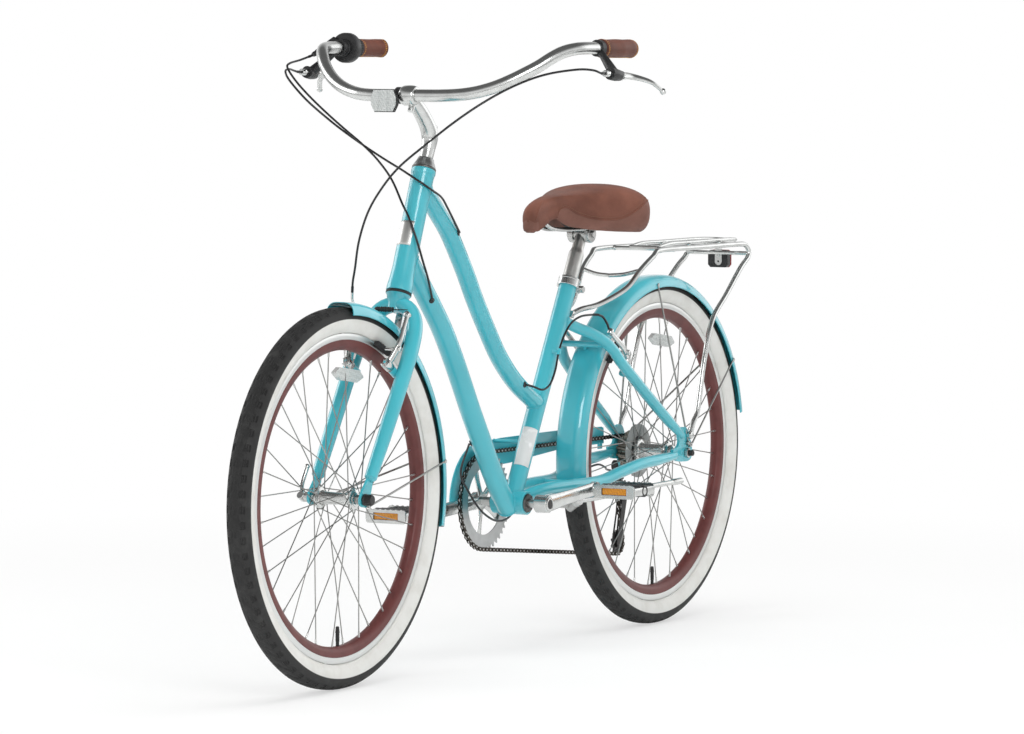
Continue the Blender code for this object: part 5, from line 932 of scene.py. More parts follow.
# %% A tube whose ends fit their neighbours, and its weld
def fitted_tube(bm, points, radius, segments=28, radii=None, start=None, end=None):
    """start and end are (place, axis, radius) of the round tubes that this one meets."""
    made = bmesh.new()
    tube(made, points, radius, segments, radii, caps=False)
    made.verts.ensure_lookup_table()
    for joint, verts, a, b in ((start, made.verts[:segments], points[0], points[1]),
                               (end, made.verts[-segments:], points[-1], points[-2])):
        if joint is None:
            continue
        along = (b - a).normalized()
        bead = []
        for vert in verts:
            bead.append(onto(vert.co, along, joint[0], joint[1], joint[2] + 0.0003))
            vert.co = onto(vert.co, along, joint[0], joint[1], joint[2] - 0.0012)
        centre = sum(bead, Vector()) / len(bead)
        order = [centre + (p - centre) * 1.02 for p in bead]
        order += order[:2]
        tube(bm, order, 0.0016, 6, [0.0013 + 0.0005 * (i % 2) for i in range(len(order))])
    join(bm, made)


def rounded(points, steps=6):
    """A closed outline with soft corners through the given points."""
    made, count = [], len(points)
    for i in range(count):
        four = [Vector(points[(i + k) % count]) for k in (-1, 0, 1, 2)]
        made += [tuple(soft_point(*four, step / steps)) for step in range(steps)]
    return made

# %% Courses of the bent tubes: share of the way, bow upwards, side
TOP_TUBE_COURSE = (
    (0.0, 0.0, 0), (0.073, 0.0057, 0), (0.128, 0.0072, 0), (0.19, 0.009, 0), (0.25, 0.0075, 0),
    (0.371, -0.0019, 0), (0.483, -0.0145, 0), (0.604, -0.024, 0), (0.7, -0.0295, 0), (0.79, -0.0275, 0),
    (0.87, -0.02, 0), (0.94, -0.008, 0), (1.0, 0.003, 0),
)
DOWN_TUBE_COURSE = (
    (0.0, 0.004, 0), (0.1, 0.0085, 0), (0.2, 0.013, 0), (0.3, 0.0155, 0), (0.4, 0.012, 0),
    (0.5, 0.0055, 0), (0.608, -0.0025, 0), (0.72, -0.009, 0), (0.82, -0.015, 0), (0.9, -0.018, 0),
    (0.965, -0.016, 0),
)
SEAT_STAY_COURSE = (
    (0.0, 0.0, 0.004), (0.045, 0.004, 0.012), (0.092, 0.0076, 0.021), (0.15, 0.0125, 0.035),
    (0.215, 0.014, 0.048), (0.282, 0.011, 0.0555), (0.35, 0.004, 0.06), (0.5, 0.0014, 0.063),
    (0.655, 0.0, 0.066), (0.823, 0.0, 0.0685), (0.89, 0.0, 0.071), (0.96, 0.0, 0.0725),
)
CHAIN_STAY_COURSE = (
    (0.015, 0.004, 0.014), (0.07, 0.012, 0.024), (0.15, 0.0135, 0.034), (0.3, 0.006, 0.043),
    (0.48, -0.003, 0.05), (0.605, 0.0025, 0.058), (0.738, 0.006, 0.064), (0.86, 0.003, 0.067),
    (0.985, 0.0, 0.0695),
)
HEAD_JOINT = steer(HEAD_HIGH - 0.031)
DOWN_JOINT = steer(HEAD_LOW + 0.0615)
SEAT_JOINT = seat(0.196)
STAY_END = REAR_AXLE + vec(0.002, 0, 0.024)
CHAIN_STAY_END = REAR_AXLE + vec(0.0325, 0, -0.002)
REAR_BRAKE_OUT = vec(-0.557, 0, 0.8305).normalized()
REAR_POST_FOOT = at(-0.4064, 0.04, 0.5272) - REAR_BRAKE_OUT * 0.045
HEAD_TUBE = (steer(HEAD_LOW), HEAD_UP, 0.0205)
SEAT_TUBE = (CRANK_AXLE, SEAT_UP, 0.0168)
SHELL = (CRANK_AXLE, LEFT, 0.0215)

# %% Main frame
def brake_post(bm, foot, out):
    rod(bm, foot, foot + out * 0.0245, 0.0078, 0.0072, 24, 0.0008)
    rod(bm, foot, foot + out * 0.0465, 0.004, segments=16)


def make_frame():
    bm = bmesh.new()
    head = [(0.0166, 0.0), (0.0229, 0.0), (0.0235, 0.0008), (0.0235, 0.008), (0.0229, 0.0135),
            (0.0219, 0.022), (0.0211, 0.033), (0.0205, 0.047), (0.0205, 0.215), (0.0212, 0.2195),
            (0.022, 0.2222), (0.022, 0.2282), (0.0214, 0.2289), (0.0166, 0.2289)]
    turned(bm, head, axes(steer(HEAD_LOW), HEAD_UP), 64)
    fitted_tube(bm, smooth(bowed(HEAD_JOINT, SEAT_JOINT, TOP_TUBE_COURSE), 0.012), 0.0165,
                start=HEAD_TUBE, end=SEAT_TUBE)
    fitted_tube(bm, smooth(bowed(DOWN_JOINT, CRANK_AXLE, DOWN_TUBE_COURSE), 0.012), 0.019,
                start=HEAD_TUBE, end=SHELL)
    fitted_tube(bm, [seat(0.002), seat(0.15), seat(0.3), seat(0.4545)], 0.0168, 36, start=SHELL)
    shell = [(0.0174, -0.034), (0.0208, -0.034), (0.0215, -0.0332), (0.0215, 0.0332), (0.0208, 0.034),
             (0.0174, 0.034)]
    turned(bm, shell, across(CRANK_AXLE), 56)
    for _, side in SIDES:
        for begin, finish, bends, radii, tip, joint in (
                (seat(0.37), STAY_END, SEAT_STAY_COURSE,
                 [0.0105] * 9 + [0.0103, 0.0088, 0.0069], 0.004, SEAT_TUBE),
                (CRANK_AXLE, CHAIN_STAY_END, CHAIN_STAY_COURSE,
                 [0.0112] * 7 + [0.0108, 0.008], 0.005, SHELL)):
            course = [sided(p, side) for p in bowed(begin, finish, bends)]
            route = smooth(course, 0.01)
            fitted_tube(bm, route, radii[0], 24, fading(course, radii, route), start=joint)
            rod(bm, route[-1], route[-1] + (route[-1] - route[-2]).normalized() * 0.004, radii[-1], tip, 20)
        offsets = ((0.026, 0.043), (0.01, 0.05), (-0.004, 0.046), (-0.014, 0.031), (-0.0245, 0.01),
                   (-0.0235, -0.008), (-0.012, -0.0155), (0.01, -0.016), (0.04, -0.012),
                   (0.052, 0.0075), (0.042, 0.0105), (0.031, 0.015), (0.0265, 0.024), (0.03, 0.034))
        outline = rounded([(REAR_AXLE.x + x, REAR_AXLE.z + z) for x, z in offsets], 4)
        raised(bm, outline, 0.0055, standing(side * 0.07025))
        foot = sided(REAR_POST_FOOT, side)
        brake_post(bm, foot, REAR_BRAKE_OUT)
        link = foot + REAR_BRAKE_OUT * 0.006
        rod(bm, link, link + vec(0, side * 0.018, 0.002), 0.007, segments=16)
    for degrees, lean in ((38.5, 0.051), (-5.5, 0.044)):
        bar = round_axle(REAR_AXLE, 0.3551, degrees)
        side_rod(bm, bar, -lean, lean, 0.006, segments=20)
        rod(bm, bar, round_axle(REAR_AXLE, 0.3401, degrees), 0.0048, 0.0042, 16)
    low = REAR_AXLE + vec(-0.008, 0, -0.032)
    hanger = ((REAR_AXLE.x - 0.018, REAR_AXLE.z), (low.x - 0.009, low.z), (low.x, low.z - 0.009),
              (low.x + 0.009, low.z), (REAR_AXLE.x + 0.01, REAR_AXLE.z - 0.006))
    raised(bm, rounded(hanger, 4), 0.0055, standing(-0.07025))
    return piece(bm, "frame_look", paint, "frame", "main_frame", 35, 0.0006)


frame_look = make_frame()
print("frame faces", len(frame_look.data.polygons))

# %% Grommets where the cables enter the frame
def tube_side(start, end, course, radius, share, degrees):
    """A place on a bowed tube's skin and its outward direction, turned from the left upwards."""
    shares = [step[0] for step in course]
    index = max(i for i in range(len(shares) - 1) if shares[i] <= share)
    points = bowed(start, end, [(s, b, 0) for s, b, _ in course])
    a, b = points[index], points[index + 1]
    centre = a.lerp(b, (share - shares[index]) / (shares[index + 1] - shares[index]))
    along = (b - a).normalized()
    upward = vec(along.z, 0, -along.x)
    turn = radians(degrees)
    out = LEFT * cos(turn) + upward * sin(turn)
    return centre + out * radius, out, along


PORTS = {
    "shift_in": tube_side(DOWN_JOINT, CRANK_AXLE, DOWN_TUBE_COURSE, 0.019, 0.165, -32),
    "brake_in": tube_side(HEAD_JOINT, SEAT_JOINT, TOP_TUBE_COURSE, 0.0165, 0.229, 20),
    "brake_out": tube_side(HEAD_JOINT, SEAT_JOINT, TOP_TUBE_COURSE, 0.0165, 0.86, 0),
    "shift_out": tube_side(DOWN_JOINT, CRANK_AXLE, DOWN_TUBE_COURSE, 0.019, 0.72, 218),
}
bm = bmesh.new()
for place, out, along in PORTS.values():
    matrix = axes(place - out * 0.0006, out, along) @ Matrix.Diagonal((1.5, 1.0, 1.0, 1))
    turned(bm, [(0.0037, 0.0), (0.0036, 0.001), (0.0031, 0.002), (0.0021, 0.0026), (0.0, 0.0026)],
           matrix, 28, closed=False)
piece(bm, "cable_grommets", black_rubber, "frame")

# %% Bare badge plate on the head tube, and a plain band on the seat tube
def curved_plate(name, finish, foot, up, toward, spread, steps, profile, replaces=None):
    """A thin plate bent round a tube: its profile is spun through a part of a turn."""
    bm = bmesh.new()
    matrix = axes(foot, up, toward) @ turn_about("Z", -spread / 2)
    turned(bm, profile, matrix, steps, radians(spread), closed=True)
    bmesh.ops.holes_fill(bm, edges=[e for e in bm.edges if e.is_boundary], sides=0)
    piece(bm, name, finish, "frame", replaces)


curved_plate("badge_plate", satin_metal, steer(HEAD_LOW + 0.082), HEAD_UP, HEAD_FORWARD, 78, 28, [
    (0.02085, 0.0), (0.0213, 0.0006), (0.0217, 0.004), (0.0217, 0.041), (0.0213, 0.0444),
    (0.02085, 0.045)], "head_badge")
band_white = moulded("white_film", "paint", (0.74, 0.75, 0.745), 0.4, 900, 0.02)
curved_plate("seat_tube_band", band_white, seat(0.069), SEAT_UP, (0.868, 0.497, 0), 104, 32, [
    (0.01705, 0.0), (0.01725, 0.0003), (0.01725, 0.0757), (0.01705, 0.076)])
print("grommets", len(PORTS))

# %% [markdown]
# ## Fork, headset and crank bearing
# The fork's two blades start together under the head tube, spread over the wheel and curve forward.
# One sweep with a changing radius makes each blade. The headset has a dark seal below and a bright
# bell-shaped cover above, both spun about the steering axis.

# %% Fork
BLADE_COURSE = (
    (0.3765, 0.0, 0.0), (0.3751, 0.0, 0.012), (0.3676, 0.0, 0.028), (0.3503, 0.0003, 0.042),
    (0.3272, 0.0039, 0.05), (0.29, 0.0105, 0.0545), (0.2552, 0.0166, 0.0555), (0.139, 0.0372, 0.055),
    (0.042, 0.0545, 0.0535),
)
BLADE_RADII = (0.0143, 0.0143, 0.0143, 0.0143, 0.0143, 0.0143, 0.014, 0.013, 0.0112)
FORK_OFFSET = 0.0626
FRONT_BRAKE_OUT = vec(0.848, 0, 0.53).normalized()
FRONT_POST = steer(0.2421, 0.0181, 0.04)


def make_fork():
    bm = bmesh.new()
    crown = BLADE_COURSE[0][0]
    seal = HEAD_LOW - 0.0004
    socket = [(0.0, crown - 0.012), (0.015, crown - 0.012), (0.0158, crown - 0.004),
              (0.017, crown + 0.003), (0.0205, seal - 0.0075), (0.0222, seal - 0.0058),
              (0.0225, seal - 0.005), (0.0127, seal - 0.005), (0.0127, 0.649), (0.0, 0.649)]
    turned(bm, socket, axes(STEER_FOOT, HEAD_UP), 48, closed=False)
    for _, side in SIDES:
        course = [steer(a, f, side * y) for a, f, y in BLADE_COURSE]
        route = smooth(course, 0.008)
        tube(bm, route, 0.014, 32, fading(course, BLADE_RADII, route))
        end = BLADE_COURSE[-1]
        rod(bm, route[-1], route[-1] + (route[-1] - route[-2]).normalized() * 0.006, 0.0112, 0.006, 24)
        outline = []
        for a, f in ((end[0] + 0.02, end[1] - 0.006), (end[0] - 0.012, end[1] - 0.0095),
                     (0.006, FORK_OFFSET - 0.0175), (-0.0075, FORK_OFFSET - 0.0165),
                     (-0.013, FORK_OFFSET), (-0.008, FORK_OFFSET + 0.0105),
                     (0.008, FORK_OFFSET + 0.011),
                     (end[0] - 0.004, end[1] + 0.009), (end[0] + 0.02, end[1] + 0.005)):
            point = steer(a, f)
            outline.append((point.x, point.z))
        raised(bm, rounded(outline, 5), 0.0045, standing(side * 0.05225))
        brake_post(bm, sided(FRONT_POST, side), FRONT_BRAKE_OUT)
    look(bm, "fork", paint, 35, 0.0005)


make_fork()

# %% Headset seal, cover and the bearing of the cranks
BELL_FOOT = HEAD_HIGH + 0.0003
for name, finish, along, replaces, profile in (
        ("headset_seal", black_rubber, HEAD_LOW - 0.0004, None, (
            (0.0128, -0.0048), (0.0224, -0.0048), (0.023, -0.004), (0.023, -0.0012), (0.0224, -0.0003),
            (0.0128, -0.0003))),
        ("headset_lip", dark_steel, BELL_FOOT, None, (
            (0.013, 0.0), (0.0212, 0.0), (0.0216, 0.0006), (0.0216, 0.0034), (0.0212, 0.004),
            (0.0206, 0.0043), (0.013, 0.0043))),
        ("headset_bell", bell_metal, BELL_FOOT, "headset_cover", (
            (0.013, 0.0044), (0.0204, 0.0044), (0.02, 0.0066), (0.0184, 0.0105), (0.0166, 0.014),
            (0.0153, 0.017), (0.0148, 0.0192), (0.0143, 0.0208), (0.013, 0.0208)))):
    bm = bmesh.new()
    turned(bm, profile, axes(steer(along), HEAD_UP), 56)
    piece(bm, name, finish, "steering", replaces)
bm = bmesh.new()
cup = [(0.0086, -0.0373), (0.0165, -0.0373), (0.0165, 0.0362), (0.0158, 0.0372), (0.0086, 0.0372)]
turned(bm, cup, across(CRANK_AXLE), 40)
for step in range(8):
    spot = round_axle(CRANK_AXLE, 0.015, step * 45, 0.0362)
    block(bm, spot, (0.003, 0.0032, 0.004), turn_about("Y", -step * 45), 0.0004, 1)
piece(bm, "crank_bearing", dark_steel, "frame", "bottom_bracket")

# %% [markdown]
# ## Fenders
# A fender is a thin sheet rolled to the wheel's curve with its edges folded in for stiffness. Its
# section is drawn once, outside and inside, and spun through the arc that it covers. The wire stays
# end in a small eye under a bolt.

# %% Rolled sheet
FENDER_RADIUS, FENDER_WALL, FENDER_LIP = 0.3393, 0.0014, 0.0216
STAY_EYE = 0.323


def fender_section(half):
    """One fender's section as (radius, side) pairs, outside and then inside."""
    soft = smooth([vec(s * half, -d * FENDER_LIP, 0) for s, d in (
        (-1.0, 1.0), (-0.955, 0.62), (-0.86, 0.34), (-0.66, 0.12), (-0.42, 0.02), (0, 0), (0.42, 0.02),
        (0.66, 0.12), (0.86, 0.34), (0.955, 0.62), (1.0, 1.0))], 0.0036)
    outer = [(FENDER_RADIUS + p.y, p.x) for p in soft]
    inner = []
    for (r, y) in reversed(outer):
        lean = min(1.0, abs(y) / half) ** 6
        inner.append((r - FENDER_WALL * (1 - lean), y - copysign(FENDER_WALL * lean, y)))
    return outer + inner


def make_fender(end, axle, arc, half):
    bm = bmesh.new()
    first, last = (radians(a) for a in arc)
    matrix = across(axle) @ Matrix.Rotation(-last, 4, "Z")
    turned(bm, fender_section(half), matrix, round((last - first) / radians(2.5)), last - first,
           closed=True)
    bmesh.ops.remove_doubles(bm, verts=bm.verts, dist=1e-6)
    bmesh.ops.holes_fill(bm, edges=[e for e in bm.edges if e.is_boundary], sides=0)
    for side in (1, -1):
        edge = [round_axle(axle, FENDER_RADIUS - 0.0214, arc[0] + (arc[1] - arc[0]) * i / 60,
                           side * (half - 0.0009)) for i in range(61)]
        tube(bm, edge, 0.0014, 8)
    look(bm, end + "_fender", paint, 50)


make_fender("front", FRONT_AXLE, (92, 193), 0.028)
make_fender("rear", REAR_AXLE, (-7, 170), 0.03)

# %% Stays, eyes and bolts
def fender_stay(bolts, stays, start, end, bend, side):
    tube(stays, smooth([start, bend, bend.lerp(end, 0.05), end], 0.01), 0.0018, 10)
    ring = axes(start, LEFT * side)
    turned(stays, [(0.0024, -0.0016), (0.0046, -0.0016), (0.0046, 0.0016), (0.0024, 0.0016)], ring, 20)
    bolt(bolts, start + LEFT * side * 0.001, LEFT * side, 0.004, 0.0026)
    hex_nut(bolts, end - LEFT * side * 0.0004, LEFT * side, 0.0038, 0.0026)


bolts, stays = bmesh.new(), bmesh.new()
for _, side in SIDES:
    start = FRONT_AXLE + vec(-0.0117, side * 0.0566, -0.0107)
    end = round_axle(FRONT_AXLE, STAY_EYE, 172.5, side * 0.0277)
    fender_stay(bolts, stays, start, end, start + vec(-0.012, side * 0.0015, 0.0015), side)
rod(bolts, steer(0.358, -0.015), steer(0.358, -0.0128), 0.005, segments=18, edge=0.0005)
piece(stays, "front_fender_stays", spoke_steel, "steering")
piece(bolts, "front_fender_bolts", steel, "steering")
bm = bmesh.new()
base = sqrt(0.3386 ** 2 - (FORK_OFFSET + 0.0178) ** 2)
tab = axes(steer((base + 0.372) / 2), HEAD_UP, HEAD_FORWARD)
block(bm, steer((base + 0.372) / 2, -0.0178), (0.0018, 0.014, 0.372 - base + 0.002), tab, 0.0006, 2)
piece(bm, "front_fender_tab", steel, "steering")
bolts, stays = bmesh.new(), bmesh.new()
for _, side in SIDES:
    start = REAR_AXLE + vec(-0.0125, side * 0.0751, 0.0145)
    end = round_axle(REAR_AXLE, STAY_EYE, 150, side * 0.0297)
    fender_stay(bolts, stays, start, end, start + vec(-0.013, 0, 0.006), side)
    upper = round_axle(REAR_AXLE, STAY_EYE, 84, side * 0.0297)
    eye = REAR_AXLE + vec(-0.004, side * 0.0751, 0.0185)
    fender_stay(bolts, stays, eye, upper, eye + vec(0.001, -side * 0.001, 0.01), side)
for degrees in (38.5, -5.5):
    spot = round_axle(REAR_AXLE, 0.3366, degrees)
    out = (spot - REAR_AXLE).normalized()
    bolt(bolts, spot, -out, 0.0042, 0.0024)
piece(stays, "rear_fender_stays", spoke_steel, "frame")
piece(bolts, "rear_fender_bolts", steel, "frame")
print("fenders made", len(made_names))

# %% [markdown]
# ## The saddle
# A wide padded saddle is foam over a stiff shell, covered in imitation leather. A ring of points is
# extruded from nose to tail, and each point is moved onto a soft rounded section, so the cover is one
# closed form. A welt follows the seam of the side panel, and thread runs beside it.

# %% Sections of the saddle: share of its length, half width, top and bottom heights
SADDLE_FRONT, SADDLE_REAR = -0.095, -0.378
SADDLE_SECTIONS = (
    (-0.012, 0.002, 0.796, 0.786), (-0.007, 0.0085, 0.802, 0.776), (0.0, 0.013, 0.8065, 0.769),
    (0.03, 0.0162, 0.814, 0.7655), (0.08, 0.018, 0.82, 0.77), (0.14, 0.0195, 0.825, 0.778),
    (0.19, 0.0215, 0.828, 0.785), (0.235, 0.0245, 0.83, 0.787), (0.275, 0.0282, 0.8315, 0.779),
    (0.34, 0.0345, 0.8333, 0.771), (0.45, 0.048, 0.836, 0.765), (0.56, 0.067, 0.8388, 0.7605),
    (0.68, 0.092, 0.843, 0.757), (0.79, 0.11, 0.848, 0.755), (0.89, 0.116, 0.85, 0.754),
    (0.95, 0.107, 0.848, 0.756), (0.985, 0.088, 0.842, 0.764), (1.0, 0.064, 0.834, 0.78),
    (1.006, 0.03, 0.824, 0.798), (1.008, 0.006, 0.818, 0.806),
)
SEAM = ((0.235, 0.02), (0.242, 0.2), (0.252, 0.4), (0.27, 0.55), (0.3, 0.63), (0.335, 0.6),
        (0.385, 0.48), (0.47, 0.37), (0.52, 0.34), (0.59, 0.32), (0.67, 0.35), (0.725, 0.42),
        (0.81, 0.58), (0.87, 0.67), (0.94, 0.7), (1.02, 0.72))
SEAM_START = 0.235
RIDGE = ((-0.02, 0.3), (0.0, 0.45), (0.01, 0.62), (0.03, 0.8), (0.06, 0.9), (0.1, 0.95),
         (0.2, 0.958), (0.33, 0.95), (0.45, 0.93), (0.56, 0.92), (0.62, 0.93))
LIP = -0.85


def eased(table, where):
    """The row of a table at a place, eased between its rows; the first column is the place."""
    where = min(max(where, table[0][0]), table[-1][0])
    k = max(i for i in range(len(table) - 1) if table[i][0] <= where)
    rows = [table[max(0, k - 1)], table[k], table[k + 1], table[min(len(table) - 1, k + 2)]]
    t = (where - rows[1][0]) / (rows[2][0] - rows[1][0])
    values = []
    for a, b, c, d in zip(*(row[1:] for row in rows)):
        step = rows[2][0] - rows[1][0]
        m0 = (c - a) * step / max(rows[2][0] - rows[0][0], 1e-9)
        m1 = (d - b) * step / max(rows[3][0] - rows[1][0], 1e-9)
        values.append(b * (2 * t ** 3 - 3 * t * t + 1) + m0 * (t ** 3 - 2 * t * t + t)
                      + c * (3 * t * t - 2 * t ** 3) + m1 * (t ** 3 - t * t))
    return values


def hump(value, centre, width):
    return exp(-((value - centre) / width) ** 2)


def saddle_point(share, turn, proud=0.0):
    """A point on the saddle's skin; turn runs from the left side over the top, then under the shell."""
    half, top, low = eased(SADDLE_SECTIONS, share)
    side, rise = cos(turn), sin(turn)
    crown = 0.58 + max(0.0, share - 0.4) * 0.6
    across_it = copysign(abs(side) ** (crown if rise > 0 else 0.3), side)
    lift = copysign(abs(rise) ** (0.86 if rise > 0 else 0.8), rise)
    high = (lift + 1) / 2
    below = min(1.0, max(0.0, (eased(SEAM, share)[0] - high) * 12)) if share > SEAM_START else 0.0
    fade = min(1.0, max(0.0, (0.6 - share) * 4)) * min(1.0, max(0.0, (share + 0.006) * 60))
    dip = 0.004 * hump(high, 0.52, 0.22) * hump(share, 0.2, 0.16)
    bowl = 0.005 * hump(high, 0.62, 0.2) * hump(share, 0.66, 0.13)
    reach = proud - 0.0012 * below + 0.0009 * fade * hump(high, eased(RIDGE, share)[0], 0.05) - dip - bowl
    z = (top + low) / 2 + ((top - low) / 2 + reach) * lift
    if rise < LIP:
        under = (LIP - rise) / (1 + LIP)
        ceiling = top - 0.03
        climb = min(1.0, under * 4) * min(1.0, max(0.0, min(share - 0.02, 0.97 - share) * 14))
        across_it *= 0.94 - 0.1 * min(1.0, under * 4)
        z += (ceiling - z) * climb
    x = SADDLE_FRONT + (SADDLE_REAR - SADDLE_FRONT) * share
    return at(x, (half + reach) * across_it, z)


def turn_at(share, high):
    """The turn whose height on the left side is that share of the section."""
    lift = 2 * high - 1
    return asin(min(1.0, lift ** (1 / 0.86))) if lift > 0 else -asin((-lift) ** (1 / 0.8))

# %% Cover of the saddle: a ring drawn out, then each point set on the soft form
RING, STEPS = 144, 110


def share_of(step):
    return 1.02 * (0.5 - 0.5 * cos(pi * step / STEPS)) - 0.012


bm = bmesh.new()
sweep(bm, [Matrix.Translation((0, 0, step)) for step in range(STEPS + 1)], RING)
for face in bm.faces:
    middle = face.calc_center_median()
    share, rise = share_of(middle.z), middle.normalized().y if middle.xy.length < 0.5 else middle.y
    lift = copysign(abs(rise) ** (0.86 if rise > 0 else 0.8), rise)
    if rise < LIP - 0.01 and 0.02 < share < 0.97:
        face.material_index = 2
    elif share > SEAM_START and (lift + 1) / 2 < eased(SEAM, share)[0]:
        face.material_index = 1
    elif share < 0.035 and (lift + 1) / 2 < 0.42:
        face.material_index = 1
for vert in bm.verts:
    vert.co = saddle_point(share_of(vert.co.z), atan2(vert.co.y, vert.co.x))
saddle_side = leather_finish("saddle_side_leather", (0.222, 0.1, 0.074), (0.158, 0.066, 0.048), 900)
saddle = look(bm, "saddle", [leather, saddle_side, black_plastic], 60)

# %% Welt and stitches along the seam
bm = bmesh.new()
stitches = bmesh.new()
for _, side in SIDES:
    line, sewn = [], []
    for i in range(60):
        share = 0.238 + 0.76 * i / 59
        high = eased(SEAM, share)[0]
        line.append(sided(saddle_point(share, turn_at(share, high)), side))
        sewn.append(sided(saddle_point(share, turn_at(share, min(0.97, high + 0.055)), 0.0002), side))
    tube(bm, smooth(line, 0.004), 0.0011, 8)
    route = smooth(sewn, 0.0042)
    for i in range(0, len(route) - 2):
        a, b = route[i], route[i].lerp(route[i + 1], 0.62)
        rod(stitches, a, b, 0.00045, segments=6)
    line = [sided(saddle_point(s / 60, turn_at(s / 60, eased(RIDGE, s / 60)[0])), side) for s in range(0, 24)]
    tube(bm, smooth(line, 0.005), 0.0005, 8)
piece(bm, "saddle_welt", leather, "saddle")
brown_thread = moulded("brown_thread", "leather", (0.2, 0.09, 0.055), 0.6, 3000, 0.3)
piece(stitches, "saddle_stitches", brown_thread, "saddle")
print("saddle faces", len(saddle.data.polygons))

# %% [markdown]
# ## Seat post, rails and clamps
# The post is a plain polished tube with a smaller neck. Two serrated discs hold the saddle's rails
# beside it, so the saddle tips on them. A collar with a lever grips the post where it enters the frame.

# %% Seat post
POST_TOP = 0.549
POST_HEAD = seat(POST_TOP)
bm = bmesh.new()
post = [(0.0, 0.335), (0.0143, 0.335), (0.0143, 0.506), (0.0139, 0.5085), (0.0118, 0.515),
        (0.0113, 0.518), (0.0112, POST_TOP), (0.0, POST_TOP)]
turned(bm, post, axes(CRANK_AXLE, SEAT_UP), 48, closed=False)
side_rod(bm, POST_HEAD, -0.0115, 0.0115, 0.012, segments=36, edge=0.0008)
for step in range(6):
    place = seat(0.475 - step * 0.006)
    turned(bm, [(0.0143, 0), (0.01445, 0.0002), (0.01445, 0.0004), (0.0143, 0.0006)],
           axes(place, SEAT_UP), 48, closed=True)
look(bm, "seat_post", satin_metal)

# %% Rails and their clamp
bm = bmesh.new()
for _, side in SIDES:
    front, rear = POST_HEAD.x + 0.1519, POST_HEAD.x - 0.0441
    y, z = side * 0.018, POST_HEAD.z
    rail = [(front, side * 0.0055, z + 0.042), (front, side * 0.0055, z + 0.032),
            (front - 0.012, side * 0.008, z + 0.019), (front - 0.04, side * 0.013, z + 0.0125),
            (POST_HEAD.x + 0.05, y, z + 0.0105), (POST_HEAD.x - 0.03, y, z + 0.0105),
            (rear + 0.014, side * 0.024, z + 0.018), (rear, side * 0.026, z + 0.03),
            (rear, side * 0.026, z + 0.042)]
    tube(bm, smooth(rail, 0.006), 0.0035, 14)
    disc = [(0.0, 0.0), (0.015, 0.0), (0.0155, 0.0006), (0.0155, 0.01), (0.0146, 0.0112), (0.008, 0.0117),
            (0.0, 0.0117)]
    matrix = axes((POST_HEAD.x, side * 0.0118, POST_HEAD.z), LEFT * side)
    turned(bm, disc, matrix, 40, closed=False)
    for step in range(20):
        spot = matrix @ vec(*on_circle(0.0153, step * 0.314), 0.0055)
        rod(bm, spot - LEFT * 0.004, spot + LEFT * 0.004, 0.0007, segments=6)
    hex_nut(bm, matrix @ vec(0, 0, 0.0115), LEFT * side, 0.007, 0.005)
block(bm, POST_HEAD + vec(0, 0, 0.017), (0.026, 0.046, 0.006), None, 0.0016, 3)
piece(bm, "saddle_rails", steel, "saddle", "saddle_clamp")

# %% Seat collar with its lever
bm = bmesh.new()
COLLAR_TOP, COLLAR_HEIGHT = 0.455, 0.017
low = COLLAR_TOP - COLLAR_HEIGHT
collar = [(0.0175, 0.0), (0.0202, 0.0), (0.0208, 0.0006), (0.0208, 0.004), (0.0203, 0.0046),
          (0.0203, 0.0124), (0.0208, 0.013), (0.0208, 0.0164), (0.0202, COLLAR_HEIGHT),
          (0.0175, COLLAR_HEIGHT)]
turned(bm, collar, axes(seat(low), SEAT_UP), 56)
frame_turn = axes(seat(0), SEAT_UP, SEAT_BACK)
middle = seat(low + COLLAR_HEIGHT / 2, 0.025)
for side in (1, -1):
    block(bm, middle + LEFT * side * 0.0058, (0.014, 0.0084, 0.012), frame_turn, 0.0016, 3)
rod(bm, middle + LEFT * 0.017, middle - LEFT * 0.0105, 0.003, segments=16)
hex_nut(bm, middle + LEFT * 0.0097, LEFT, 0.0066, 0.0102)
piece(bm, "seat_collar", polished, "frame", "seat_clamp")


def cam_lever(name, node, cam, reach, half, edge, bend, end, wide, knob):
    """A quick-release lever: its cam, and a flat blade that ends in a knob."""
    bm = bmesh.new()
    hinge = reach.cross(LEFT)
    rod(bm, cam - hinge * half, cam + hinge * half, 0.007, segments=28, edge=edge)
    tip = cam + reach * end[0] - LEFT * end[1]
    route = smooth([cam, cam + reach * bend[0] - LEFT * bend[1], tip], 0.004)
    tube(bm, route, 0.0042, 16, [(wide, 0.0034)] * len(route))
    dome(bm, tip, knob, 16)
    piece(bm, name, polished, body_of(node), node)


cam_lever("seat_lever_look", "seat_clamp_lever", middle - LEFT * 0.0178,
          (SEAT_BACK * 0.18 - SEAT_UP * 0.98).normalized(), 0.007, 0.0006, (0.02, 0.012), (0.046, 0.017),
          0.0052, 0.0052)
print("seat done", len(made_names))

# %% [markdown]
# ## Handlebar, stem and controls
# The bar is one long bend, drawn from the stem clamp to each grip. A place on it is found by its
# distance from the bar's end, so the grips, the twist shifter and the lever mounts can be slid along
# it as a mechanic would slide them.

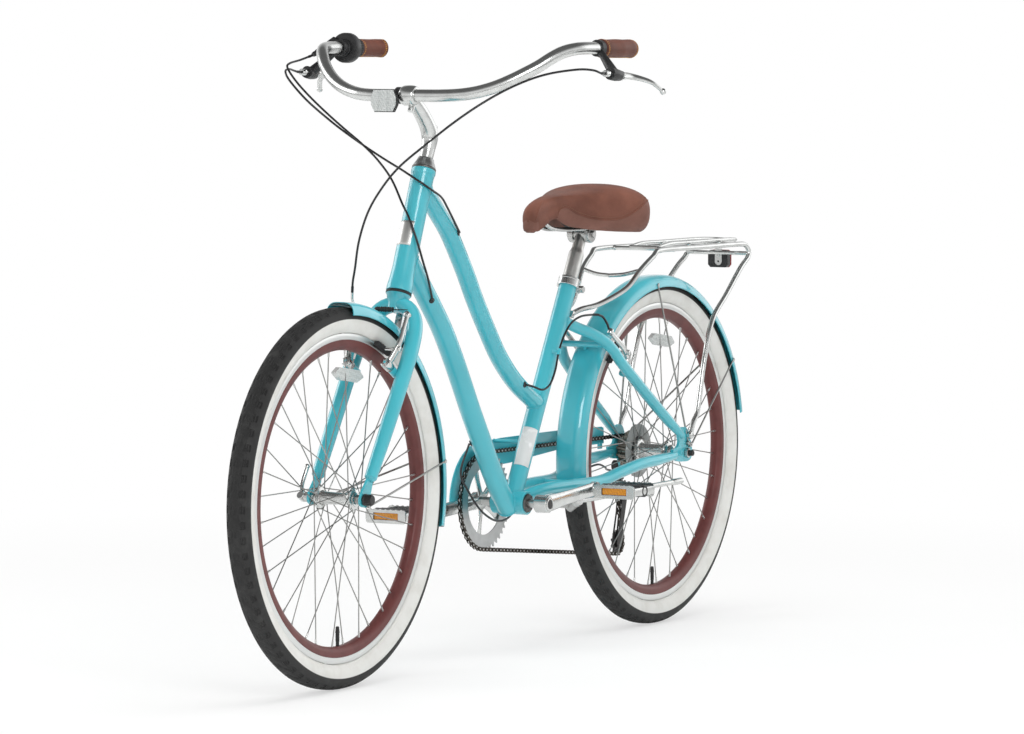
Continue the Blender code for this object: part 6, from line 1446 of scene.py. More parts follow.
# %% Course of the bar
BAR_HEIGHT, STEM_REACH, BAR_RADIUS = 0.7323, 0.097, 0.0111
BAR_COURSE = (
    (0, 0, 0), (0, 0, 0.033), (0.0002, 0, 0.066), (0.004, -0.005, 0.1), (0.0124, -0.0134, 0.129),
    (0.025, -0.0215, 0.157), (0.0407, -0.03, 0.181), (0.0585, -0.04, 0.202), (0.0767, -0.051, 0.22),
    (0.096, -0.062, 0.235), (0.113, -0.076, 0.248), (0.129, -0.1, 0.26), (0.1457, -0.1385, 0.2665),
    (0.162, -0.181, 0.269), (0.1792, -0.2242, 0.268), (0.196, -0.266, 0.263), (0.2008, -0.2799, 0.2594),
)


def bar_line(side):
    return [steer(BAR_HEIGHT + up, STEM_REACH + ahead, side * y) for up, ahead, y in BAR_COURSE]


def bar_at(distance, side):
    """A place on the bar by its distance from the end, and the direction outwards."""
    route = bar_line(side)[::-1]
    for a, b in zip(route, route[1:]):
        if distance <= (b - a).length:
            return a.lerp(b, distance / (b - a).length), (a - b).normalized()
        distance -= (b - a).length
    return route[-1], (route[-2] - route[-1]).normalized()

# %% The bar
bm = bmesh.new()
course = smooth(bar_line(-1)[::-1], 0.006) + smooth(bar_line(1), 0.006)[1:]
clamp = steer(BAR_HEIGHT, STEM_REACH)
tube(bm, course, BAR_RADIUS, 28)
look(bm, "handlebar", polished)

# %% Stem: quill, goose neck and clamp with its bolt
bm = bmesh.new()
turned(bm, [(0, 0.5203), (0.0111, 0.5203), (0.0111, 0.6623), (0, 0.6623)],
       axes(STEER_FOOT, HEAD_UP), 36, closed=False)
neck = [steer(0.6523), steer(0.6703), steer(0.6913, 0.002), steer(0.706, 0.017),
        steer(0.7205, 0.0485), steer(0.7313, 0.0834), steer(0.7323, 0.09)]
route = smooth(neck, 0.0035)
marks = (0.012, 0.0128, 0.0148, 0.0145, 0.0135, 0.012, 0.0116)
tube(bm, route, 0.012, 32, fading(neck, marks, route))
rod(bm, steer(0.684, 0.002), steer(0.712, 0.004), 0.011, segments=32, edge=0.001)
bolt(bm, steer(0.7118, 0.004), HEAD_UP, 0.0062, 0.0046)
profile = [(0.0113, -0.0125), (0.014, -0.0125), (0.016, -0.0115), (0.0178, -0.007), (0.0182, 0.001),
           (0.0178, 0.01), (0.0162, 0.015), (0.0142, 0.0165), (0.0113, 0.0165)]
turned(bm, profile, across(clamp), 48)
pinch = steer(0.7143, 0.08)
rod(bm, pinch - HEAD_UP * 0.006, pinch + HEAD_UP * 0.0078, 0.006, segments=24, edge=0.0006)
bolt(bm, pinch + HEAD_UP * 0.0072, HEAD_UP, 0.0048, 0.003)
look(bm, "stem", polished)

# %% Grips: stitched leather with a flange at each end
SHIFTER_PLACE = 0.1095
GRIPS = (("left", 1, 0.124), ("right", -1, 0.072))
GRIP_RADIUS, FLANGE_STITCHES = 0.0165, 26
GRIP_STEPS = ((0.0011, 0.0152), (0.0052, 0.0167), (0.0072, 0.0156), (1, 0.0162))
thread_bm = bmesh.new()
for name, side, length in GRIPS:
    bm = bmesh.new()
    places = []
    count = round(length / 0.002)
    for step in range(count + 1):
        along = -0.004 + (length + 0.004) * step / count
        place, out = bar_at(max(along, 0), side)
        place = place + out * max(0, -along)
        near = min(along + 0.004, length - along)
        radius = next(r for limit, r in GRIP_STEPS if near < limit)
        radius = min(radius + 0.0003 * cos(along * 90), 0.0168)
        places.append((place, radius))
    tube(bm, [p for p, _ in places], GRIP_RADIUS, 40, [r for _, r in places])
    look(bm, "grip_" + name, grip_leather, 50)
    for along in (0.0005, length - 0.0075):
        place, out = bar_at(along, side)
        matrix = axes(place, out)
        for step in range(FLANGE_STITCHES):
            turn = tau * step / FLANGE_STITCHES
            a = matrix @ vec(*on_circle(GRIP_RADIUS, turn), 0.0)
            b = matrix @ vec(*on_circle(GRIP_RADIUS, turn + 0.17), -0.0042)
            rod(thread_bm, a, b, 0.00045, segments=6)
    for step in range(round(length / 0.0042) - 3):
        place, out = bar_at(0.006 + step * 0.0042, side)
        under = (vec(0, 0, -1) + out * out.z).normalized()
        sew = out.cross(under)
        a = place + under * 0.016 + sew * 0.0016
        b = place + under * 0.016 - sew * 0.0016
        tube(thread_bm, [a, place + under * 0.0166, b], 0.00045, 6)
piece(thread_bm, "grip_thread", thread, "steering")
print("bar done", len(made_names))

# %% Twist shifter: collar with ribs, housing and cable boot
bm = bmesh.new()
place, out = bar_at(0.0833, -1)
matrix = axes(place, out)
rings = [(0.0114, 0.0108), (0.017, 0.0108), (0.0176, 0.01), (0.0176, -0.0098), (0.017, -0.0106),
         (0.0114, -0.0106)]
turned(bm, rings, matrix, 48)
for step in range(24):
    turn = tau * step / 24
    foot = matrix @ vec(*on_circle(0.0174, turn), 0)
    rod(bm, foot - out * 0.0092, foot + out * 0.0092, 0.0013, segments=8, edge=0.0004)
look(bm, "shifter_twist", black_rubber)
bm = bmesh.new()
middle, out = bar_at(SHIFTER_PLACE, -1)
matrix = axes(middle, out)
shell = [(0.0114, 0.0138), (0.024, 0.0138), (0.0262, 0.0128), (0.0274, 0.01), (0.0275, -0.003),
         (0.0262, -0.0062), (0.0225, -0.007), (0.0165, -0.0075), (0.016, -0.0132), (0.0152, -0.0138),
         (0.0114, -0.0138)]
turned(bm, shell, matrix, 56)
for height in (0.0045, 0.0085):
    turned(bm, [(0.0268, height - 0.0006), (0.0275, height - 0.0004), (0.0275, height + 0.0004),
                (0.0268, height + 0.0006)], matrix, 56)
for step in range(5):
    turn = -1.2 + step * 0.28
    spot = matrix @ vec(*on_circle(0.0262, turn), 0.0128)
    rod(bm, spot - out * 0.004, spot + out * 0.0006, 0.0012, segments=8)
foot, top = vec(0.008, -0.018, 0.014), vec(0.0585, -0.0335, -0.0125)
boot = [0.007 - 0.0001 * step - (0.0006 if step > 6 and step % 3 == 0 else 0) for step in range(25)]
tube(bm, [middle + foot.lerp(top, s / 24) for s in range(25)], 0.006, 20, boot)
look(bm, "shifter_housing", black_plastic)

# %% Brake levers and their brackets
BARREL, PIVOT = vec(0.055, 0.046, -0.044), vec(0.004, 0.049, -0.048)
ELBOW, TIP = vec(-0.028, 0.053, -0.05), vec(-0.074, 0.09, -0.0765)
LEVER_AXIS = vec(0.107, 0.649, 0.753).normalized()
LEVER_MOUNT = {"left": 0.1308, "right": 0.1303}
mouths = {}
for name, side in SIDES:
    mount, out = bar_at(LEVER_MOUNT[name], side)
    barrel, pivot, elbow, tip = (mount + sided(p, side) for p in (BARREL, PIVOT, ELBOW, TIP))
    pin = sided(LEVER_AXIS, side)
    mouths[name] = barrel + vec(0.0066, 0, 0)
    bm = bmesh.new()
    matrix = axes(mount, out)
    ring = [(0.0114, -0.0065), (0.0143, -0.0065), (0.015, -0.0058), (0.015, 0.0058),
            (0.0143, 0.0065), (0.0114, 0.0065)]
    turned(bm, ring, matrix, 40)
    waist = pivot.lerp(barrel, 0.45)
    neck = smooth([mount.lerp(waist, 0.2), mount.lerp(waist, 0.6), waist], 0.004)
    tube(bm, neck, 0.008, 20, [0.0062 + 0.0036 * i / (len(neck) - 1) for i in range(len(neck))])
    hull = [pivot + vec(0.0075, 0, 0), waist, barrel - vec(0.014, 0, 0)]
    route = smooth(hull, 0.003)
    tube(bm, route, 0.0105, 24, fading(hull, (0.0094, 0.0112, 0.0112), route))
    bolt(bm, mount + (waist - mount).normalized() * 0.0146 + out * 0.001, waist - mount, 0.0034, 0.002)
    look(bm, "lever_bracket_" + name, black_plastic)
    bm = bmesh.new()
    tail = barrel - vec(0.015, 0, 0)
    knurl = [(0.0, 0.0), (0.005, 0.0), (0.005, 0.004), (0.0062, 0.0048), (0.0062, 0.01),
             (0.0048, 0.011), (0.0048, 0.0136), (0.006, 0.0144), (0.006, 0.02), (0.0052, 0.0208),
             (0.0, 0.0208)]
    place = axes(tail, (1, 0, 0))
    turned(bm, knurl, place, 24, closed=False)
    piece(bm, "barrel_adjuster_" + name, polished, "steering")
    bm = bmesh.new()
    rod(bm, pivot - pin * 0.0062, pivot + pin * 0.0062, 0.0062, segments=28, edge=0.0006)
    half = elbow.lerp(tip, 0.55) + vec(0, side * 0.003, 0.005)
    blade = [pivot, elbow, half, tip]
    route = smooth(blade, 0.004)
    widths = fading(blade, (0.008, 0.0074, 0.0056, 0.0046), route)
    flat_bar(bm, route, [(w * 0.62, w) for w in widths], pin, 24)
    dome(bm, tip, 0.0058, 20)
    bolt(bm, pivot + pin * 0.006, pin, 0.0032, 0.0014)
    look(bm, "brake_lever_" + name, polished, 50)
print("levers done", len(made_names))

# %% Front reflector: a flared clear face in a black bracket
bm = bmesh.new()
face = clamp + vec(0.023, -0.0367, -0.0086)
outline = [(-0.0262, -0.008), (-0.0262, 0.006), (-0.0205, 0.02), (0.0205, 0.02), (0.0262, 0.006),
           (0.0262, -0.008), (0.0195, -0.0205), (-0.0195, -0.0205)]
plate = Matrix.Translation(face - vec(0.0022, 0, 0)) @ turn_about("Y", 90)
plate = plate @ turn_about("Z", 90)
raised(bm, outline, 0.007, plate)
block(bm, face + vec(-0.006, 0.014, 0.006), (0.012, 0.012, 0.012), None, 0.001, 2)
ring = [(0.0117, -0.005), (0.0144, -0.005), (0.015, -0.0044), (0.015, 0.0044), (0.0144, 0.005),
        (0.0117, 0.005)]
turned(bm, ring, across(clamp - LEFT * 0.0182), 40)
bolt(bm, clamp + vec(0.01, -0.0182, -0.0118), vec(0.4, 0, -1), 0.003, 0.0022)
piece(bm, "front_reflector_bracket", black_plastic, "steering", "front_reflector", bevel=0.0004)
bm = bmesh.new()
lens = [(x * 0.95, y * 0.93) for x, y in outline]
raised(bm, lens, 0.005, plate @ Matrix.Translation((0, 0, 0.0036)))
for shift in (-0.0088, 0.0088):
    block(bm, face + vec(0.005, shift, 0), (0.0014, 0.0008, 0.035), None, 0.0003, 1)
piece(bm, "front_reflector_lens", clear_prism, "steering", bevel=0.0009)
print("cockpit done", len(made_names))

# %% [markdown]
# ## Rack
# A rack is bent from aluminium rod and welded. Each rod is one tube along a smooth route, with a
# small bead where it meets another.

# %% Rack rods, cross bars, hoop and mount
RACK_SIDE = (
    (-0.5822, 0.0785, 0.364), (-0.5954, 0.0785, 0.3896), (-0.6117, 0.0785, 0.4097),
    (-0.642, 0.077, 0.504), (-0.6786, 0.075, 0.579), (-0.742, 0.0725, 0.6265), (-0.8055, 0.07, 0.674),
    (-0.84, 0.0685, 0.6945), (-0.845, 0.068, 0.709), (-0.83, 0.068, 0.719), (-0.8, 0.068, 0.7215),
    (-0.65, 0.068, 0.7215), (-0.48, 0.068, 0.7215), (-0.455, 0.067, 0.712), (-0.4102, 0.062, 0.6861),
    (-0.3733, 0.052, 0.6535), (-0.3123, 0.03, 0.627), (-0.264, 0.016, 0.6185),
)
RACK_TOP, RAIL = 0.7215, 0.068
HOOP = ((-0.54, 0.03, 0.7235), (-0.59, 0.03, 0.729), (-0.67, 0.03, 0.729),
        (-0.81, 0.03, 0.729), (-0.865, 0.026, 0.7275), (-0.888, 0.014, 0.726),
        (-0.892, 0.0, 0.7255))
BEAD = (1.15, 1.0, 1.0)
bm = bmesh.new()
mount = seat(0.393, 0.0214)
for _, side in SIDES:
    route = [at(x, side * y, z) for x, y, z in RACK_SIDE] + [mount + LEFT * side * 0.009]
    tube(bm, smooth(route, 0.007), 0.005, 18)
    eye = at(*RACK_SIDE[0])
    side_rod(bm, eye, side * 0.0733, side * 0.083, 0.007, segments=24, edge=0.0006)
    brace = [(-0.4102, side * 0.062, 0.6861), (-0.405, side * 0.03, 0.678), (-0.403, 0, 0.6755)]
    tube(bm, smooth([at(*p) for p in brace], 0.006), 0.0038, 14)
    hoop = [at(x, side * y, z) for x, y, z in HOOP]
    tube(bm, smooth(hoop, 0.006), 0.004, 14)
    for x in (-0.54, -0.67, -0.795):
        dome(bm, at(x, side * (RAIL - 0.004), RACK_TOP), 0.0054, 14, BEAD)
    for x in (-0.67, -0.795):
        dome(bm, at(x, side * 0.03, 0.7262), 0.0044, 14, BEAD)
for x, z in ((-0.54, RACK_TOP), (-0.67, RACK_TOP), (-0.795, RACK_TOP), (-0.844, 0.702)):
    side_rod(bm, at(x, 0, z), -RAIL, RAIL, 0.004, segments=14)
side_rod(bm, at(-0.54, 0, 0.7235), -0.03, 0.03, 0.0038, segments=14)
block(bm, mount, (0.008, 0.03, 0.013), axes(seat(0), SEAT_UP, SEAT_BACK), 0.0012, 3)
bolt(bm, mount + SEAT_BACK * 0.0038, SEAT_BACK, 0.0042, 0.0034)
look(bm, "rack", polished, 50)

# %% Rear reflector: black housing, red face at the back, bolted by a plate
def ring_hole(radius, count=48, centre=(0, 0)):
    spots = (on_circle(radius, tau * i / count) for i in range(count))
    return [(centre[0] + x, centre[1] + y) for x, y in spots]


def part_circle(centre, radius, degrees):
    """Outline points on part of a circle."""
    return [(centre[0] + radius * cos(radians(a)), centre[1] + radius * sin(radians(a))) for a in degrees]


lamp_place = at(-0.8535, 0, 0.69)
bm = bmesh.new()
shape = [(-0.0215, -0.012), (-0.0215, 0.012), (-0.017, 0.017), (0.017, 0.017), (0.0215, 0.012),
         (0.0215, -0.012), (0.017, -0.017), (-0.017, -0.017)]
facing = turn_about("Y", 90) @ turn_about("Z", 90)
raised(bm, shape, 0.013, Matrix.Translation(lamp_place + vec(0.002, 0, 0)) @ facing)
piece(bm, "rear_reflector_housing", black_plastic, "frame", "rear_reflector", bevel=0.0012)
bm = bmesh.new()
clip = Matrix.Translation(lamp_place + vec(0.0092, 0.002, 0.002)) @ facing
oval = [(-0.0075, 0.018), (0.0075, 0.018)]
oval += part_circle((0, -0.007), 0.0075, range(0, -181, -15))
raised(bm, oval, 0.0014, clip, [ring_hole(0.002, 16, (0, -0.007))])
bolt(bm, lamp_place + vec(0.0098, 0.002, 0.0075), (1, 0, 0), 0.0036, 0.0024)
piece(bm, "rear_reflector_clip", polished, "frame")
bm = bmesh.new()
lens = [(x * 1.02, y * 1.02) for x, y in shape]
raised(bm, lens, 0.004, Matrix.Translation(lamp_place + vec(-0.0066, 0, 0)) @ facing)
piece(bm, "rear_reflector_lens", red_prism, "frame", bevel=0.0012)
print("rack done", len(made_names))

# %% [markdown]
# ## The drive
# Chain and sprockets share one pitch of 12.7 mm, so a sprocket's radius follows from its number of
# teeth. The chain's path is the tight belt round four circles: its straight runs are found from the
# circles' common tangents, then links are counted out along it.

# %% Sprocket outlines
PITCH = 0.0127
RING_TEETH, SPROCKETS = 44, (24, 22, 20, 18, 17, 15, 14)
PULLEY_SIDE = 0.0615


def pitch_radius(teeth):
    return PITCH / 2 / sin(pi / teeth)


TOOTH_ROOT = -0.0035


def toothed(teeth, tip=0.0027, radius=None):
    """An outline with rounded teeth, as (across, up) pairs."""
    pitch = radius or pitch_radius(teeth)
    shape = ((0.0, TOOTH_ROOT), (0.16, TOOTH_ROOT), (0.27, TOOTH_ROOT * 0.45), (0.36, tip * 0.55),
             (0.44, tip), (0.56, tip), (0.64, tip * 0.55), (0.73, TOOTH_ROOT * 0.45), (0.84, TOOTH_ROOT))
    points = []
    for step in range(teeth):
        for share, rise in shape:
            points.append(on_circle(pitch + rise, tau * (step + share) / teeth))
    return points


def upright(centre, y):
    """Outlines given in X and Z round a centre, standing at a side place."""
    return Matrix.Translation((centre.x, 0, centre.z)) @ standing(y)

# %% Freewheel
bm = bmesh.new()
for step, teeth in enumerate(SPROCKETS):
    y = -0.0333 - step * 0.0047
    holes = [ring_hole(0.0163)]
    if teeth > 20:
        middle_radius = (0.023 + pitch_radius(teeth)) / 2
        size = min(0.0046, (pitch_radius(teeth) - 0.023) * 0.28)
        for i in range(7):
            turn = tau * i / 7 + step * 0.2
            spot = on_circle(middle_radius, turn)
            holes.append(ring_hole(size, 16, spot))
    raised(bm, toothed(teeth), 0.0018, upright(REAR_AXLE, y), holes)
turned(bm, [(0.0163, -0.0325), (0.0224, -0.0325), (0.023, -0.033), (0.023, -0.0626),
            (0.0222, -0.0632), (0.0163, -0.0632)], across(REAR_AXLE), 48)
look(bm, "freewheel", sprocket_steel, 30, bevel=0.00015)

# %% Guide and tension pulleys
GUIDE, TENSION = at(-0.569, 0, 0.25), at(-0.547, 0, 0.155)
PULLEY = 0.02254
for name, spot in (("guide_pulley", GUIDE), ("tension_pulley", TENSION)):
    bm = bmesh.new()
    holes = [ring_hole(0.003, 24)]
    holes += [ring_hole(0.0027, 14, on_circle(0.0125, t))
              for t in (tau * i / 5 for i in range(5))]
    raised(bm, toothed(11, tip=0.0012, radius=PULLEY), 0.0026, upright(spot, -PULLEY_SIDE), holes)
    turned(bm, [(0.003, -0.002), (0.007, -0.002), (0.007, 0.002), (0.003, 0.002)],
           across(spot - LEFT * PULLEY_SIDE), 28)
    piece(bm, name + "_look", black_plastic, name, name, 30, bevel=0.0002)

# %% Path of the chain
WHEELS = ((CRANK_AXLE, pitch_radius(RING_TEETH), 1), (REAR_AXLE, pitch_radius(SPROCKETS[-1]), 1),
          (GUIDE, PULLEY, -1), (TENSION, PULLEY, 1))


def flat(point):
    return vec(point.x, point.z)


def belt(wheels):
    """Points of the tight path round the circles, each turned one way or the other."""
    touches = []
    for i, (a, ra, ta) in enumerate(wheels):
        b, rb, tb = wheels[(i + 1) % len(wheels)]
        between = flat(b) - flat(a)
        swing = acos((tb * rb - ta * ra) / between.length)
        turn = atan2(between.y, between.x) + swing
        normal = Vector((cos(turn), sin(turn)))
        touches.append((flat(a) - normal * ta * ra, flat(b) - normal * tb * rb))
    path = []
    for i, (centre, radius, way) in enumerate(wheels):
        meet, leave = touches[i - 1][1] - flat(centre), touches[i][0] - flat(centre)
        start = atan2(meet.y, meet.x)
        sweep_angle = (way * (atan2(leave.y, leave.x) - start)) % tau
        steps = max(2, round(sweep_angle * radius / 0.001))
        for k in range(steps + 1):
            turn = start + way * sweep_angle * k / steps
            path.append(flat(centre) + Vector((cos(turn), sin(turn))) * radius)
    return path


def chain_side(x):
    near, far = CRANK_AXLE.x - 0.06, REAR_AXLE.x + 0.06
    share = min(1.0, max(0.0, (x - far) / (near - far)))
    return 0.005 * share - PULLEY_SIDE


path = belt(WHEELS)
path.append(path[0])
run = marks_along(path)[-1]
links = round(run / PITCH / 2) * 2
pins = [Vector((p.x, chain_side(p.x), p.y)) for p in even_points(path, links)[:-1]]
print("chain links", links, "pitch", round(run / links * 1000, 3), "mm")

# %% Links: waisted plates, rollers and pins
bm = bmesh.new()
SHORT = 0.00418
for i, pin in enumerate(pins):
    after = pins[(i + 1) % links]
    along = (after - pin).normalized()
    matrix = axes((pin + after) / 2, LEFT, along)
    half = (after - pin).length / 2
    outline = []
    for end in (1, -1):
        for k in range(7):
            x, z = on_circle(SHORT, radians(-75 + 25 * k) + (0 if end > 0 else pi))
            outline.append((end * half + x, z))
        outline.append((0.0, end * SHORT * 0.68))
    place = 0.00185 if i % 2 else 0.00275
    for side in (1, -1):
        raised(bm, outline, 0.0008, matrix @ Matrix.Translation((0, 0, side * place)))
look(bm, "chain", chain_steel, 30)
bm = bmesh.new()
for pin in pins:
    rod(bm, pin - LEFT * 0.0036, pin + LEFT * 0.0036, 0.0017, segments=8)
    rod(bm, pin - LEFT * 0.0012, pin + LEFT * 0.0012, 0.0036, segments=10)
piece(bm, "chain_rollers", steel, body_of("chain"))

# %% Chain guard: a painted plate with a rolled lip
bm = bmesh.new()
crank = (CRANK_AXLE.x, CRANK_AXLE.z)
outer = part_circle(crank, 0.107, range(3, 94, 3))
back = [(-0.1079, 0.385), (-0.22, 0.3848), (-0.3349, 0.3842), (-0.495, 0.38), (-0.503, 0.3772),
        (-0.505, 0.374), (-0.505, 0.348), (-0.3349, 0.349), (-0.14, 0.337), (-0.08, 0.336)]
inner = part_circle(crank, 0.073, range(100, 3, -4))
guard = outer + [(x + MIDDLE, z) for x, z in back] + inner
raised(bm, guard, 0.0016, standing(-0.0685))
lip = [vec(x, -0.0676, z) for x, z in outer + [(x + MIDDLE, z) for x, z in back[:5]]]
tube(bm, lip, 0.0009, 10)
for spot in (seat(0.12), at(-0.488, 0, 0.355)):
    bolt(bm, vec(spot.x, -0.0692, spot.z + 0.001), -LEFT, 0.004, 0.0018)
side_rod(bm, seat(0.12) + vec(0, 0, 0.001), -0.0171, -0.0685, 0.0035, segments=16)
block(bm, at(-0.488, -0.067, 0.3447), (0.014, 0.0036, 0.012), None, 0.0006, 2)
look(bm, "chain_guard", paint)

# %% Cranks with the spider and the chainring
CRANK_LENGTH, CRANK_TURN = 0.17, 5.2
EYES = {}
for name, side in SIDES:
    across_it, rise = on_circle(CRANK_LENGTH * side, radians(CRANK_TURN))
    EYES[name] = CRANK_AXLE + vec(-across_it, 0, rise)


def steps_between(start, end, count):
    return [start.lerp(end, i / count) for i in range(count + 1)]


def spider(bm):
    """Five arms that carry the chainring."""
    for k in range(5):
        turn = radians(72 * k - CRANK_TURN)
        end = CRANK_AXLE + Vector((0.069 * cos(turn), -0.0615, 0.069 * sin(turn)))
        sizes = [(0.0026, 0.0098 - 0.003 * sin(pi * i / 8)) for i in range(9)]
        flat_bar(bm, steps_between(CRANK_AXLE - LEFT * 0.0628, end, 8), sizes, LEFT, 16)
        side_rod(bm, end, -0.0577, -0.065, 0.0055, segments=20, edge=0.0004)
        bolt(bm, vec(end.x, -0.065, end.z), -LEFT, 0.004, 0.0014)


for name, side in SIDES:
    node, eye = "crank_" + name, EYES[name]
    bm = bmesh.new()
    root = 0.0545 if side > 0 else 0.06
    side_rod(bm, CRANK_AXLE, side * root, side * 0.08, 0.0165, 0.0158, 40, 0.001)
    route = steps_between(CRANK_AXLE + LEFT * side * 0.0728, eye + LEFT * side * 0.0808, 16)
    heights = [0.0165 - 0.0035 * i / 16 - 0.0016 * sin(pi * i / 16) for i in range(17)]
    flat_bar(bm, route, [(h * 0.4, h) for h in heights], LEFT, 24)
    side_rod(bm, eye, side * 0.0745, side * 0.0875, 0.013, segments=36, edge=0.0008)
    lip = [(0.009, 0), (0.009, 0.0018), (0.0102, 0.0026), (0.0122, 0.0022), (0.0128, 0.001), (0.0128, 0)]
    turned(bm, lip, axes(CRANK_AXLE + LEFT * side * 0.0798, LEFT * side), 32)
    side_rod(bm, eye, side * 0.085, side * 0.184, 0.0062, 0.005, 20, 0.0005)
    if side < 0:
        spider(bm)
    look(bm, node, polished, 40)
    bm = bmesh.new()
    turned(bm, [(0.0091, 0), (0.0091, 0.0009), (0.008, 0.0015), (0, 0.0011)],
           axes(CRANK_AXLE + LEFT * side * 0.0799, LEFT * side), 28, closed=False)
    piece(bm, node + "_cap", black_plastic, body_of(node))
bm = bmesh.new()
holes = [ring_hole(0.062, 72)]
raised(bm, toothed(RING_TEETH, tip=0.003), 0.0018, upright(CRANK_AXLE, -0.0565), holes)
look(bm, "chainring", ring_metal, 30)
bm = bmesh.new()
side_rod(bm, CRANK_AXLE, -0.074, 0.074, 0.0079, segments=32, edge=0.0008)
look(bm, "crank_spindle", steel)
print("drive done", len(made_names))

# %% Pedals: a bright cage with teeth round a black body, and amber reflectors
for name, side in SIDES:
    eye = EYES[name]
    inner, outer = side * 0.098, side * 0.187
    centre = Vector((eye.x, (inner + outer) / 2, eye.z))
    body = "pedal_" + name
    bm = bmesh.new()
    for end in (1, -1):
        bar = [(-0.0415, -0.0105), (-0.0385, -0.013), (0.0385, -0.013), (0.0415, -0.0105),
               (0.0415, 0.01), (0.0385, 0.0118)]
        for k in range(7):
            spot = 0.0385 - (k + 0.5) * 0.011
            bar += [(spot + 0.003, 0.0118), (spot + 0.0012, 0.013), (spot - 0.0012, 0.013),
                    (spot - 0.003, 0.0118)]
        bar += [(-0.0385, 0.0118), (-0.0415, 0.01)]
        hole = [(-0.026, -0.0068), (0.026, -0.0068), (0.026, 0.0062), (-0.026, 0.0062)]
        place = Matrix.Translation(centre + vec(end * 0.0385, 0, 0))
        raised(bm, bar, 0.0026, place @ facing, [hole])
        block(bm, centre + vec(0, end * 0.0425, 0), (0.076, 0.0024, 0.015), None, 0.0008, 2)
    piece(bm, "pedal_" + name + "_cage", polished, body, body, bevel=0.0003)
    bm = bmesh.new()
    for end in (1, -1):
        block(bm, centre + vec(end * 0.0125, 0, 0), (0.0085, 0.083, 0.02), None, 0.002, 3)
        block(bm, centre + vec(0, end * 0.0375, 0), (0.07, 0.007, 0.017), None, 0.002, 3)
        for k in range(3):
            block(bm, centre + Vector((end * 0.026, (k - 1) * 0.024, 0)), (0.022, 0.0045, 0.015), None,
                  0.001, 2)
    barrel = [(0.0066, -0.044), (0.0104, -0.044), (0.011, -0.043), (0.01, 0.0), (0.011, 0.043),
              (0.0104, 0.044), (0.0066, 0.044)]
    turned(bm, barrel, across(centre), 32)
    piece(bm, "pedal_" + name + "_body", black_plastic, body)
    bm = bmesh.new()
    for end in (1, -1):
        block(bm, centre + vec(end * 0.0362, 0, -0.0003), (0.003, 0.05, 0.012), None, 0.0006, 2)
    piece(bm, "pedal_" + name + "_reflectors", amber_prism, body)
print("pedals done", len(made_names))

# %% [markdown]
# ## Derailleur, brakes and axles
# These are small forged and turned parts. Each is made from the few shapes it is machined from: arms
# as tapered bars, pivots as turned discs, pads as rounded blocks with grooves cut across them.

# %% Derailleur cage and body
bm = bmesh.new()
line = flat(TENSION) - flat(GUIDE)
along = vec(line.x, 0, line.y).normalized()
for side in (1, -1):
    matrix = axes((GUIDE + TENSION) / 2 + LEFT * (side * 0.00555 - PULLEY_SIDE), LEFT, along)
    half = line.length / 2
    outline = []
    for end in (1, -1):
        for k in range(13):
            turn = radians(-90 + 15 * k) + (0 if end > 0 else pi)
            outline.append((end * half + 0.0108 * cos(turn), 0.0105 * sin(turn)))
        outline.append((end * half * 0.3 - end * 0.006, end * 0.0074))
    slot_hole = [(x * 0.55, y * 0.42) for x, y in outline]
    raised(bm, outline, 0.0015, matrix, [slot_hole] if side < 0 else ())
for spot in (GUIDE, TENSION):
    side_rod(bm, spot, -0.0677, -0.0553, 0.0024, segments=20)
    bolt(bm, spot - LEFT * 0.0676, -LEFT, 0.004, 0.0014)
look(bm, "derailleur_cage", black_plastic, bevel=0.0003)
bm = bmesh.new()
hang = REAR_AXLE + vec(-0.008, 0, -0.032)
middle_z = (GUIDE.z + hang.z) / 2
side_rod(bm, hang, -0.0733, -0.0888, 0.011, segments=32, edge=0.0008)
bolt(bm, vec(hang.x, -0.0886, hang.z), -LEFT, 0.0062, 0.0014)
side_rod(bm, GUIDE, -0.0681, -0.0852, 0.012, segments=32, edge=0.001)
bolt(bm, vec(GUIDE.x, -0.085, GUIDE.z), -LEFT, 0.006, 0.001)
start, end = vec(hang.x, -0.0835, hang.z), vec(GUIDE.x, -0.079, GUIDE.z)
for shift in (-0.0052, 0.0052):
    drift = vec(shift, 0, 0)
    route = [start.lerp(end, i / 8) + drift for i in range(9)]
    tube(bm, route, 0.004, 16, [(0.0038, 0.0052 - 0.0012 * sin(pi * i / 8)) for i in range(9)])
block(bm, (start + end) / 2, (0.011, 0.006, 0.024), None, 0.0016, 3)
arm = [vec(GUIDE.x + 0.004, -0.079, middle_z), vec(GUIDE.x + 0.016, -0.0825, middle_z - 0.004),
       vec(GUIDE.x + 0.026, -0.086, middle_z - 0.01)]
tube(bm, smooth(arm, 0.003), 0.0045, 16)
bolt(bm, arm[-1] - LEFT * 0.0036, -LEFT, 0.0036, 0.002)
look(bm, "derailleur_body", black_plastic)

# %% Linear-pull brake arms with cartridge pads
def nearest_pad(middle, up, axle):
    """The place along the arm whose distance from the axle is closest to the rim's track."""
    choices = [middle + up * (0.06 * k / 60) for k in range(61)]
    return min(choices, key=lambda p: abs(hypot(p.x - axle.x, p.z - axle.z) - 0.28))


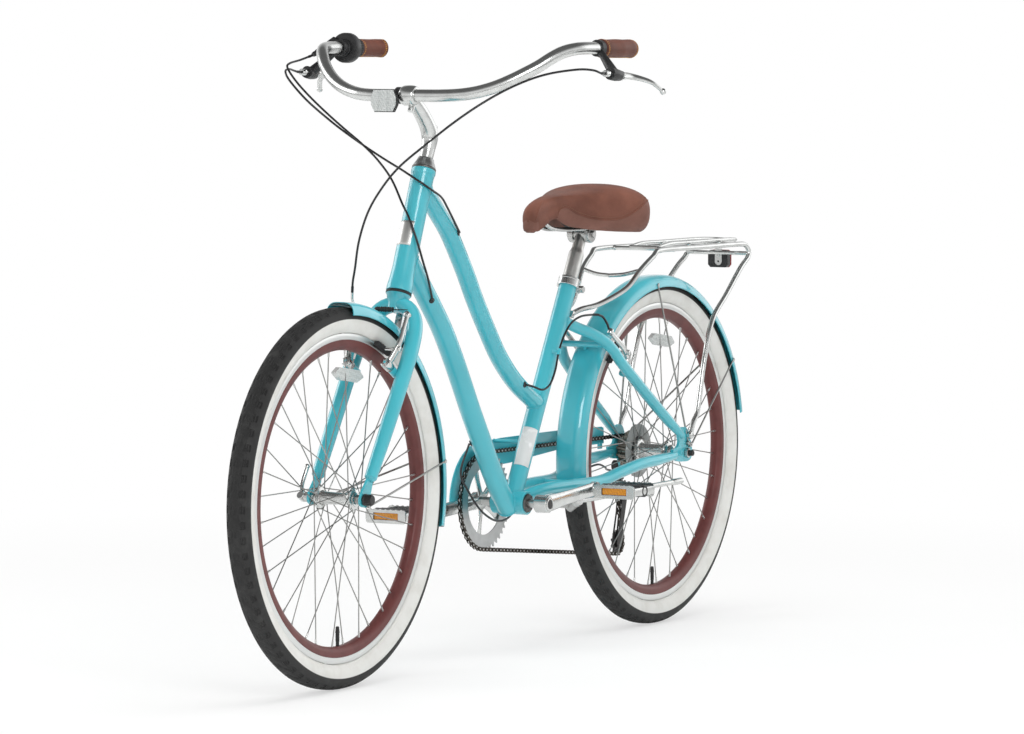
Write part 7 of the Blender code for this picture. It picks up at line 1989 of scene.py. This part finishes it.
ARM_TOP = {}
BRAKES = (("front", FRONT_POST, FRONT_BRAKE_OUT, 1, FRONT_AXLE),
          ("rear", REAR_POST_FOOT, REAR_BRAKE_OUT, -1, REAR_AXLE))
for end, post, out, way, axle in BRAKES:
    up = vec(-way * out.z, 0, way * out.x)
    for name, side in SIDES:
        foot = sided(post, side)
        node = end + "_brake_arm_" + name
        sleeve = foot + out * 0.0248
        middle = foot + out * 0.035
        elbow = middle + up * 0.045 + LEFT * side * 0.0105
        top = middle + up * 0.1 + LEFT * side * 0.009
        ARM_TOP[end, name] = top
        bm = bmesh.new()
        rod(bm, sleeve, foot + out * 0.045, 0.0088, segments=32, edge=0.0008)
        bolt(bm, foot + out * 0.0448, out, 0.0052, 0.0018)
        bars = [middle, middle.lerp(elbow, 0.5) + LEFT * side * 0.001, elbow, elbow.lerp(top, 0.5), top]
        route = smooth(bars, 0.004)
        widths = fading(bars, (0.007, 0.0069, 0.0064, 0.0058, 0.005), route)
        flat_bar(bm, route, [(w * 0.72, w) for w in widths], LEFT, 20)
        rod(bm, top - out * 0.005, top + out * 0.005, 0.0056, segments=24, edge=0.0006)
        bolt(bm, top + out * 0.0048, out, 0.0036, 0.0016)
        spot = nearest_pad(middle, up, axle)
        pad = vec(spot.x, side * 0.0205, spot.z)
        radial = vec(pad.x - axle.x, 0, pad.z - axle.z).normalized()
        tangent = vec(-radial.z, 0, radial.x)
        post_end = vec(pad.x, elbow.y + side * 0.004, pad.z)
        rod(bm, pad + LEFT * side * 0.003, post_end, 0.0034, segments=16)
        hex_nut(bm, post_end - LEFT * side * 0.0024, LEFT * side, 0.0055, 0.004)
        link = [elbow.lerp(middle, 0.35), vec(pad.x, elbow.y, pad.z)]
        rod(bm, link[0], link[1], 0.0055, segments=20)
        look(bm, node, polished, 50)
        bm = bmesh.new()
        turn = axes(pad, radial, tangent)
        block(bm, pad, (0.05, 0.01, 0.0095), turn, 0.0014, 3)
        for k in range(5):
            rib = pad + tangent * (k - 2) * 0.0085 + LEFT * side * 0.0022
            block(bm, rib, (0.0014, 0.0062, 0.0098), turn, 0.0003, 1)
        piece(bm, node + "_pad", pad_rubber, body_of(node))
print("brakes done", len(made_names))

# %% Front axle with its nut and quick-release lever
bm = bmesh.new()
side_rod(bm, FRONT_AXLE, -0.063, 0.06, 0.0049, segments=20)
for side in (1, -1):
    side_rod(bm, FRONT_AXLE, side * 0.0405, side * 0.0497, 0.0085, segments=6, edge=0.0005)
side_rod(bm, FRONT_AXLE, -0.0548, -0.064, 0.009, segments=28, edge=0.0008)
piece(bm, "front_axle_look", steel, body_of("front_skewer"), "front_skewer")
bm = bmesh.new()
nut = [(0, 0), (0.01, 0), (0.0104, 0.0008), (0.0104, 0.0036), (0.0092, 0.0046), (0.009, 0.015),
       (0.008, 0.0168), (0, 0.0171)]
turned(bm, nut, axes(FRONT_AXLE + LEFT * 0.0549, LEFT), 32, closed=False)
for step in range(12):
    turn = tau * step / 12
    foot = FRONT_AXLE + Vector((0.0089 * cos(turn), 0.06, 0.0089 * sin(turn)))
    rod(bm, foot, foot + LEFT * 0.009, 0.001, segments=6)
piece(bm, "front_axle_nut", black_plastic, body_of("front_skewer"))
cam_lever("front_lever_look", "front_skewer_lever", FRONT_AXLE - LEFT * 0.0713,
          vec(-0.4683, 0, 0.8836).normalized(), 0.008, 0.0008, (0.023, 0.007), (0.0566, 0.006),
          0.0042, 0.005)

# %% Rear axle with its cap and hexagon nut
bm = bmesh.new()
for inner, outer, radius, sides, edge in (
        (-0.0898, 0.08, 0.0049, 20, 0.0006), (0.0733, 0.0802, 0.0098, 6, 0.0008),
        (0.0475, 0.0672, 0.0085, 28, 0.0006), (-0.0605, -0.0672, 0.0085, 28, 0.0006),
        (-0.0733, -0.083, 0.0095, 6, 0.0006)):
    side_rod(bm, REAR_AXLE, inner, outer, radius, segments=sides, edge=edge)
look(bm, "rear_axle", steel)
bm = bmesh.new()
cap = [(0, 0), (0.0056, 0), (0.0058, 0.0006), (0.0056, 0.009), (0.0046, 0.01), (0, 0.0102)]
turned(bm, cap, axes(REAR_AXLE + LEFT * 0.079, LEFT), 28, closed=False)
piece(bm, "rear_axle_cap", black_rubber, body_of("rear_axle"))

# %% Kickstand
PIVOT_PLACE = at(-0.21, 0.034, 0.262)
STAND_AXIS = vec(0.22308, 0.81052, 0.54157).normalized()
STAND_ELBOW, STAND_TIP = vec(-0.156, 0.053, 0.0175), vec(-0.292, 0.066, 0.0215)
bm = from_solid("kickstand_bracket")
_, plate_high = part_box("kickstand_bracket")
bolt(bm, vec(PIVOT_PLACE.x + 0.005, 0, plate_high.z - 0.0005), (0, 0, 1), 0.004, 0.0022)
look(bm, "kickstand_bracket", steel, 50, 0.0007, merge=1e-6, clean=False)
bm = bmesh.new()
rod(bm, PIVOT_PLACE - STAND_AXIS * 0.0004, PIVOT_PLACE + STAND_AXIS * 0.011, 0.01, segments=32,
    edge=0.0008)
leg = [PIVOT_PLACE + STAND_AXIS * 0.0056, PIVOT_PLACE + STAND_ELBOW * 0.4, PIVOT_PLACE + STAND_ELBOW,
       PIVOT_PLACE + STAND_TIP]
tube(bm, smooth(leg, 0.008), 0.0048, 18)
heading = (STAND_TIP - STAND_ELBOW).normalized()
foot = PIVOT_PLACE + STAND_TIP
turned(bm, [(0, -0.03), (0.0049, -0.03), (0.006, -0.027), (0.0062, 0.0), (0.0054, 0.004), (0, 0.0058)],
       axes(foot, heading), 28, closed=False)
look(bm, "kickstand_leg", polished)
print("axles and stand done", len(made_names))

# %% [markdown]
# ## Cables
# A brake or gear cable is a wire inside a wound housing with a black cover. Each end sits in a
# ferrule. Where a cable runs from the steering to the frame, its piece is set on no body and stays
# where it is made. The noodle is a bright bent pipe that leads into a brake arm.

# %% Courses of the five cables
CABLE = 0.002
shifter_middle, _ = bar_at(SHIFTER_PLACE, -1)
shifter_mouth = shifter_middle + vec(0.0611, -0.0343, -0.0137)


def port(name):
    """The middle of a grommet's mouth."""
    place, out, _ = PORTS[name]
    return place + out * 0.0028


def course_of(*points):
    return [p if isinstance(p, Vector) else at(*p) for p in points]


FRONT_BRAKE = course_of(
    mouths["left"], mouths["left"] + vec(0.014, 0, 0.001), (0.2224, 0.309, 1.0672), (0.2476, 0.29, 1.0684),
    (0.2976, 0.255, 1.0598), (0.3497, 0.225, 1.0414), (0.3932, 0.19, 1.0141), (0.4276, 0.15, 0.9795),
    (0.4537, 0.105, 0.9387), (0.4629, 0.06, 0.9021), (0.4621, 0.025, 0.8665), (0.46, -0.006, 0.823),
    (0.4522, -0.03, 0.7713), (0.44, -0.046, 0.7216), (0.431, -0.056, 0.698))
FRONT_NOODLE = [ARM_TOP["front", "right"] + vec(0, 0, 0.0087) + Vector(p) for p in (
    (0.003, -0.013, 0.028), (0.001, -0.014, 0.014), (0, -0.009, 0.0035), (0, 0, 0.0005),
    (0, 0.009, 0))]
SHIFT_FRONT = course_of(
    shifter_mouth, (0.2134, -0.3, 1.0833), (0.26, -0.293, 1.0775), (0.279, -0.2855, 1.069),
    (0.2775, -0.2665, 1.0435), (0.277, -0.235, 1.014), (0.2762, -0.1975, 0.9835),
    (0.279, -0.165, 0.9606), (0.2846, -0.126, 0.935), (0.2981, -0.0851, 0.9071),
    (0.3195, -0.0432, 0.8733), (0.333, -0.013, 0.8307), (0.343, 0.004, 0.8119),
    (0.3465, 0.0175, 0.7859),
    (0.3412, 0.0248, 0.7578), (0.328, 0.0262, 0.7292), (0.311, 0.0262, 0.699), port("shift_in"))
REAR_FRONT = course_of(
    mouths["right"], mouths["right"] + vec(0.014, 0, 0.001), (0.22, -0.312, 1.065),
    (0.2439, -0.304, 1.0669), (0.272, -0.2945, 1.0635), (0.2905, -0.2745, 1.0475),
    (0.2893, -0.24, 1.0131), (0.2712, -0.2067, 0.9797), (0.27, -0.17, 0.955), (0.277, -0.123, 0.9298),
    (0.2915, -0.0742, 0.9082), (0.306, -0.033, 0.892), (0.3145, -0.008, 0.8813), (0.315, 0.014, 0.8694),
    (0.295, 0.0255, 0.855), (0.266, 0.027, 0.842),
    (0.24, 0.0245, 0.822), port("brake_in"))
REAR_REAR = course_of(
    port("brake_out"), (-0.064, 0.029, 0.486), (-0.083, 0.036, 0.48), (-0.11, 0.036, 0.488),
    (-0.137, 0.032, 0.512), (-0.155, 0.029, 0.544), (-0.174, 0.029, 0.572),
    (-0.201, 0.03, 0.596), (-0.232, 0.033, 0.607), (-0.268, 0.036, 0.6085))
rear_arm = ARM_TOP["rear", "left"]
rear_up = vec(REAR_BRAKE_OUT.z, 0, -REAR_BRAKE_OUT.x)
REAR_NOODLE = [rear_arm + rear_up * 0.003 + REAR_BRAKE_OUT * 0.002 + Vector(p) for p in (
    (0.032, -0.008, 0.03), (0.017, -0.006, 0.025), (0.006, -0.003, 0.012),
    (0.001, -0.002, 0.002))]
print("courses", len(FRONT_BRAKE), len(SHIFT_FRONT), len(REAR_FRONT), len(REAR_REAR))


def stay_line(share):
    """Middle of the right chain stay at a share of its way from the crank axle."""
    route = smooth([sided(p, -1) for p in bowed(CRANK_AXLE, CHAIN_STAY_END, CHAIN_STAY_COURSE)], 0.004)
    spot = (len(route) - 1) * share
    low = int(spot)
    return route[low].lerp(route[min(low + 1, len(route) - 1)], spot - low)


plate_under = vec(PIVOT_PLACE.x + 0.005, -0.045, plate_high.z - 0.0082)
LOOP = course_of(
    port("shift_out"), (0.112, -0.024, 0.34), (0.095, -0.018, 0.305), (0.07, -0.01, 0.272),
    (0.04, -0.006, 0.253), (0.005, -0.008, 0.244), (-0.04, -0.015, 0.244),
    (-0.09, -0.026, 0.256), (-0.13, -0.035, 0.267), plate_under + vec(0.032, 0.004, -0.0015),
    plate_under, plate_under + vec(-0.03, -0.003, 0.0005),
    *[stay_line(share) - vec(0, 0, 0.0161) for share in (0.52, 0.62, 0.72, 0.82, 0.9)],
    (-0.535, -0.081, 0.299), (-0.568, -0.096, 0.292), (-0.602, -0.0985, 0.285), (-0.623, -0.0945, 0.27),
    (-0.622, -0.088, 0.254), (-0.605, -0.082, 0.248),
    vec(GUIDE.x - 0.0123, -0.08, GUIDE.z - 0.001))

# %% Housings, ferrules and noodles
def housing(bm, points, start=True, end=True):
    """A round housing with a ferrule at its ends."""
    route = smooth(points, 0.005)
    tube(bm, route, CABLE, 12)
    for wanted, a, b in ((start, route[0], route[1]), (end, route[-1], route[-2])):
        if wanted:
            along = (b - a).normalized()
            rod(bm, a + along * 0.0002, a + along * 0.012, CABLE + 0.0005, segments=16, edge=0.0003)


bm = bmesh.new()
housing(bm, FRONT_BRAKE + FRONT_NOODLE[:1])
piece(bm, "front_brake_housing", cable_black, "steering", "front_brake_cable")
bm = bmesh.new()
noodle = smooth(FRONT_NOODLE, 0.003)
tube(bm, noodle, 0.0023, 14)
piece(bm, "front_noodle", polished, "front_brake_arm_right")
bm = bmesh.new()
near = ARM_TOP["front", "left"] + vec(0, 0, 0.0087)
span = [near - LEFT * 0.03, near - LEFT * 0.065]
rod(bm, near, near - LEFT * 0.031, 0.0009, segments=8)
ribs = [0.0044 + 0.0008 * cos(i * 2.4) - 0.0012 * abs(i / 20 - 0.5) for i in range(21)]
tube(bm, [span[0].lerp(span[1], i / 20) for i in range(21)], 0.0035, 16, ribs)
piece(bm, "front_brake_boot", black_rubber, "front_brake_arm_left")
bm = bmesh.new()
housing(bm, REAR_REAR + REAR_NOODLE[:1], start=False)
piece(bm, "rear_brake_housing_rear", cable_black, "frame", "rear_brake_cable_rear")
bm = bmesh.new()
tube(bm, smooth(REAR_NOODLE, 0.003), 0.0023, 14)
piece(bm, "rear_noodle", cable_black, "frame", slot="black")
bm = bmesh.new()
held = at(-0.156, 0.029, 0.545)
along = (at(-0.174, 0.029, 0.572) - at(-0.137, 0.032, 0.512)).normalized()
rod(bm, held - along * 0.006, held + along * 0.006, 0.0038, segments=20, edge=0.0005)
block(bm, held.lerp(vec(held.x + 0.004, 0.015, held.z + 0.002), 0.5), (0.004, 0.011, 0.007),
      None, 0.0008, 2)
piece(bm, "cable_clip", paint, "frame")
bm = bmesh.new()
housing(bm, LOOP, start=False)
piece(bm, "shift_housing_loop", cable_black, "frame", "shift_cable_loop")
for name, points, node in (("shift_housing_front", SHIFT_FRONT, "shift_cable_front"),
                           ("rear_brake_housing_front", REAR_FRONT, "rear_brake_cable_front")):
    bm = bmesh.new()
    housing(bm, points, end=False)
    cord = piece(bm, name, cable_black, None, node)
    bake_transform(cord)
print("cables done", len(made_names))

# %% Finish
low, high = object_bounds()
